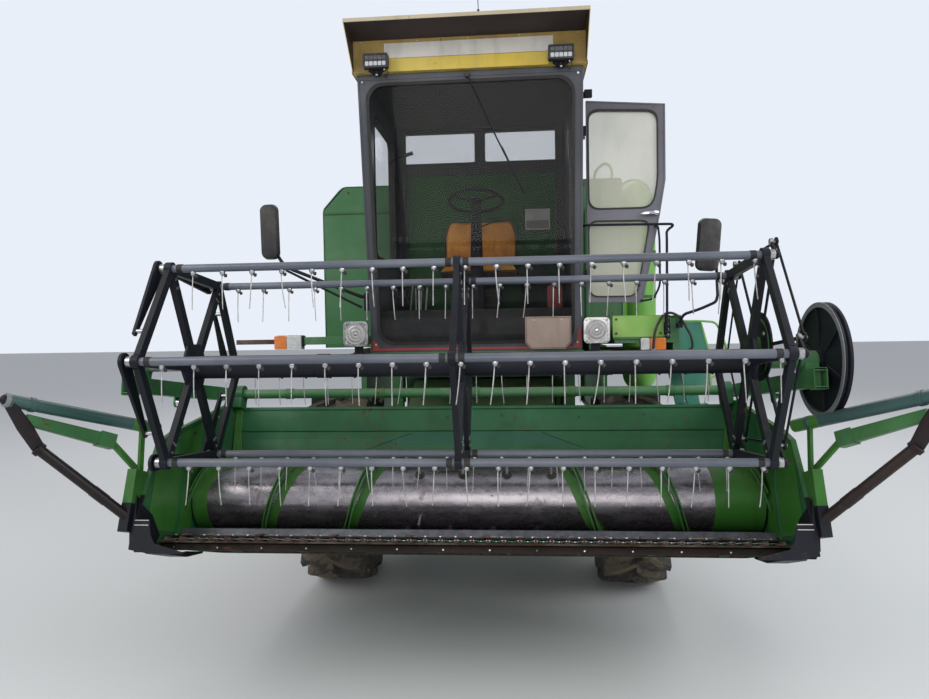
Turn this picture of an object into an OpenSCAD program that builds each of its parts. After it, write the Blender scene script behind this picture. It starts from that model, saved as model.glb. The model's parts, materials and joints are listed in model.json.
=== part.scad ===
// Self-propelled combine harvester with a ten-foot header, a six-bat pickup reel,
// an add-on cab and rear-wheel steering. Millimetres, +Z up, front towards -Y.

/* [Header] */
// Width of cut between the two end sheets
cut_width = 3050; // [2400:50:3660]
// Distance from the front axle forward to the cutting edge
knife_reach = 1870; // [1800:10:2100]
// Height of the cutting edge as the machine is parked, header raised
knife_height = 840; // [800:10:900]
// Nose-up tilt of the raised header in degrees
header_tilt = 20; // [16:1:22]
// Height of the header back wall above the knife
back_wall_height = 850; // [800:10:950]
// Depth from the knife to the back wall
header_depth = 755; // [745:5:800]
// Thickness of the header sheets
header_sheet = 6; // [4:1:8]
// Diameter of the auger drum
auger_drum_d = 360; // [300:10:370]
// Outer diameter of the auger flights
auger_flight_d = 490; // [440:10:500]
// Pitch of the auger flights
auger_pitch = 460; // [400:10:560]
// Pitch of the cutter bar fingers
finger_pitch = 76.2; // [63.5, 76.2, 88.9]

/* [Reel] */
// Radius of the circle that the bats lie on
reel_r = 522; // [480:2:540]
// Length of one bat tube
bat_length = 2800; // [2200:50:3400]
// Diameter of one bat tube
bat_d = 38; // [32:1:45]
// Length of the spring tines from the bat's centre
tine_length = 195; // [150:5:200]
// Number of tines on each bat
tines_per_bat = 19; // [9:1:23]
// Turn of the reel as parked, front bat above the level of the shaft, in degrees
reel_phase = 6; // [0:1:59]
// Eccentric offset that keeps the tines hanging
eccentric_offset = 90; // [70:1:95]

/* [Wheels] */
// Radius of the front tyres
front_tyre_r = 710; // [660:5:740]
// Width of the front tyres
front_tyre_w = 480; // [400:10:500]
// Half of the front track
front_half_track = 1060; // [1000:5:1100]
// Radius of the rear tyres
rear_tyre_r = 420; // [380:5:450]
// Width of the rear tyres
rear_tyre_w = 290; // [240:5:320]
// Half of the rear track
rear_half_track = 930; // [900:5:1000]
// Distance between the axles
wheelbase = 3150; // [3000:10:3400]

/* [Body] */
// Half of the width of the threshing body
body_half_w = 600; // [560:5:610]
// Rear end of the straw hood behind the front axle
hood_reach = 4700; // [4400:10:5000]
// Top of the grain tank above the ground
tank_top = 3000; // [2800:10:3050]
// Right-hand side of the grain tank from the centre line
tank_right = 1240; // [1150:5:1280]
// Left-hand side of the grain tank from the centre line
tank_left = 1060; // [1000:5:1080]
// Thickness of the body sheets
body_sheet = 6; // [4:1:8]

/* [Cab] */
// Width of the cab over its walls
cab_width = 1340; // [1250:5:1400]
// Height of the cab floor frame above the ground
cab_bottom = 1740; // [1740:5:1780]
// Height of the cab walls
cab_height = 1670; // [1600:10:1750]
// Forward lean of the windscreen over its height
screen_lean = 260; // [150:10:280]
// Thickness of the cab walls
cab_wall = 40; // [30:1:50]
// Width of the cab door
door_width = 480; // [480:5:600]
// Height of the cab door
door_height = 1250; // [1100:10:1300]
// Overhang of the roof visor in front of the windscreen
visor_overhang = 250; // [150:10:300]

/* [Hidden] */

$fn = 48;
green = [0.16, 0.42, 0.13];
black = [0.05, 0.05, 0.06];
steel = [0.62, 0.62, 0.64];
grey = [0.33, 0.35, 0.37];

// Gap left between two pieces that seat on each other
seat_gap = 0.3;
// Radial clearance of a pin or shaft in its bore
pin_gap = 0.1;
// Clearance between pieces that move past each other
move_gap = 5;

// Driving places, in a frame with its zero on the ground under the front axle
divider_tip = [-788, 535];
divider_nose_r = 30;
foremost_y = -knife_reach + divider_tip[0] * cos(header_tilt) + divider_tip[1] * sin(header_tilt)
    - divider_nose_r;
mid_y = (foremost_y + hood_reach) / 2;

front_axle_z = front_tyre_r;
rear_axle_z = rear_tyre_r;

// Pivot of the feeder house and the rounded end around it
lift_pivot = [50, 1250];
feeder_r = 250;
feeder_half_w = 520;
stub_r = 50;

// Header section, as distances back from the knife and up from it
header_half = cut_width / 2 + 35;
end_sheet_t = 8;
trough_r = auger_flight_d / 2 + 17;
auger_b = header_depth - trough_r - 53;
auger_u = trough_r - 2;
reel_b = -299;
reel_u = 821;
arm_pivot_b = 700;
arm_pivot_u = back_wall_height + 90;
arm_drop = 95;
bat_half = bat_length / 2;

module at_axle() translate([0, -mid_y, 0]) children();

module in_header() at_axle() translate([0, -knife_reach, knife_height])
    rotate([-header_tilt, 0, 0]) children();

module at_reel() in_header() translate([0, reel_b, reel_u]) rotate([header_tilt, 0, 0]) children();

// Extrudes a side outline, drawn as (y, z), from x0 to x1
module slab_x(x0, x1) translate([x0, 0, 0]) rotate([90, 0, 90]) linear_extrude(x1 - x0) children();

// Extrudes a front outline, drawn as (x, z), from y0 to y1
module slab_y(y0, y1) translate([0, y1, 0]) rotate([90, 0, 0]) linear_extrude(y1 - y0) children();

module shaft_x(x0, x1, r) translate([x0, 0, 0]) rotate([0, 90, 0]) cylinder(h = x1 - x0, r = r);

module rod(from, to, r) {
    v = to - from;
    translate(from) rotate([0, acos(v[2] / norm(v)), atan2(v[1], v[0])])
        cylinder(h = norm(v), r = r);
}

// Bar of rectangular section between two points: w wide, h high
module square_bar(from, to, w, h) {
    v = to - from;
    translate(from) rotate([0, acos(v[2] / norm(v)), atan2(v[1], v[0])])
        translate([-h / 2, -w / 2, 0]) cube([h, w, norm(v)]);
}

// Square bar between two points of one side plane
module side_bar(from, to, x0, x1, height) {
    v = to - from;
    slab_x(x0, x1) translate(from) rotate(atan2(v[1], v[0]))
        translate([0, -height / 2]) square([norm(v), height]);
}

module box(x0, x1, y0, y1, z0, z1) translate([x0, y0, z0]) cube([x1 - x0, y1 - y0, z1 - z0]);

module both_sides() for (side = [-1, 1]) mirror([side < 0 ? 1 : 0, 0, 0]) children();

module rounded(w, h, r) {
    for (i = [-1, 1], j = [-1, 1]) translate([i * (w / 2 - r), j * (h / 2 - r)]) circle(r = r);
    square([w - 2 * r, h], center = true);
    square([w, h - 2 * r], center = true);
}

function arc(c, r, a0, a1, n) =
    [for (i = [0:n]) c + r * [cos(a0 + (a1 - a0) * i / n), sin(a0 + (a1 - a0) * i / n)]];

// Chassis

rail_x = body_half_w + seat_gap;
rail_w = 80;
rail_z0 = 960;
rail_z1 = 1080;
rail_end = wheelbase + 420;
axle_top = front_axle_z + 80;

module chassis_frame() color(green) at_axle() {
    both_sides() {
        box(rail_x, rail_x + rail_w, -160, rail_end, rail_z0, rail_z1);
        box(rail_x, rail_x + rail_w, -60, 60, front_axle_z + drive_r + seat_gap, rail_z0);
        box(rail_x, rail_x + rail_w, -110, -30, rail_z1, platform_z0 - seat_gap);
    }
    box(-rail_x - rail_w, rail_x + rail_w, rail_end, rail_end + 80, rail_z0, rail_z1);
    box(-60, 60, rail_end + 80, rail_end + 130, rail_z0 - 40, rail_z1 + 20);
    difference() {
        translate([0, rail_end + 130, rail_z0 + 45]) {
            box(-50, 50, 0, 110, 0, 25);
            translate([0, 110, 0]) cylinder(h = 25, r = 50);
        }
        translate([0, rail_end + 240, rail_z0]) cylinder(h = 200, r = hitch_hole_d / 2);
    }
    both_sides() box(rail_x, rail_x + rail_w, wheelbase - 60, wheelbase + 60,
        rear_beam_top + 60, rail_z0);
    difference() {
        box(-rail_x - 10, rail_x + 10, wheelbase - 60, wheelbase + 60, rear_beam_top + 60,
            rear_beam_top + 160);
        translate([0, wheelbase, 0]) box(-100, 100, -100, 100, 0, 0.1);
    }
}
hitch_hole_d = 32;

// Front axle with its final drives and the lugs of the lift cylinders

front_spindle_r = 45;
drive_r = 150;
lift_base = [-170, 590];
lift_pin = [-930, 570];
lift_x = 350;
lift_eye_w = 56;
lift_pin_r = 20;

module front_axle() color(green) at_axle() {
    box(-560, 560, -80, 80, front_axle_z - 80, axle_top);
    both_sides() {
        translate([0, 0, front_axle_z]) {
            shaft_x(550, 740, drive_r);
            shaft_x(740, front_half_track + 60, front_spindle_r);
        }
        for (s = [-1, 1]) slab_x(lift_x + s * (lift_eye_w / 2 + 1 + 8) - 8,
            lift_x + s * (lift_eye_w / 2 + 1 + 8) + 8)
            polygon(concat(arc(lift_base, 45, 90, 270, 12), [[-75, 560], [-75, 700]]));
        translate([0, lift_base[0], lift_base[1]])
            shaft_x(lift_x - lift_eye_w / 2 - 17, lift_x + lift_eye_w / 2 + 17, lift_pin_r);
    }
}

// Threshing body: one closed housing with cheeks that carry the feeder house

body_top = 1750;
deck_top = 1980;
body_rear = 3000;

module threshing_body() color(green) at_axle() {
    slab_x(-body_half_w, body_half_w) polygon(concat(
        arc(lift_pivot, feeder_r + 12, -44, 90, 24),
        [[50, 1640], [480, 1640], [480, body_top], [1850, body_top], [2000, deck_top],
         [body_rear, deck_top], [body_rear, 960], [2600, 880], [900, 850], [270, 900]]));
    both_sides() difference() {
        slab_x(feeder_half_w + 25, feeder_half_w + 55) {
            translate(lift_pivot) circle(r = 130);
            translate([lift_pivot[0], lift_pivot[1] - 130]) square([330, 260]);
        }
        translate([0, lift_pivot[0], lift_pivot[1]]) shaft_x(500, 700, stub_r + pin_gap);
    }
}

// Cleaning shoe with the fan housing under the body

module cleaning_shoe() color(green) at_axle() {
    difference() {
        slab_x(-500, 500) union() {
            translate([760, 640]) circle(r = 205);
            translate([760, 640]) square([500, 205]);
        }
        both_sides() translate([0, 760, 640]) shaft_x(380, 501, 120);
    }
    slab_x(-500, 500) polygon([[1250, 856 - seat_gap], [1250, 700], [2450, 760],
        [2600, 880 - seat_gap]]);
    translate([0, 760, 640]) shaft_x(-560, 560, 20);
    translate([0, 760, 640]) for (x = [-440, 440], a = [0:60:300])
        rotate([a, 0, 0]) box(x - 30, x + 30, -3, 3, 10, 115);
}

// Straw hood, hollow and open below

module hood_outline(inset) polygon([
    [body_rear + seat_gap, deck_top - inset], [3450, 2260 - inset], [4350, 2200 - inset],
    [hood_reach - inset, 1750], [hood_reach - inset, 1180], [4350, 1080], [3620, 1080],
    [3620, 1090], [body_rear + seat_gap, 1090]]);

module straw_hood() color(green) at_axle() difference() {
    slab_x(-body_half_w - 40, body_half_w + 40) hood_outline(0);
    slab_x(-body_half_w - 40 + body_sheet, body_half_w + 40 - body_sheet) union() {
        polygon([[body_rear + 8, deck_top - 6], [3450, 2260 - body_sheet],
            [4350, 2200 - body_sheet], [hood_reach - body_sheet, 1750 - body_sheet],
            [hood_reach - body_sheet, 1000], [body_rear + 8, 1000]]);
    }
}

// Grain tank with a lid over its filling opening

tank_y0 = 110;
tank_y1 = 1800;
tank_z0 = body_top + seat_gap;
lid_hinge_y = tank_y1 - 160;

module tank_outline(inset) polygon([
    [-tank_right + inset, tank_z0 + inset], [tank_left - inset, tank_z0 + inset],
    [tank_left - inset, tank_top - inset], [-tank_right + 170 + inset * 0.4, tank_top - inset],
    [-tank_right + inset, tank_top - 180 - inset * 0.4]]);

module grain_tank() color(green) at_axle() {
    difference() {
        slab_y(tank_y0, tank_y1) tank_outline(0);
        slab_y(tank_y0 + body_sheet, tank_y1 - body_sheet) tank_outline(body_sheet);
        box(-700, 700, tank_y0 + 250, lid_hinge_y - 40, tank_top - 50, tank_top + 50);
    }
    for (x = [-500, 0, 500]) {
        for (s = [-1, 1]) box(x + s * 47 - 4, x + s * 47 + 4, lid_hinge_y + 12, lid_hinge_y + 32,
            tank_top - 2, tank_top + 26);
        translate([0, lid_hinge_y + 22, tank_top + 16]) shaft_x(x - 47, x + 47, 4);
    }
}

module tank_lid() color(green) at_axle() {
    box(-740, 740, tank_y0 + 210, lid_hinge_y + 5, tank_top + 10, tank_top + 16);
    for (x = [-720, 720]) box(x - 3, x + 3, tank_y0 + 230, lid_hinge_y - 60, tank_top + seat_gap,
        tank_top + 10);
    translate([0, lid_hinge_y + 22, tank_top + 16]) for (x = [-500, 0, 500]) difference() {
        union() {
            shaft_x(x - 40, x + 40, 9);
            box(x - 40, x + 40, -22, 0, -6, 0);
        }
        shaft_x(x - 50, x + 50, 4 + pin_gap);
    }
}

// Engine deck

module engine_block() color(grey) at_axle() translate([0, 0, deck_top]) {
    box(-190, 190, 2170, 2740, seat_gap, 330);
    box(-130, 130, 2200, 2720, 320, 480);
    box(-95, 95, 2220, 2700, 470, 545);
    for (y = [2230, 2620]) box(-330, 330, y, y + 60, seat_gap, 45);
    rod([160, 2225, 420], [160, 2695, 420], 36);
    translate([300, 2250, 0]) {
        cylinder(h = 734 - seat_gap, r = 34);
        translate([0, 0, 400]) rotate([0, -90, 0]) cylinder(h = 150, r = 30);
    }
    translate([0, 2450, 370]) {
        shaft_x(-480, -120, 38);
        for (a = [0:60:300]) rotate([a, 0, 0]) translate([-455, 0, 0]) rotate([0, 0, 25])
            box(-6, 6, -45, 45, 20, 225);
    }
}

module engine_cover() color(green) at_axle() {
    difference() {
        box(-560, 560, 2000, 2900, deck_top + seat_gap, 2720);
        box(-560 + body_sheet, 560 - body_sheet, 2000 + body_sheet, 2900 - body_sheet,
            deck_top - 1, 2720 - body_sheet);
        for (z = [2120:110:2560]) box(500, 600, 2120, 2780, z, z + 60);
        for (z = [2120:110:2560]) box(-300, 300, 2850, 2950, z, z + 60);
    }
    translate([0, 2450, 2350]) difference() {
        shaft_x(-700, -560 - seat_gap, 320);
        shaft_x(-690, -560, 310);
    }
}

module engine_stacks() color(black) at_axle() {
    translate([300, 2250, 2720 + seat_gap]) difference() {
        cylinder(h = 620, r = 45);
        translate([0, 0, 40]) cylinder(h = 620, r = 38);
    }
    translate([-300, 2650, 2720 + seat_gap]) {
        cylinder(h = 330, r = 60);
        translate([0, 0, 330]) cylinder(h = 130, r = 105);
    }
}

// Platform under the cab and the walkway beside it

platform_z0 = 1650;
platform_z1 = cab_bottom - seat_gap;
cab_rear = 50;
cab_front = -840;
deck_z = 1900;
deck_x0 = cab_width / 2 + 25;
deck_x1 = 1280;

module platform() color(green) at_axle() {
    plate_x = rail_x + rail_w;
    box(-plate_x, plate_x, cab_front, 60, platform_z1 - 30, platform_z1);
    box(-plate_x - 140, -plate_x + 20, cab_front, cab_front + 80, platform_z1 - 25, platform_z1 - 5);
    both_sides() box(rail_x, plate_x - 5, cab_front + 5, 55, platform_z0, platform_z1 - 25);
    for (y = [cab_front + 10, -110, -10]) box(-rail_x - 20, rail_x + 20, y, y + 60, platform_z0 + 5,
        platform_z1 - 25);
    box(plate_x - 20, deck_x1, cab_front, 60, platform_z1 - 28, platform_z1 - 10);
    for (x = [deck_x0 + 20, deck_x1 - 50]) box(x, x + 40, cab_front + 5, 55, platform_z1 - 20, deck_z - 3);
    box(deck_x0, deck_x1, cab_front, 60, deck_z - 6, deck_z);
    box(deck_x0 + 175, deck_x1 - 40, cab_front - 10, cab_front + 10, 1780, 1930);
}

module ladder() color(green) at_axle() {
    for (y = [-560, -170]) slab_y(y, y + 30)
        polygon([[deck_x1 + seat_gap, deck_z - 60], [deck_x1 + seat_gap, deck_z],
            [1360, deck_z], [1640, 450], [1580, 450]]);
    for (i = [0:4]) box(1370 + i * 50, 1550 + i * 48, -530, -170, 1560 - i * 260, 1585 - i * 260);
}

module handrails() color(black) at_axle() {
    y = cab_front - 70;
    rail_r = 16;
    rail_z = 2498;
    post_x = 1190;
    rod([cab_width / 2 + seat_gap, y, rail_z], [post_x + 16, y, rail_z], rail_r);
    rod([post_x, y, rail_z], [post_x, y, deck_z - 60], rail_r);
    for (z = [deck_z - 10, deck_z - 50])
        rod([post_x, y, z], [post_x, cab_front - 10 - seat_gap, z], 10);
}

// Cab

cab_top = cab_bottom + cab_height;
screen_w = cab_width - 110;
screen_h = cab_height - 110;
door_x = cab_width / 2 + 18;
door_y = cab_front - 10;
door_z0 = cab_bottom + 290;

module cab_side() polygon([[cab_front, cab_bottom], [cab_rear, cab_bottom],
    [cab_rear, cab_top], [cab_front - screen_lean, cab_top]]);

module screen_outline(gap) translate([0, cab_bottom + cab_height / 2])
    rounded(screen_w - 2 * gap, screen_h - 2 * gap, 90);

module rear_panes(gap) for (s = [-1, 1]) translate([s * (cab_width / 4 - 20), cab_top - 160])
    rounded(cab_width / 2 - 80 - 2 * gap, 240 - 2 * gap, 30);

module cab_frame() color(grey) at_axle() {
    cab_shell();
    for (z = hinge_heights) translate([door_x, door_y, door_z0 + z]) {
        box(cab_width / 2 - door_x - 1, hinge_r - 3, -10, 10, -20 - seat_gap, -seat_gap);
        translate([0, 0, -10]) cylinder(h = 65, r = hinge_pin_r);
    }
}

module cab_shell() difference() {
    slab_x(-cab_width / 2, cab_width / 2) cab_side();
    slab_x(-cab_width / 2 + cab_wall, cab_width / 2 - cab_wall) polygon([
        [cab_front + cab_wall - 8, cab_bottom + cab_wall], [cab_rear - cab_wall, cab_bottom + cab_wall],
        [cab_rear - cab_wall, cab_top + 1], [cab_front - screen_lean + cab_wall - 8, cab_top + 1]]);
    slab_y(cab_front - screen_lean - 10, cab_front + 300) screen_outline(0);
    slab_y(cab_rear - 100, cab_rear + 10) rear_panes(0);
    slab_x(cab_width / 2 - 100, cab_width / 2 + 10) polygon([
        [door_y + 50, door_z0 + 40], [door_y + door_width - 140, door_z0 + 40],
        [door_y + door_width - 40, door_z0 + door_bar],
        [door_y + door_width - 40, door_z0 + door_height - 40],
        [door_y + 50, door_z0 + door_height - 40]]);
    slab_x(-cab_width / 2 - 10, -cab_width / 2 + 100) translate([-480, cab_top - 600])
        rounded(700, 900, 60);
}

module cab_windows() color([0.5, 0.6, 0.62, 0.5]) at_axle() {
    slab_y(cab_rear - 23, cab_rear - 17) rear_panes(seat_gap);
    slab_x(-cab_width / 2 + 17, -cab_width / 2 + 23) translate([-480, cab_top - 600])
        rounded(700 - 2 * seat_gap, 900 - 2 * seat_gap, 60);
}

module windscreen() color([0.3, 0.36, 0.4, 0.5]) at_axle() intersection() {
    slab_x(-cab_width / 2, cab_width / 2) polygon([
        [cab_front + 10, cab_bottom], [cab_front + 16, cab_bottom],
        [cab_front - screen_lean + 16, cab_top], [cab_front - screen_lean + 10, cab_top]]);
    slab_y(cab_front - screen_lean - 10, cab_front + 300) screen_outline(seat_gap);
}

module cab_roof() color([0.85, 0.66, 0.12]) at_axle() {
    z = cab_top + seat_gap;
    front = cab_front - screen_lean - visor_overhang;
    slab_x(-cab_width / 2 - 20, cab_width / 2 + 20) polygon([
        [cab_front - screen_lean - 30, z], [cab_rear + 20, z], [cab_rear + 20, z + 170],
        [front, z + 230], [front, z + 210], [cab_front - screen_lean - 30, z + 190]]);
    both_sides() slab_x(cab_width / 2 + 14, cab_width / 2 + 20) polygon([[front, z + 215],
        [cab_front - screen_lean - 25, z + 200], [cab_front - screen_lean - 25, z]]);
}

// Height of the bar between the door's panes
door_bar = 555;
hinge_r = 15;
hinge_pin_r = 6;
hinge_heights = [150, door_height - 210];

module door_outline() polygon([[0, 0], [door_width - 140, 0], [door_width, door_bar],
    [door_width, door_height], [0, door_height]]);

module door_panes(gap) {
    translate([0, gap]) polygon([[50 + gap, 60], [door_width - 165 - gap, 60],
        [door_width - 75 - gap, door_bar - 30 - 2 * gap], [50 + gap, door_bar - 30 - 2 * gap]]);
    translate([door_width / 2, (door_bar + 30 + door_height - 50) / 2])
        rounded(door_width - 100 - 2 * gap, door_height - door_bar - 80 - 2 * gap, 50);
}

// The door stands open at a right angle, as parked
module at_door() at_axle() translate([door_x, door_y, door_z0]) children();

module cab_door() color(grey) at_door() {
    difference() {
        translate([hinge_r + 3, 0, 0]) slab_y(-13, 13) door_outline();
        translate([hinge_r + 3, 0, 0]) slab_y(-20, 20) door_panes(0);
    }
    for (z = hinge_heights) difference() {
        union() {
            translate([0, 0, z]) cylinder(h = 60, r = hinge_r);
            box(0, hinge_r + 10, -6, 6, z, z + 60);
        }
        translate([0, 0, z - 1]) cylinder(h = 62, r = hinge_pin_r + pin_gap);
    }
    box(door_width - 50, door_width - 20, -36, -10, door_bar - 60, door_bar + 60);
}

module door_glass() color([0.7, 0.72, 0.7, 0.5]) at_door()
    translate([hinge_r + 3, 0, 0]) slab_y(-3, 3) door_panes(seat_gap);

// Inside the cab

module seat_cushion() color([0.78, 0.5, 0.1]) at_axle() {
    box(-280, 280, -420, -60, 2270, 2350);
    box(-280, 280, -100, -20, 2350, 2690);
}

module seat_base() color(black) at_axle() {
    box(-160, 160, -360, -80, cab_bottom + cab_wall, 2270 - seat_gap);
}

module steering_column() color(black) at_axle() {
    rod([0, -638, cab_bottom + cab_wall + 12], [0, -560, 2730], 28);
    translate([0, -640, cab_bottom + cab_wall + seat_gap]) cylinder(h = 20, r = 60);
    translate([0, -560, 2740]) {
        rotate_extrude() translate([178, 0]) circle(r = 12);
        for (a = [90, 210, 330]) rotate(a) translate([0, -9, -5]) cube([178, 18, 10]);
        cylinder(h = 24, r = 40, center = true);
    }
}

module control_levers() color(steel) at_axle() {
    box(-600, -460, -480, -220, cab_bottom + cab_wall + seat_gap, 2120);
    for (x = [-580, -536, -492]) rod([x, -400, 2100], [x, -430, 2510], 10);
}

// Lamps and mirrors

lamp_size = 155;

module headlamps() color(steel) at_axle() both_sides() translate([cab_width / 2 + 85, cab_front - 45, 1850]) {
    slab_y(-60, -40) rounded(lamp_size, lamp_size, 25);
    translate([0, 20, 0]) rotate([90, 0, 0]) cylinder(h = 70, r = 70);
    box(-25, 25, 10, 45 - seat_gap, -140, 20);
}

module work_lamps() color(black) at_axle() {
    y = cab_front - screen_lean - 30;
    for (x = [-537, 537]) translate([x, y, cab_top + 45]) {
        box(-74, 74, -80, -20, -40, 40);
        box(-20, 20, -20, -seat_gap, -20, 20);
    }
}

module indicator_arms() color([0.8, 0.35, 0.08]) at_axle() {
    rod([-cab_width / 2 - seat_gap, cab_front + 30, 1822], [-1580, cab_front + 30, 1822], 14);
    box(-1314, -1136, cab_front - 10, cab_front + 70, 1767, 1858);
    box(1024, 1180, cab_front - 45, cab_front - 10 - seat_gap, 1735, 1811);
}

module mirrors() color(black) at_axle() {
    y = cab_front - 120;
    box(deck_x1 - 30, deck_x1, cab_front - 50, cab_front - seat_gap, deck_z - 30, deck_z);
    rod([deck_x1 - 15, cab_front - 40, deck_z - 15], [1464, y, 2045], 12);
    rod([1464, y, 2035], [1440, y, 2260], 12);
    translate([1419, y, 2366]) slab_y(-35, 12) rounded(152, 322, 40);
    box(-cab_width / 2 - 40, -cab_width / 2 - seat_gap, cab_front - 20, cab_front + 20, 2080, 2120);
    rod([-cab_width / 2 - 25, cab_front, 2100], [-1210, y, 2300], 12);
    rod([-1204, y, 2292], [-1281, y, 2420], 12);
    translate([-1281, y, 2515]) slab_y(-35, 12) rounded(110, 342, 40);
}

// Side sheets, elevator and unloading auger

module side_shields() color(green) at_axle() {
    for (side = [[-1, 1120], [1, 1020]]) mirror([side[0] < 0 ? 1 : 0, 0, 0]) {
        difference() {
            box(side[1] - 40, side[1], 800, 2900, 1020, 1720);
            box(side[1] - 41, side[1] - 4, 806, 2894, 1026, 1714);
        }
        for (y = [900, 2800], z = [1150, 1650])
            translate([0, y, z]) shaft_x(body_half_w + seat_gap, side[1] - 4, 20);
    }
}

module grain_elevator() color(green) at_axle()
    slab_x(-body_half_w - 200, -body_half_w - rail_w - 2 * seat_gap)
        side_leg([1500, 640], [1350, 1700], 130);

// Leg with a round foot of radius r and a square top
module side_leg(from, to, r) {
    v = to - from;
    translate(from) rotate(atan2(v[1], v[0]))
        polygon(concat(arc([0, 0], r, 90, 270, 16), [[norm(v), -r], [norm(v), r]]));
}

turret = [1225, 350];
swivel_z = 2720;
auger_r = 125;
elbow_r = 220;

module auger_turret() color(green) at_axle() {
    translate([turret[0], turret[1], 1500]) cylinder(h = swivel_z - 1500, r = 130);
    translate([turret[0], turret[1], 1500]) sphere(r = 130);
    box(tank_left + seat_gap, turret[0], turret[1] - 80, turret[1] + 80, 1800, 2600);
    box(body_half_w + 40 + seat_gap, turret[0] + 30, 3270, 3330, 2000, 2060);
    box(turret[0] - 30, turret[0] + 30, 3270, 3330, 2050, swivel_z + elbow_r - auger_r - move_gap);
}

module unloading_auger() color(green) at_axle()
    translate([turret[0], turret[1], swivel_z + seat_gap]) {
    translate([0, elbow_r, 0]) rotate([90, 0, -90])
        rotate_extrude(angle = 90) translate([elbow_r, 0]) circle(r = auger_r);
    translate([0, elbow_r, elbow_r]) rotate([-90, 0, 0]) cylinder(h = 3100, r = auger_r);
}

// Wheels

module tyre(r, w, rim_r) rotate([0, 90, 0]) rotate_extrude($fn = 96) polygon(concat(
    [[rim_r, -w * 0.36]],
    arc([rim_r + (r - rim_r) * 0.45, -w * 0.20], w * 0.30, 215, 130, 5),
    [[r - 14, -w * 0.38], [r, -w * 0.22], [r, w * 0.22], [r - 14, w * 0.38]],
    arc([rim_r + (r - rim_r) * 0.45, w * 0.20], w * 0.30, 50, -35, 5),
    [[rim_r, w * 0.36]]));

module rim(rim_r, w, bore_r, hub_r) difference() {
    union() {
        difference() {
            shaft_x(-w * 0.36, w * 0.36, rim_r - seat_gap);
            shaft_x(-w, w, rim_r - 14);
        }
        shaft_x(-10, 10, rim_r - 10);
        shaft_x(-90, 60, hub_r);
    }
    shaft_x(-w, w, bore_r + pin_gap);
}

module front_wheel(side) at_axle() translate([side * front_half_track, 0, front_axle_z])
    mirror([side < 0 ? 1 : 0, 0, 0]) {
        color(black) tyre(front_tyre_r, front_tyre_w, 340);
        color(steel) rim(340, front_tyre_w, front_spindle_r, 95);
    }

module rear_wheel(side) at_axle() translate([side * rear_half_track, wheelbase, rear_axle_z])
    mirror([side < 0 ? 1 : 0, 0, 0]) {
        color(black) tyre(rear_tyre_r, rear_tyre_w, 200);
        color(steel) rim(200, rear_tyre_w, rear_spindle_r, 60);
    }

// Steered rear axle

rear_spindle_r = 25;
rear_beam_top = rear_axle_z + 140;
kingpin_x = 700;
kingpin_r = 20;
arm_length = 150;
tie_pin_r = 10;

module rear_axle() color(green) at_axle() translate([0, wheelbase, 0]) {
    difference() {
        union() {
            box(-kingpin_x + 30, kingpin_x - 30, -50, 50, rear_beam_top - 110, rear_beam_top);
            both_sides() translate([kingpin_x, 0, rear_beam_top - 110]) cylinder(h = 110, r = 45);
            box(-60, 60, -58, 58, rear_beam_top - 20, rear_beam_top + 60 - seat_gap);
        }
        both_sides() translate([kingpin_x, 0, 0]) cylinder(h = 900, r = kingpin_r + pin_gap);
    }
}

module knuckle(side) color(green) at_axle() translate([0, wheelbase, 0])
    mirror([side < 0 ? 1 : 0, 0, 0]) {
        translate([kingpin_x, 0, rear_axle_z - 60]) cylinder(h = 230, r = kingpin_r);
        translate([kingpin_x, 0, rear_beam_top + 1]) cylinder(h = 29, r = 45);
        translate([kingpin_x, 0, rear_axle_z - 60]) cylinder(h = 89, r = 45);
        translate([0, 0, rear_axle_z]) shaft_x(kingpin_x, rear_half_track + 40, rear_spindle_r);
        box(kingpin_x - 25, kingpin_x + 25, 0, arm_length, rear_axle_z - 60, rear_axle_z - 40);
        translate([kingpin_x, arm_length, rear_axle_z - 60]) {
            cylinder(h = 20, r = 25);
            cylinder(h = 60, r = tie_pin_r);
        }
    }

module tie_rod() color(grey) at_axle() translate([0, wheelbase + arm_length, rear_axle_z - 38])
    difference() {
        union() {
            translate([0, 0, 15]) shaft_x(-kingpin_x, kingpin_x, 14);
            for (s = [-1, 1]) translate([s * kingpin_x, 0, 0]) cylinder(h = 30, r = 24);
        }
        for (s = [-1, 1]) translate([s * kingpin_x, 0, -50])
            cylinder(h = 200, r = tie_pin_r + pin_gap);
    }

// Feeder house with its lift cylinders

function to_world(p) = [-knife_reach + p[0] * cos(header_tilt) + p[1] * sin(header_tilt),
    knife_height - p[0] * sin(header_tilt) + p[1] * cos(header_tilt)];
feeder_back = header_depth + 46 + seat_gap;

module feeder_side() hull() {
    translate(lift_pivot) circle(r = feeder_r, $fn = 64);
    polygon([to_world([feeder_back, 30]), to_world([feeder_back, 580]),
        to_world([feeder_back + 20, 30])]);
}

module feeder_house() color(green) at_axle() {
    slab_x(-feeder_half_w, feeder_half_w) feeder_side();
    translate([0, lift_pivot[0], lift_pivot[1]]) shaft_x(-feeder_half_w - 55, feeder_half_w + 55, stub_r);
    both_sides() for (s = [-1, 1]) slab_x(lift_x + s * (lift_eye_w / 2 + 1 + 8) - 8,
        lift_x + s * (lift_eye_w / 2 + 1 + 8) + 8)
        polygon(concat(arc(lift_pin, 40, 180, 360, 12), [[-880, 760], [-970, 760]]));
}

lift_dir = atan2(lift_pin[1] - lift_base[1], lift_pin[0] - lift_base[0]);

module at_lift() at_axle() both_sides() translate([lift_x, lift_base[0], lift_base[1]])
    rotate([lift_dir, 0, 0]) children();

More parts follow.
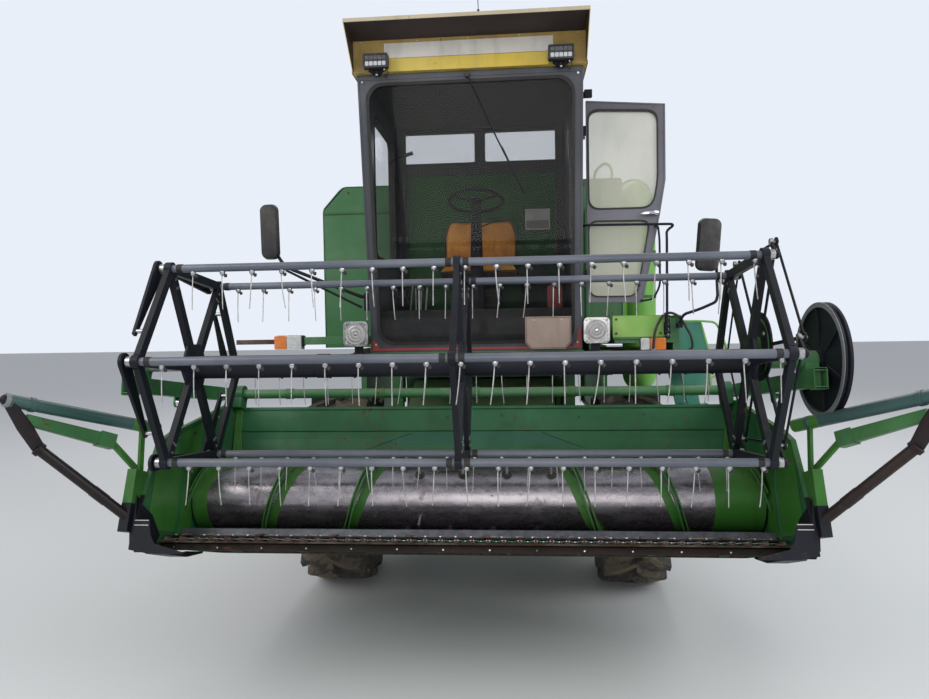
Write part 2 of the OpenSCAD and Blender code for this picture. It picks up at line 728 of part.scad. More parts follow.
module lift_barrels() color(black) at_lift() {
    difference() {
        union() {
            shaft_x(-lift_eye_w / 2, lift_eye_w / 2, 38);
            translate([0, 20, 0]) rotate([-90, 0, 0]) cylinder(h = 60, r = 26);
            translate([0, 56, 0]) rotate([-90, 0, 0]) cylinder(h = 380, r = 45);
        }
        shaft_x(-100, 100, lift_pin_r + pin_gap);
        translate([0, 70, 0]) rotate([-90, 0, 0]) cylinder(h = 500, r = 25 + pin_gap);
    }
}

module lift_rods() color(steel) at_lift() {
    length = norm(lift_pin - lift_base);
    difference() {
        union() {
            translate([0, length, 0]) shaft_x(-lift_eye_w / 2, lift_eye_w / 2, 34);
            translate([0, 320, 0]) rotate([-90, 0, 0]) cylinder(h = length - 320, r = 25);
        }
        translate([0, length, 0]) shaft_x(-100, 100, lift_pin_r);
    }
}

// Header

feeder_open_half = 480;

module trough_line(offset_r) polygon(concat(
    [[20, -offset_r], [auger_b, auger_u - trough_r - offset_r]],
    arc([auger_b, auger_u], trough_r + offset_r, -90, -10, 10),
    [[header_depth + offset_r, back_wall_height - 160], [header_depth + offset_r, back_wall_height],
     [header_depth, back_wall_height], [header_depth, back_wall_height - 160]],
    arc([auger_b, auger_u], trough_r, -10, -90, 10),
    [[20, 6]]));

module end_sheet_outline() polygon([[-250, -45], [-275, 40], [-150, 470], [-40, 540],
    [620, back_wall_height + 5], [arm_pivot_b + 60, back_wall_height + 5],
    [arm_pivot_b + 60, -45]]);

module header_body() color(green) in_header() {
    difference() {
        slab_x(-header_half, header_half) trough_line(header_sheet);
        box(-feeder_open_half, feeder_open_half, auger_b + 150, header_depth + 80, 60, 560);
    }
    both_sides() {
        difference() {
            slab_x(header_half, header_half + end_sheet_t) end_sheet_outline();
            translate([0, auger_b, auger_u]) shaft_x(header_half - 10, header_half + 20, 30 + pin_gap);
        }
        translate([0, arm_pivot_b, arm_pivot_u]) difference() {
            union() {
                shaft_x(header_half - 60, header_half, 55);
                box(header_half - 60, header_half, -45, 45, -95, 0);
            }
            shaft_x(0, 2000, cross_tube_r + pin_gap);
        }
        box(header_half - 60, header_half, header_depth + 6, header_depth + 46, 0,
            back_wall_height);
        box(feeder_open_half + 10, feeder_open_half + 70, header_depth + 6, header_depth + 46, 0,
            back_wall_height);
        translate([0, reel_base[0], reel_base[1]]) shaft_x(header_half + end_sheet_t,
            header_half + 90, reel_pin_r);
    }
    box(-header_half, header_half, header_depth + 6, header_depth + 46, back_wall_height - 50,
        back_wall_height);
    box(-header_half, header_half, header_depth - 40, header_depth + 40, -45, 0);
    box(-header_half, header_half, 60, 120, -45, -header_sheet + 1);
    box(-header_half, header_half, 20, header_depth, -20, -14);
}

// Each divider: a tube with a nose, a channel under it, a pipe down to the foot and their brackets
module crop_dividers() color(green) in_header() both_sides() {
    x0 = header_half + end_sheet_t + seat_gap;
    base = [x0 + 36, -157, 508];
    tip = [1920, divider_tip[0], divider_tip[1]];
    knee = [1860, -610, 352];
    foot = [x0 + 24, -290, 90];
    bracket = [x0 + 24, -230, 300];
    channel_end = [x0 + 130, -330, 438];
    rod(base, base + (tip - base) * 0.86, divider_nose_r - 2);
    rod(base + (tip - base) * 0.8, tip, divider_nose_r);
    rod(tip + (tip - knee) * 0.03, knee + (knee - tip) * 0.05, 26);
    rod(knee, foot, 22);
    square_bar(channel_end, tip + (knee - tip) * 0.35, 36, 62);
    square_bar(bracket, channel_end + (tip - channel_end) * 0.05, 34, 12);
    square_bar(bracket, base + (tip - base) * 0.12, 34, 12);
    box(x0, x0 + 45, -305, -160, 20, 310);
}

// Cutter bar with fingers, and the knife that slides through them

finger_count = floor(cut_width / finger_pitch);

module cutter_bar() color(grey) in_header() {
    box(-header_half + 1, header_half - 1, -20, 20 - seat_gap, -16, -8);
    for (i = [0:finger_count - 1]) translate([(i - (finger_count - 1) / 2) * finger_pitch, 0, 0]) {
        translate([0, 0, -8]) linear_extrude(8.2) polygon([[-14, 10], [-14, -30], [-9, -70],
            [0, -110], [9, -70], [14, -30], [14, 10]]);
        translate([0, 0, 5]) linear_extrude(4) polygon([[-7, -45], [-5, -80], [0, -105], [5, -80],
            [7, -45]]);
        translate([0, 0, -2]) linear_extrude(8) polygon([[-5, -86], [0, -106], [5, -86]]);
    }
}

module knife() color(steel) in_header() {
    box(-cut_width / 2 + 40, cut_width / 2 - 40, -16, 8, 0.5, 3.5);
    for (i = [1:finger_count - 2]) translate([(i - (finger_count - 1) / 2) * finger_pitch, 0, 0.5])
        linear_extrude(3) polygon([[-37, -14], [-9, -76], [9, -76], [37, -14]]);
}

// Auger with retracting fingers

auger_half = header_half - 12;
flight_inner = 480;

module auger_tube() color(steel) in_header() translate([0, auger_b, auger_u]) {
    shaft_x(-auger_half, auger_half, auger_drum_d / 2);
    shaft_x(-header_half - 60, header_half + 60, 30);
    for (i = [0:7]) translate([-385 + i * 110, 0, 0]) rotate([i * 135, 0, 0])
        cylinder(h = auger_flight_d / 2 - 5, r = 8);
}

flight_steps = 24;
flight_t = 6;

// One flight: rings of four corners along the drum, winding up towards the middle
module flight(side) {
    turns = (auger_half - 6 - flight_inner) / auger_pitch;
    n = ceil(turns * flight_steps);
    r0 = (auger_drum_d / 2 + seat_gap) / cos(180 / flight_steps);
    r1 = auger_flight_d / 2;
    points = [for (i = [0:n]) let (x = -auger_half + 6 + i * auger_pitch / flight_steps,
        a = i * 360 / flight_steps)
        each [for (q = [[x, r0], [x + flight_t, r0], [x + flight_t, r1], [x, r1]])
            [-side * q[0], -q[1] * cos(a), q[1] * sin(a)]]];
    quads = [for (i = [0:n - 1], k = [0:3]) let (a = 4 * i + k, b = 4 * i + (k + 1) % 4)
        [a, b, b + 4, a + 4]];
    faces = concat(quads, [[3, 2, 1, 0]], [[4 * n, 4 * n + 1, 4 * n + 2, 4 * n + 3]]);
    polyhedron(points, side < 0 ? faces : [for (f = faces) [for (j = [len(f) - 1:-1:0]) f[j]]],
        convexity = 6);
}

module auger_flights() color(green) in_header() translate([0, auger_b, auger_u]) {
    flight(-1);
    flight(1);
}

// Reel

cross_tube_r = 30;
arm_x0 = header_half + end_sheet_t + 27;
arm_x1 = arm_x0 + 60;
arm_h = 80;
reel_shaft_r = 20;
spider_x = bat_half - 45;
star_x = bat_half + 24;
reel_base = [300, 300];
reel_pin_r = 15;
arm_v = [reel_b - arm_pivot_b, reel_u - arm_drop - arm_pivot_u];
arm_dir = arm_v / norm(arm_v);
reel_pin = [arm_pivot_b, arm_pivot_u] + 600 * arm_dir + 70 * [-arm_dir[1], arm_dir[0]];
eccentric = eccentric_offset * [sin(45), cos(45)];
eccentric_r = eccentric_offset + 45;

module reel_arms() color(green) in_header() {
    translate([0, arm_pivot_b, arm_pivot_u]) shaft_x(-arm_x0 - 10, arm_x0 + 10, cross_tube_r);
    both_sides() {
        difference() {
            union() {
                side_bar([arm_pivot_b, arm_pivot_u] - 70 * arm_dir,
                    [arm_pivot_b, arm_pivot_u] + (norm(arm_v) + 110) * arm_dir, arm_x0, arm_x1, arm_h);
                slab_x(arm_x0, arm_x1) translate([reel_b, reel_u]) circle(r = 45);
                slab_x(arm_x0, arm_x1) translate([reel_b - 40, reel_u - arm_drop]) square([80, arm_drop]);
            }
            side_bar([arm_pivot_b, arm_pivot_u] + (norm(arm_v) + 50) * arm_dir,
                [arm_pivot_b, arm_pivot_u] + (norm(arm_v) + 120) * arm_dir, arm_x0 + 5, arm_x1 - 5,
                arm_h - 10);
            translate([0, reel_b, reel_u]) shaft_x(0, 2500, reel_shaft_r + pin_gap);
        }
        for (x = [arm_x0 + 1, arm_x1 - 11]) slab_x(x, x + 10)
            polygon(concat(arc(reel_pin, 28, 180, 360, 10),
                [reel_pin + [28, 60], reel_pin + [-28, 60]]));
    }
    translate([0, reel_b, reel_u]) difference() {
        union() {
            shaft_x(star_x - 4, arm_x0, 38);
            rotate([header_tilt, 0, 0]) translate([0, eccentric[0], eccentric[1]])
                shaft_x(star_x - 4, star_x + 12, eccentric_r);
        }
        shaft_x(0, 2000, reel_shaft_r + 8);
    }
}

reel_cyl_dir = atan2(reel_pin[1] - reel_base[1], reel_pin[0] - reel_base[0]);
reel_cyl_x = (arm_x0 + arm_x1) / 2;

module at_reel_lift() in_header() both_sides() translate([reel_cyl_x, reel_base[0], reel_base[1]])
    rotate([reel_cyl_dir, 0, 0]) children();

module reel_lift_barrels() color(black) at_reel_lift() difference() {
    union() {
        shaft_x(-17, 17, 28);
        translate([0, 20, 0]) rotate([-90, 0, 0]) cylinder(h = 290, r = 24);
    }
    shaft_x(-100, 100, reel_pin_r + pin_gap);
    translate([0, 60, 0]) rotate([-90, 0, 0]) cylinder(h = 300, r = 12 + pin_gap);
}

module reel_lift_rods() color(steel) at_reel_lift() {
    length = norm(reel_pin - reel_base);
    difference() {
        union() {
            translate([0, length, 0]) shaft_x(-17, 17, 24);
            translate([0, 100, 0]) rotate([-90, 0, 0]) cylinder(h = length - 100, r = 12);
        }
        translate([0, length, 0]) shaft_x(-100, 100, reel_pin_r);
    }
}

function bat_angle(i) = reel_phase + 60 * i;
function bat_place(i, r) = [-r * cos(bat_angle(i)), r * sin(bat_angle(i))];

// Hexagon of square tube with six spokes, a hub disc and an ear round each bat
spider_half = 16;
spoke_w = 44;

module spider(x) difference() {
    union() {
        slab_x(x - spider_half, x + spider_half) for (i = [0:5]) {
            rotate(180 - bat_angle(i)) translate([0, -spoke_w / 2]) square([reel_r, spoke_w]);
            side_line(bat_place(i, reel_r), bat_place(i + 1, reel_r), spoke_w);
        }
        slab_x(x - 9, x + 9) for (i = [0:5]) translate(bat_place(i, reel_r)) circle(r = 34);
        shaft_x(x - 9, x + 9, 130);
    }
    for (i = [0:5]) translate([0, bat_place(i, reel_r)[0], bat_place(i, reel_r)[1]])
        shaft_x(x - 20, x + 20, bat_d / 2 + 0.2);
}

module side_line(from, to, w) {
    v = to - from;
    translate(from) rotate(atan2(v[1], v[0])) translate([0, -w / 2]) square([norm(v), w]);
}

// Belt pulley of the reel drive: a dished disc with a grooved rim
module reel_pulley(x) {
    difference() {
        shaft_x(x, x + 38, pulley_r);
        shaft_x(x - 1, x + 15, pulley_r - 18);
        shaft_x(x + 23, x + 39, pulley_r - 18);
        translate([x + 19, 0, 0]) rotate([0, 90, 0]) rotate_extrude() polygon([[pulley_r - 12, -4],
            [pulley_r + 1, -11], [pulley_r + 1, 11], [pulley_r - 12, 4]]);
        for (a = [30:60:330]) rotate([a, 0, 0]) translate([0, 0, pulley_r * 0.58])
            shaft_x(x - 1, x + 39, 48);
    }
    shaft_x(x - 5, x + 46, 50);
}
pulley_r = 270;

module reel_rotor() color(black) at_reel() {
    for (x = [-spider_x, 0, spider_x]) spider(x);
    shaft_x(-spider_x, spider_x, 57);
    shaft_x(-arm_x1 - 30, arm_x1 + 70, reel_shaft_r);
    reel_pulley(arm_x1 + 15);
}

module control_star() color(black) at_reel() translate([0, eccentric[0], eccentric[1]])
    difference() {
        slab_x(star_x, star_x + 8) difference() {
            union() {
                circle(r = eccentric_r + 30);
                for (i = [0:5]) {
                    translate(bat_place(i, reel_r)) circle(r = 20);
                    rotate(180 - bat_angle(i)) translate([0, -8]) square([reel_r, 16]);
                    side_line(bat_place(i, reel_r), bat_place(i + 1, reel_r), 12);
                }
            }
            circle(r = eccentric_r + pin_gap);
        }
        for (i = [0:5]) translate([0, bat_place(i, reel_r)[0], bat_place(i, reel_r)[1]])
            shaft_x(star_x - 20, star_x + 20, 8 + pin_gap);
    }

module bat(i) color(grey) at_reel() translate([0, bat_place(i, reel_r)[0], bat_place(i, reel_r)[1]]) {
    shaft_x(-bat_half, bat_half, bat_d / 2);
    for (k = [0:tines_per_bat - 1]) translate([(k - (tines_per_bat - 1) / 2) * tine_pitch + 36, 0, 0]) {
        rotate([180, 0, 0]) cylinder(h = tine_length, r = 3);
        shaft_x(-14, 14, bat_d / 2 + 4);
    }
    slab_x(bat_half, bat_half + 10) union() {
        circle(r = 20);
        translate(eccentric) circle(r = 16);
        side_line([0, 0], eccentric, 26);
    }
    translate([0, eccentric[0], eccentric[1]]) shaft_x(bat_half + 5, star_x + 14, 8);
}
tine_pitch = (bat_length - 160) / (tines_per_bat - 1) * 0.97;

chassis_frame();
front_axle();
threshing_body();
cleaning_shoe();
straw_hood();
grain_tank();
tank_lid();
engine_block();
engine_cover();
engine_stacks();
cab_frame();
cab_roof();
windscreen();
cab_windows();
platform();
ladder();
handrails();
seat_cushion();
seat_base();
steering_column();
control_levers();
headlamps();
work_lamps();
indicator_arms();
mirrors();
side_shields();
grain_elevator();
auger_turret();
unloading_auger();
cab_door();
door_glass();
rear_axle();
knuckle(1);  // knuckle_left
knuckle(-1);  // knuckle_right
tie_rod();
front_wheel(1);  // front_wheel_left
front_wheel(-1);  // front_wheel_right
rear_wheel(1);  // rear_wheel_left
rear_wheel(-1);  // rear_wheel_right
feeder_house();
lift_barrels();
lift_rods();
header_body();
crop_dividers();
cutter_bar();
knife();
auger_tube();
auger_flights();
reel_arms();
reel_lift_barrels();
reel_lift_rods();
reel_rotor();
control_star();
bat(0);  // bat_1
bat(1);  // bat_2
bat(2);  // bat_3
bat(3);  // bat_4
bat(4);  // bat_5
bat(5);  // bat_6
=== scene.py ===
"""Looks of the self-propelled combine harvester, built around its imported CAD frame.

Metres, +Z up, front towards -Y, in the same frame as the CAD. Each sub-assembly is a class
that works its surfaces out with numpy and rides them on the CAD bodies.
"""

import json
import logging
import math
from dataclasses import dataclass, field
from enum import Enum

import bmesh
import bpy
import numpy as np
from mathutils import Matrix, Vector


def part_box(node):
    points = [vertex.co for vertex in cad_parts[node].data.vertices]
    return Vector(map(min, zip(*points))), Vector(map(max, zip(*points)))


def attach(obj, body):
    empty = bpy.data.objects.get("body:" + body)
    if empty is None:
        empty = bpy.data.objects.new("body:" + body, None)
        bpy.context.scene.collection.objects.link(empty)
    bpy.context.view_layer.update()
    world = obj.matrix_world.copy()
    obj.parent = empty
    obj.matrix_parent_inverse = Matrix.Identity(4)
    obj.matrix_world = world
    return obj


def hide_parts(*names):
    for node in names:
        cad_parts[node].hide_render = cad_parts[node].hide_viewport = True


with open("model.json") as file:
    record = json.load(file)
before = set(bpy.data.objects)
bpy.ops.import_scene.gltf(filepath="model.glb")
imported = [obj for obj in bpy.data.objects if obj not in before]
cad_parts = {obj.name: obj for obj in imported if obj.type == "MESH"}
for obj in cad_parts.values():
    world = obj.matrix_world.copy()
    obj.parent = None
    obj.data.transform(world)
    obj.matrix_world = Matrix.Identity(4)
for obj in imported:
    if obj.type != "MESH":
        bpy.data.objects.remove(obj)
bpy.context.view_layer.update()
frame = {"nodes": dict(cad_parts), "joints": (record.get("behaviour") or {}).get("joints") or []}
LOG = logging.getLogger("combine")
Array = np.ndarray
Shape = tuple[Array, list]


def joint_place(name: str) -> Array:
    """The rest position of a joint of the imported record, as a vector.

    Args:
        name: the joint's name.
    Returns:
        Its position in metres.
    """
    return np.array(next(j["pos_m"] for j in frame["joints"] if j["name"] == name), float)


AXLE_Y = float(joint_place("front_wheel_left_roll")[1])
# The knife's place before the front axle and over the ground, and the header's tilt
KNIFE_REACH, KNIFE_HEIGHT, TILT = 1870.0, 840.0, math.radians(20)
# A point on the table auger's axis, in the header's measures
AUGER_AXIS = (0, 440, 260)
# The foot of the cab's front, its floor and roof line, and how far the front leans out between them
CAB_FRONT, CAB_BOTTOM, CAB_TOP, LEAN = -840.0, 1740.0, 3410.0, 260.0


class Place(Enum):
    """What a solid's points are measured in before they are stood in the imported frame."""
    WORLD = "metres in the packed frame"
    AXLE = "millimetres from the ground under the front axle"
    HEADER = "millimetres from the knife: x, then back along the header, then square to that"

    def stand(self, points: Array) -> Array:
        """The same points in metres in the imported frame."""
        if self is Place.WORLD:
            return points
        x, y, z = points.T
        if self is Place.HEADER:
            cos, sin = math.cos(TILT), math.sin(TILT)
            y, z = -KNIFE_REACH + y * cos + z * sin, KNIFE_HEIGHT - y * sin + z * cos
        return np.stack([x, y, z], 1) / 1000 + (0, AXLE_Y, 0)


# Surfaces


def wall_faces(rings: int, sides: int, loop: bool = False) -> list:
    """Quads that join each ring of a grid to the next; each ring closes on itself.

    Args:
        rings: number of rings.
        sides: number of points in a ring.
        loop: whether the last ring joins the first.
    Returns:
        Faces as lists of four indices.
    """
    i = np.arange(rings if loop else rings - 1)[:, None]
    j = np.arange(sides)[None, :]
    k = (j + 1) % sides
    n = (i + 1) % rings
    return np.stack([i * sides + j, i * sides + k, n * sides + k, n * sides + j], -1).reshape(-1, 4).tolist()


def sheet_faces(rows: int, cols: int) -> list:
    """Quads of an open grid.

    Args:
        rows: points along the first parameter.
        cols: points along the second.
    Returns:
        Faces as lists of four indices.
    """
    i = np.arange(rows - 1)[:, None]
    j = np.arange(cols - 1)[None, :]
    a = i * cols + j
    return np.stack([a, a + 1, a + cols + 1, a + cols], -1).reshape(-1, 4).tolist()


def unit(v: Array) -> Array:
    """The vectors of v, each at length one."""
    return v / np.maximum(np.linalg.norm(v, axis=-1, keepdims=True), 1e-12)


def carried(path: Array, section: Array, ref: tuple = (0, 0, 1), scale: Array | float = 1.0,
            loop: bool = False) -> Shape:
    """A section carried along a path: point = path(s) + a * side(s) + b * rise(s).

    side is the cross product of ref and the path's direction, rise stands square to both.

    Args:
        path: points of the path.
        section: closed outline of (a, b), anticlockwise.
        ref: a direction that the path never runs along.
        scale: size of the section at each point.
        loop: whether the path closes on itself.
    Returns:
        Points and faces.
    """
    path = np.asarray(path, float)
    section = np.asarray(section, float)
    if loop:
        run = np.roll(path, -1, 0) - np.roll(path, 1, 0)
    else:
        run = np.gradient(path, axis=0)
    run = unit(run)
    side = unit(np.cross(np.asarray(ref, float), run))
    rise = np.cross(run, side)
    scale = np.broadcast_to(np.asarray(scale, float), (len(path),))[:, None, None]
    points = (path[:, None] + scale * section[None, :, :1] * side[:, None]
              + scale * section[None, :, 1:] * rise[:, None]).reshape(-1, 3)
    n = len(section)
    faces = wall_faces(len(path), n, loop)
    if not loop:
        faces += [list(range(n))[::-1], list(range((len(path) - 1) * n, len(path) * n))]
    return points, faces


def ring(radius: float, sides: int = 12) -> Array:
    """A circle of points, anticlockwise: radius * (cos a, sin a)."""
    a = np.arange(sides) * 2 * np.pi / sides
    return radius * np.stack([np.cos(a), np.sin(a)], 1)


def tube(path: list, radius: float, sides: int = 12, ref: tuple | None = None, bend: float = 0.0) -> Shape:
    """A round bar along a path, with each inner corner rounded off.

    Args:
        path: corner points.
        radius: radius of the bar.
        sides: points round the bar.
        ref: a direction that the path never runs along.
        bend: radius of the bends at the corners.
    Returns:
        Points and faces.
    """
    p = np.asarray(path, float)
    if bend and len(p) > 2:
        before, corner, after = p[:-2], p[1:-1], p[2:]
        cut = np.minimum(bend, 0.45 * np.minimum(np.linalg.norm(before - corner, axis=1),
                                                np.linalg.norm(after - corner, axis=1)))[:, None]
        start = corner + unit(before - corner) * cut
        end = corner + unit(after - corner) * cut
        t = np.linspace(0, 1, 7)[None, :, None]
        arcs = (1 - t) ** 2 * start[:, None] + 2 * t * (1 - t) * corner[:, None] + t ** 2 * end[:, None]
        p = np.concatenate([p[:1], arcs.reshape(-1, 3), p[-1:]])
    if ref is None:
        spread = np.abs(unit(np.diff(p, axis=0))).max(0)
        ref = tuple(np.eye(3)[int(np.argmin(spread))] + (0.013, 0.007, 0.011))
    return carried(p, ring(radius, sides), ref)


def lathe(profile: list, centre: tuple, sides: int = 48, closed: bool = False, axis: int = 0) -> Shape:
    """A profile of (along, radius) turned about an axis through centre.

    Args:
        profile: points from one end to the other; closed profiles bound a ring.
        centre: a point on the axis.
        sides: steps round the axis.
        closed: whether the profile is a loop.
        axis: 0, 1 or 2 for an axis along X, Y or Z.
    Returns:
        Points and faces.
    """
    p = np.asarray(profile, float)
    a = np.arange(sides) * 2 * np.pi / sides
    along = np.broadcast_to(p[:, :1], (len(p), sides))
    cos, sin = p[:, 1:] * np.cos(a), p[:, 1:] * np.sin(a)
    order = [[along, cos, sin], [sin, along, cos], [cos, sin, along]][axis]
    points = np.stack(order, -1).reshape(-1, 3) + np.asarray(centre, float)
    faces = wall_faces(len(p), sides, closed)
    if not closed:
        last = (len(p) - 1) * sides
        faces += [list(range(sides))[::-1], list(range(last, last + sides))]
    return points, faces


def collar(start: float, stop: float, inner: float, outer: float, centre: tuple, sides: int = 48,
           closed: bool = False, axis: int = 0) -> Shape:
    """A ring between two radii, from start to stop along an axis; not closed, it is a drum with flat ends."""
    return lathe([(start, inner), (start, outer), (stop, outer), (stop, inner)], centre, sides, closed, axis)


def spread(flat: Array, level: Array, axis: int) -> Array:
    """Flat points stood in space: level is where each lies on the axis, the other two keep their order."""
    return np.insert(flat, axis, level, axis=1)


def around(centre: tuple, radius: float, count: int, axis: int = 0) -> Array:
    """Evenly spaced places on a circle about centre, square to an axis."""
    a = np.arange(count) * 2 * np.pi / count
    return spread(radius * np.stack([np.cos(a), np.sin(a)], 1), np.zeros(count), axis) + centre


def plate(outline: list, start: float, stop: float, axis: int = 0) -> Shape:
    """A flat outline given thickness along an axis.

    Args:
        outline: for axis 0 points of (y, z), for 1 of (x, z), for 2 of (x, y).
        start: where the plate starts on the axis.
        stop: where it ends.
        axis: 0, 1 or 2.
    Returns:
        Points and faces.
    """
    o = np.asarray(outline, float)
    n = len(o)
    points = spread(np.concatenate([o, o]), np.repeat(sorted((start, stop)), n), axis)
    return points, wall_faces(2, n) + [list(range(n))[::-1], list(range(n, 2 * n))]


def block(x0: float, x1: float, y0: float, y1: float, z0: float, z1: float) -> Shape:
    """A box between two corners."""
    return plate([(y0, z0), (y1, z0), (y1, z1), (y0, z1)], x0, x1)


def strap(start: list, end: list, width: float, thick: float, ref: tuple = (1, 0, 0)) -> Shape:
    """A flat bar from start to end; its width lies square to ref, its thickness along ref."""
    w, t = width / 2, thick / 2
    return carried([start, end], [(w, -t), (w, t), (-w, t), (-w, -t)], ref)


def rounded(width: float, height: float, radius: float, steps: int = 5) -> Array:
    """Outline of a rectangle about the origin, with its corners rounded.

    Args:
        width: full width.
        height: full height.
        radius: corner radius.
        steps: steps per corner.
    Returns:
        Points, anticlockwise.
    """
    a = np.linspace(0, np.pi / 2, steps + 1)
    quarter = radius * np.stack([np.cos(a), np.sin(a)], 1)
    turn = np.array([[0, -1], [1, 0]])
    w, h = width / 2 - radius, height / 2 - radius
    corners = [(w, h), (-w, h), (-w, -h), (w, -h)]
    parts = []
    for corner in corners:
        parts.append(quarter + corner)
        quarter = quarter @ turn.T
    return np.concatenate(parts)


def banded(outer: Array, inner: Array, start: float, stop: float, axis: int) -> Shape:
    """The band between two outlines of as many points, given depth from start to stop."""
    low, high = sorted((start, stop))
    level = np.repeat([low, high, high, low], len(outer))
    points = spread(np.concatenate([outer, outer, inner, inner]), level, axis)
    return points, wall_faces(4, len(outer), loop=True)


def frame_strip(outline: Array, inset: float, start: float, stop: float, axis: int = 1) -> Shape:
    """A frame: the band between an outline and the same outline drawn in by inset, given depth.

    Args:
        outline: convex outline about any centre.
        inset: width of the band.
        start: where it starts on the axis.
        stop: where it ends.
        axis: axis of the depth.
    Returns:
        Points and faces.
    """
    o = np.asarray(outline, float)
    mid = (o.min(0) + o.max(0)) / 2
    half = (o.max(0) - o.min(0)) / 2
    return banded(o, mid + (o - mid) * (half - inset) / half, start, stop, axis)


def cast(outline: Array, centre: Array, angles: Array) -> Array:
    """Where rays from a centre cross an outline, one for each angle.

    Args:
        outline: points of a closed outline that the centre sees whole.
        centre: where the rays start.
        angles: their directions.
    Returns:
        The crossings.
    """
    a, b = outline, np.roll(outline, -1, 0)
    way = np.stack([np.cos(angles), np.sin(angles)], 1)[:, None]
    edge, start = (b - a)[None], (a - centre)[None]
    cross = way[..., 0] * edge[..., 1] - way[..., 1] * edge[..., 0]
    cross = np.where(np.abs(cross) < 1e-12, 1e-12, cross)
    along = (start[..., 0] * edge[..., 1] - start[..., 1] * edge[..., 0]) / cross
    share = (start[..., 0] * way[..., 1] - start[..., 1] * way[..., 0]) / cross
    along = np.where((share > -1e-6) & (share < 1 + 1e-6) & (along > 0), along, np.inf).min(1)
    return centre + along[:, None] * way[:, 0]


def pane_frame(outer: list, inner: list, low: float, high: float, axis: int = 1) -> Shape:
    """A frame between any two outlines, one inside the other, given depth along an axis.

    Args:
        outer: outer outline.
        inner: the hole's outline.
        low: where it starts on the axis.
        high: where it ends.
        axis: axis of the depth.
    Returns:
        Points and faces.
    """
    outer, inner = np.asarray(outer, float), np.asarray(inner, float)
    centre = (inner.min(0) + inner.max(0)) / 2
    reach = np.concatenate([outer, inner]) - centre
    angles = np.unique(np.round(np.arctan2(reach[:, 1], reach[:, 0]), 5))
    return banded(cast(outer, centre, angles), cast(inner, centre, angles), low, high, axis)


def many(shape: Shape, places: Array) -> Shape:
    """One shape repeated at each of the places, which are added to its points."""
    points, faces = shape
    places = np.asarray(places, float).reshape(-1, 3)
    count = len(points)
    stacked = (points[None] + places[:, None]).reshape(-1, 3)
    return stacked, [[i + k * count for i in f] for k in range(len(places)) for f in faces]


def turned(shape: Shape, angle: float, centre: tuple, axis: str = "X") -> Shape:
    """The shape turned by an angle in degrees about an axis through centre."""
    points, faces = shape
    spin = np.array(Matrix.Rotation(math.radians(angle), 3, axis))
    centre = np.asarray(centre, float)
    return (points - centre) @ spin.T + centre, faces


def leaning(shape: Shape) -> Shape:
    """The shape stood on the leaning front of the cab: y moves forward with height."""
    points, faces = shape
    shift = CAB_FRONT - LEAN * (points[:, 2] - CAB_BOTTOM) / (CAB_TOP - CAB_BOTTOM)
    return points + np.stack([0 * shift, shift, 0 * shift], 1), faces


def shifted(shape: Shape, x: float, y: float, z: float) -> Shape:
    """The shape moved by (x, y, z)."""
    return shape[0] + (x, y, z), shape[1]


def bent(sheet: Array, thick: float) -> Shape:
    """A grid of points given thickness: the second skin lies along the grid's own normals.

    Args:
        sheet: points in rows and columns.
        thick: distance between the skins.
    Returns:
        Points and faces of the closed sheet.
    """
    rows, cols = sheet.shape[:2]
    along, across = np.gradient(sheet, axis=0), np.gradient(sheet, axis=1)
    back = sheet + thick * unit(np.cross(along, across))
    faces = sheet_faces(rows, cols)
    n = rows * cols
    faces += [[i + n for i in f[::-1]] for f in sheet_faces(rows, cols)]
    edge = [*range(cols), *range(2 * cols - 1, n, cols), *range(n - 2, n - cols - 1, -1),
            *range(n - 2 * cols, 0, -cols)]
    faces += [[a, b, b + n, a + n] for a, b in zip(edge, edge[1:] + edge[:1])]
    return np.concatenate([sheet.reshape(-1, 3), back.reshape(-1, 3)]), faces


def hexagon_heads(places: list, radius: float, height: float, axis: int, sign: int = 1) -> Shape:
    """Bolt heads: hexagons of that radius, standing height proud of each place along the axis."""
    return many(plate(ring(radius, 6), 0.0, sign * height, axis), np.asarray(places))


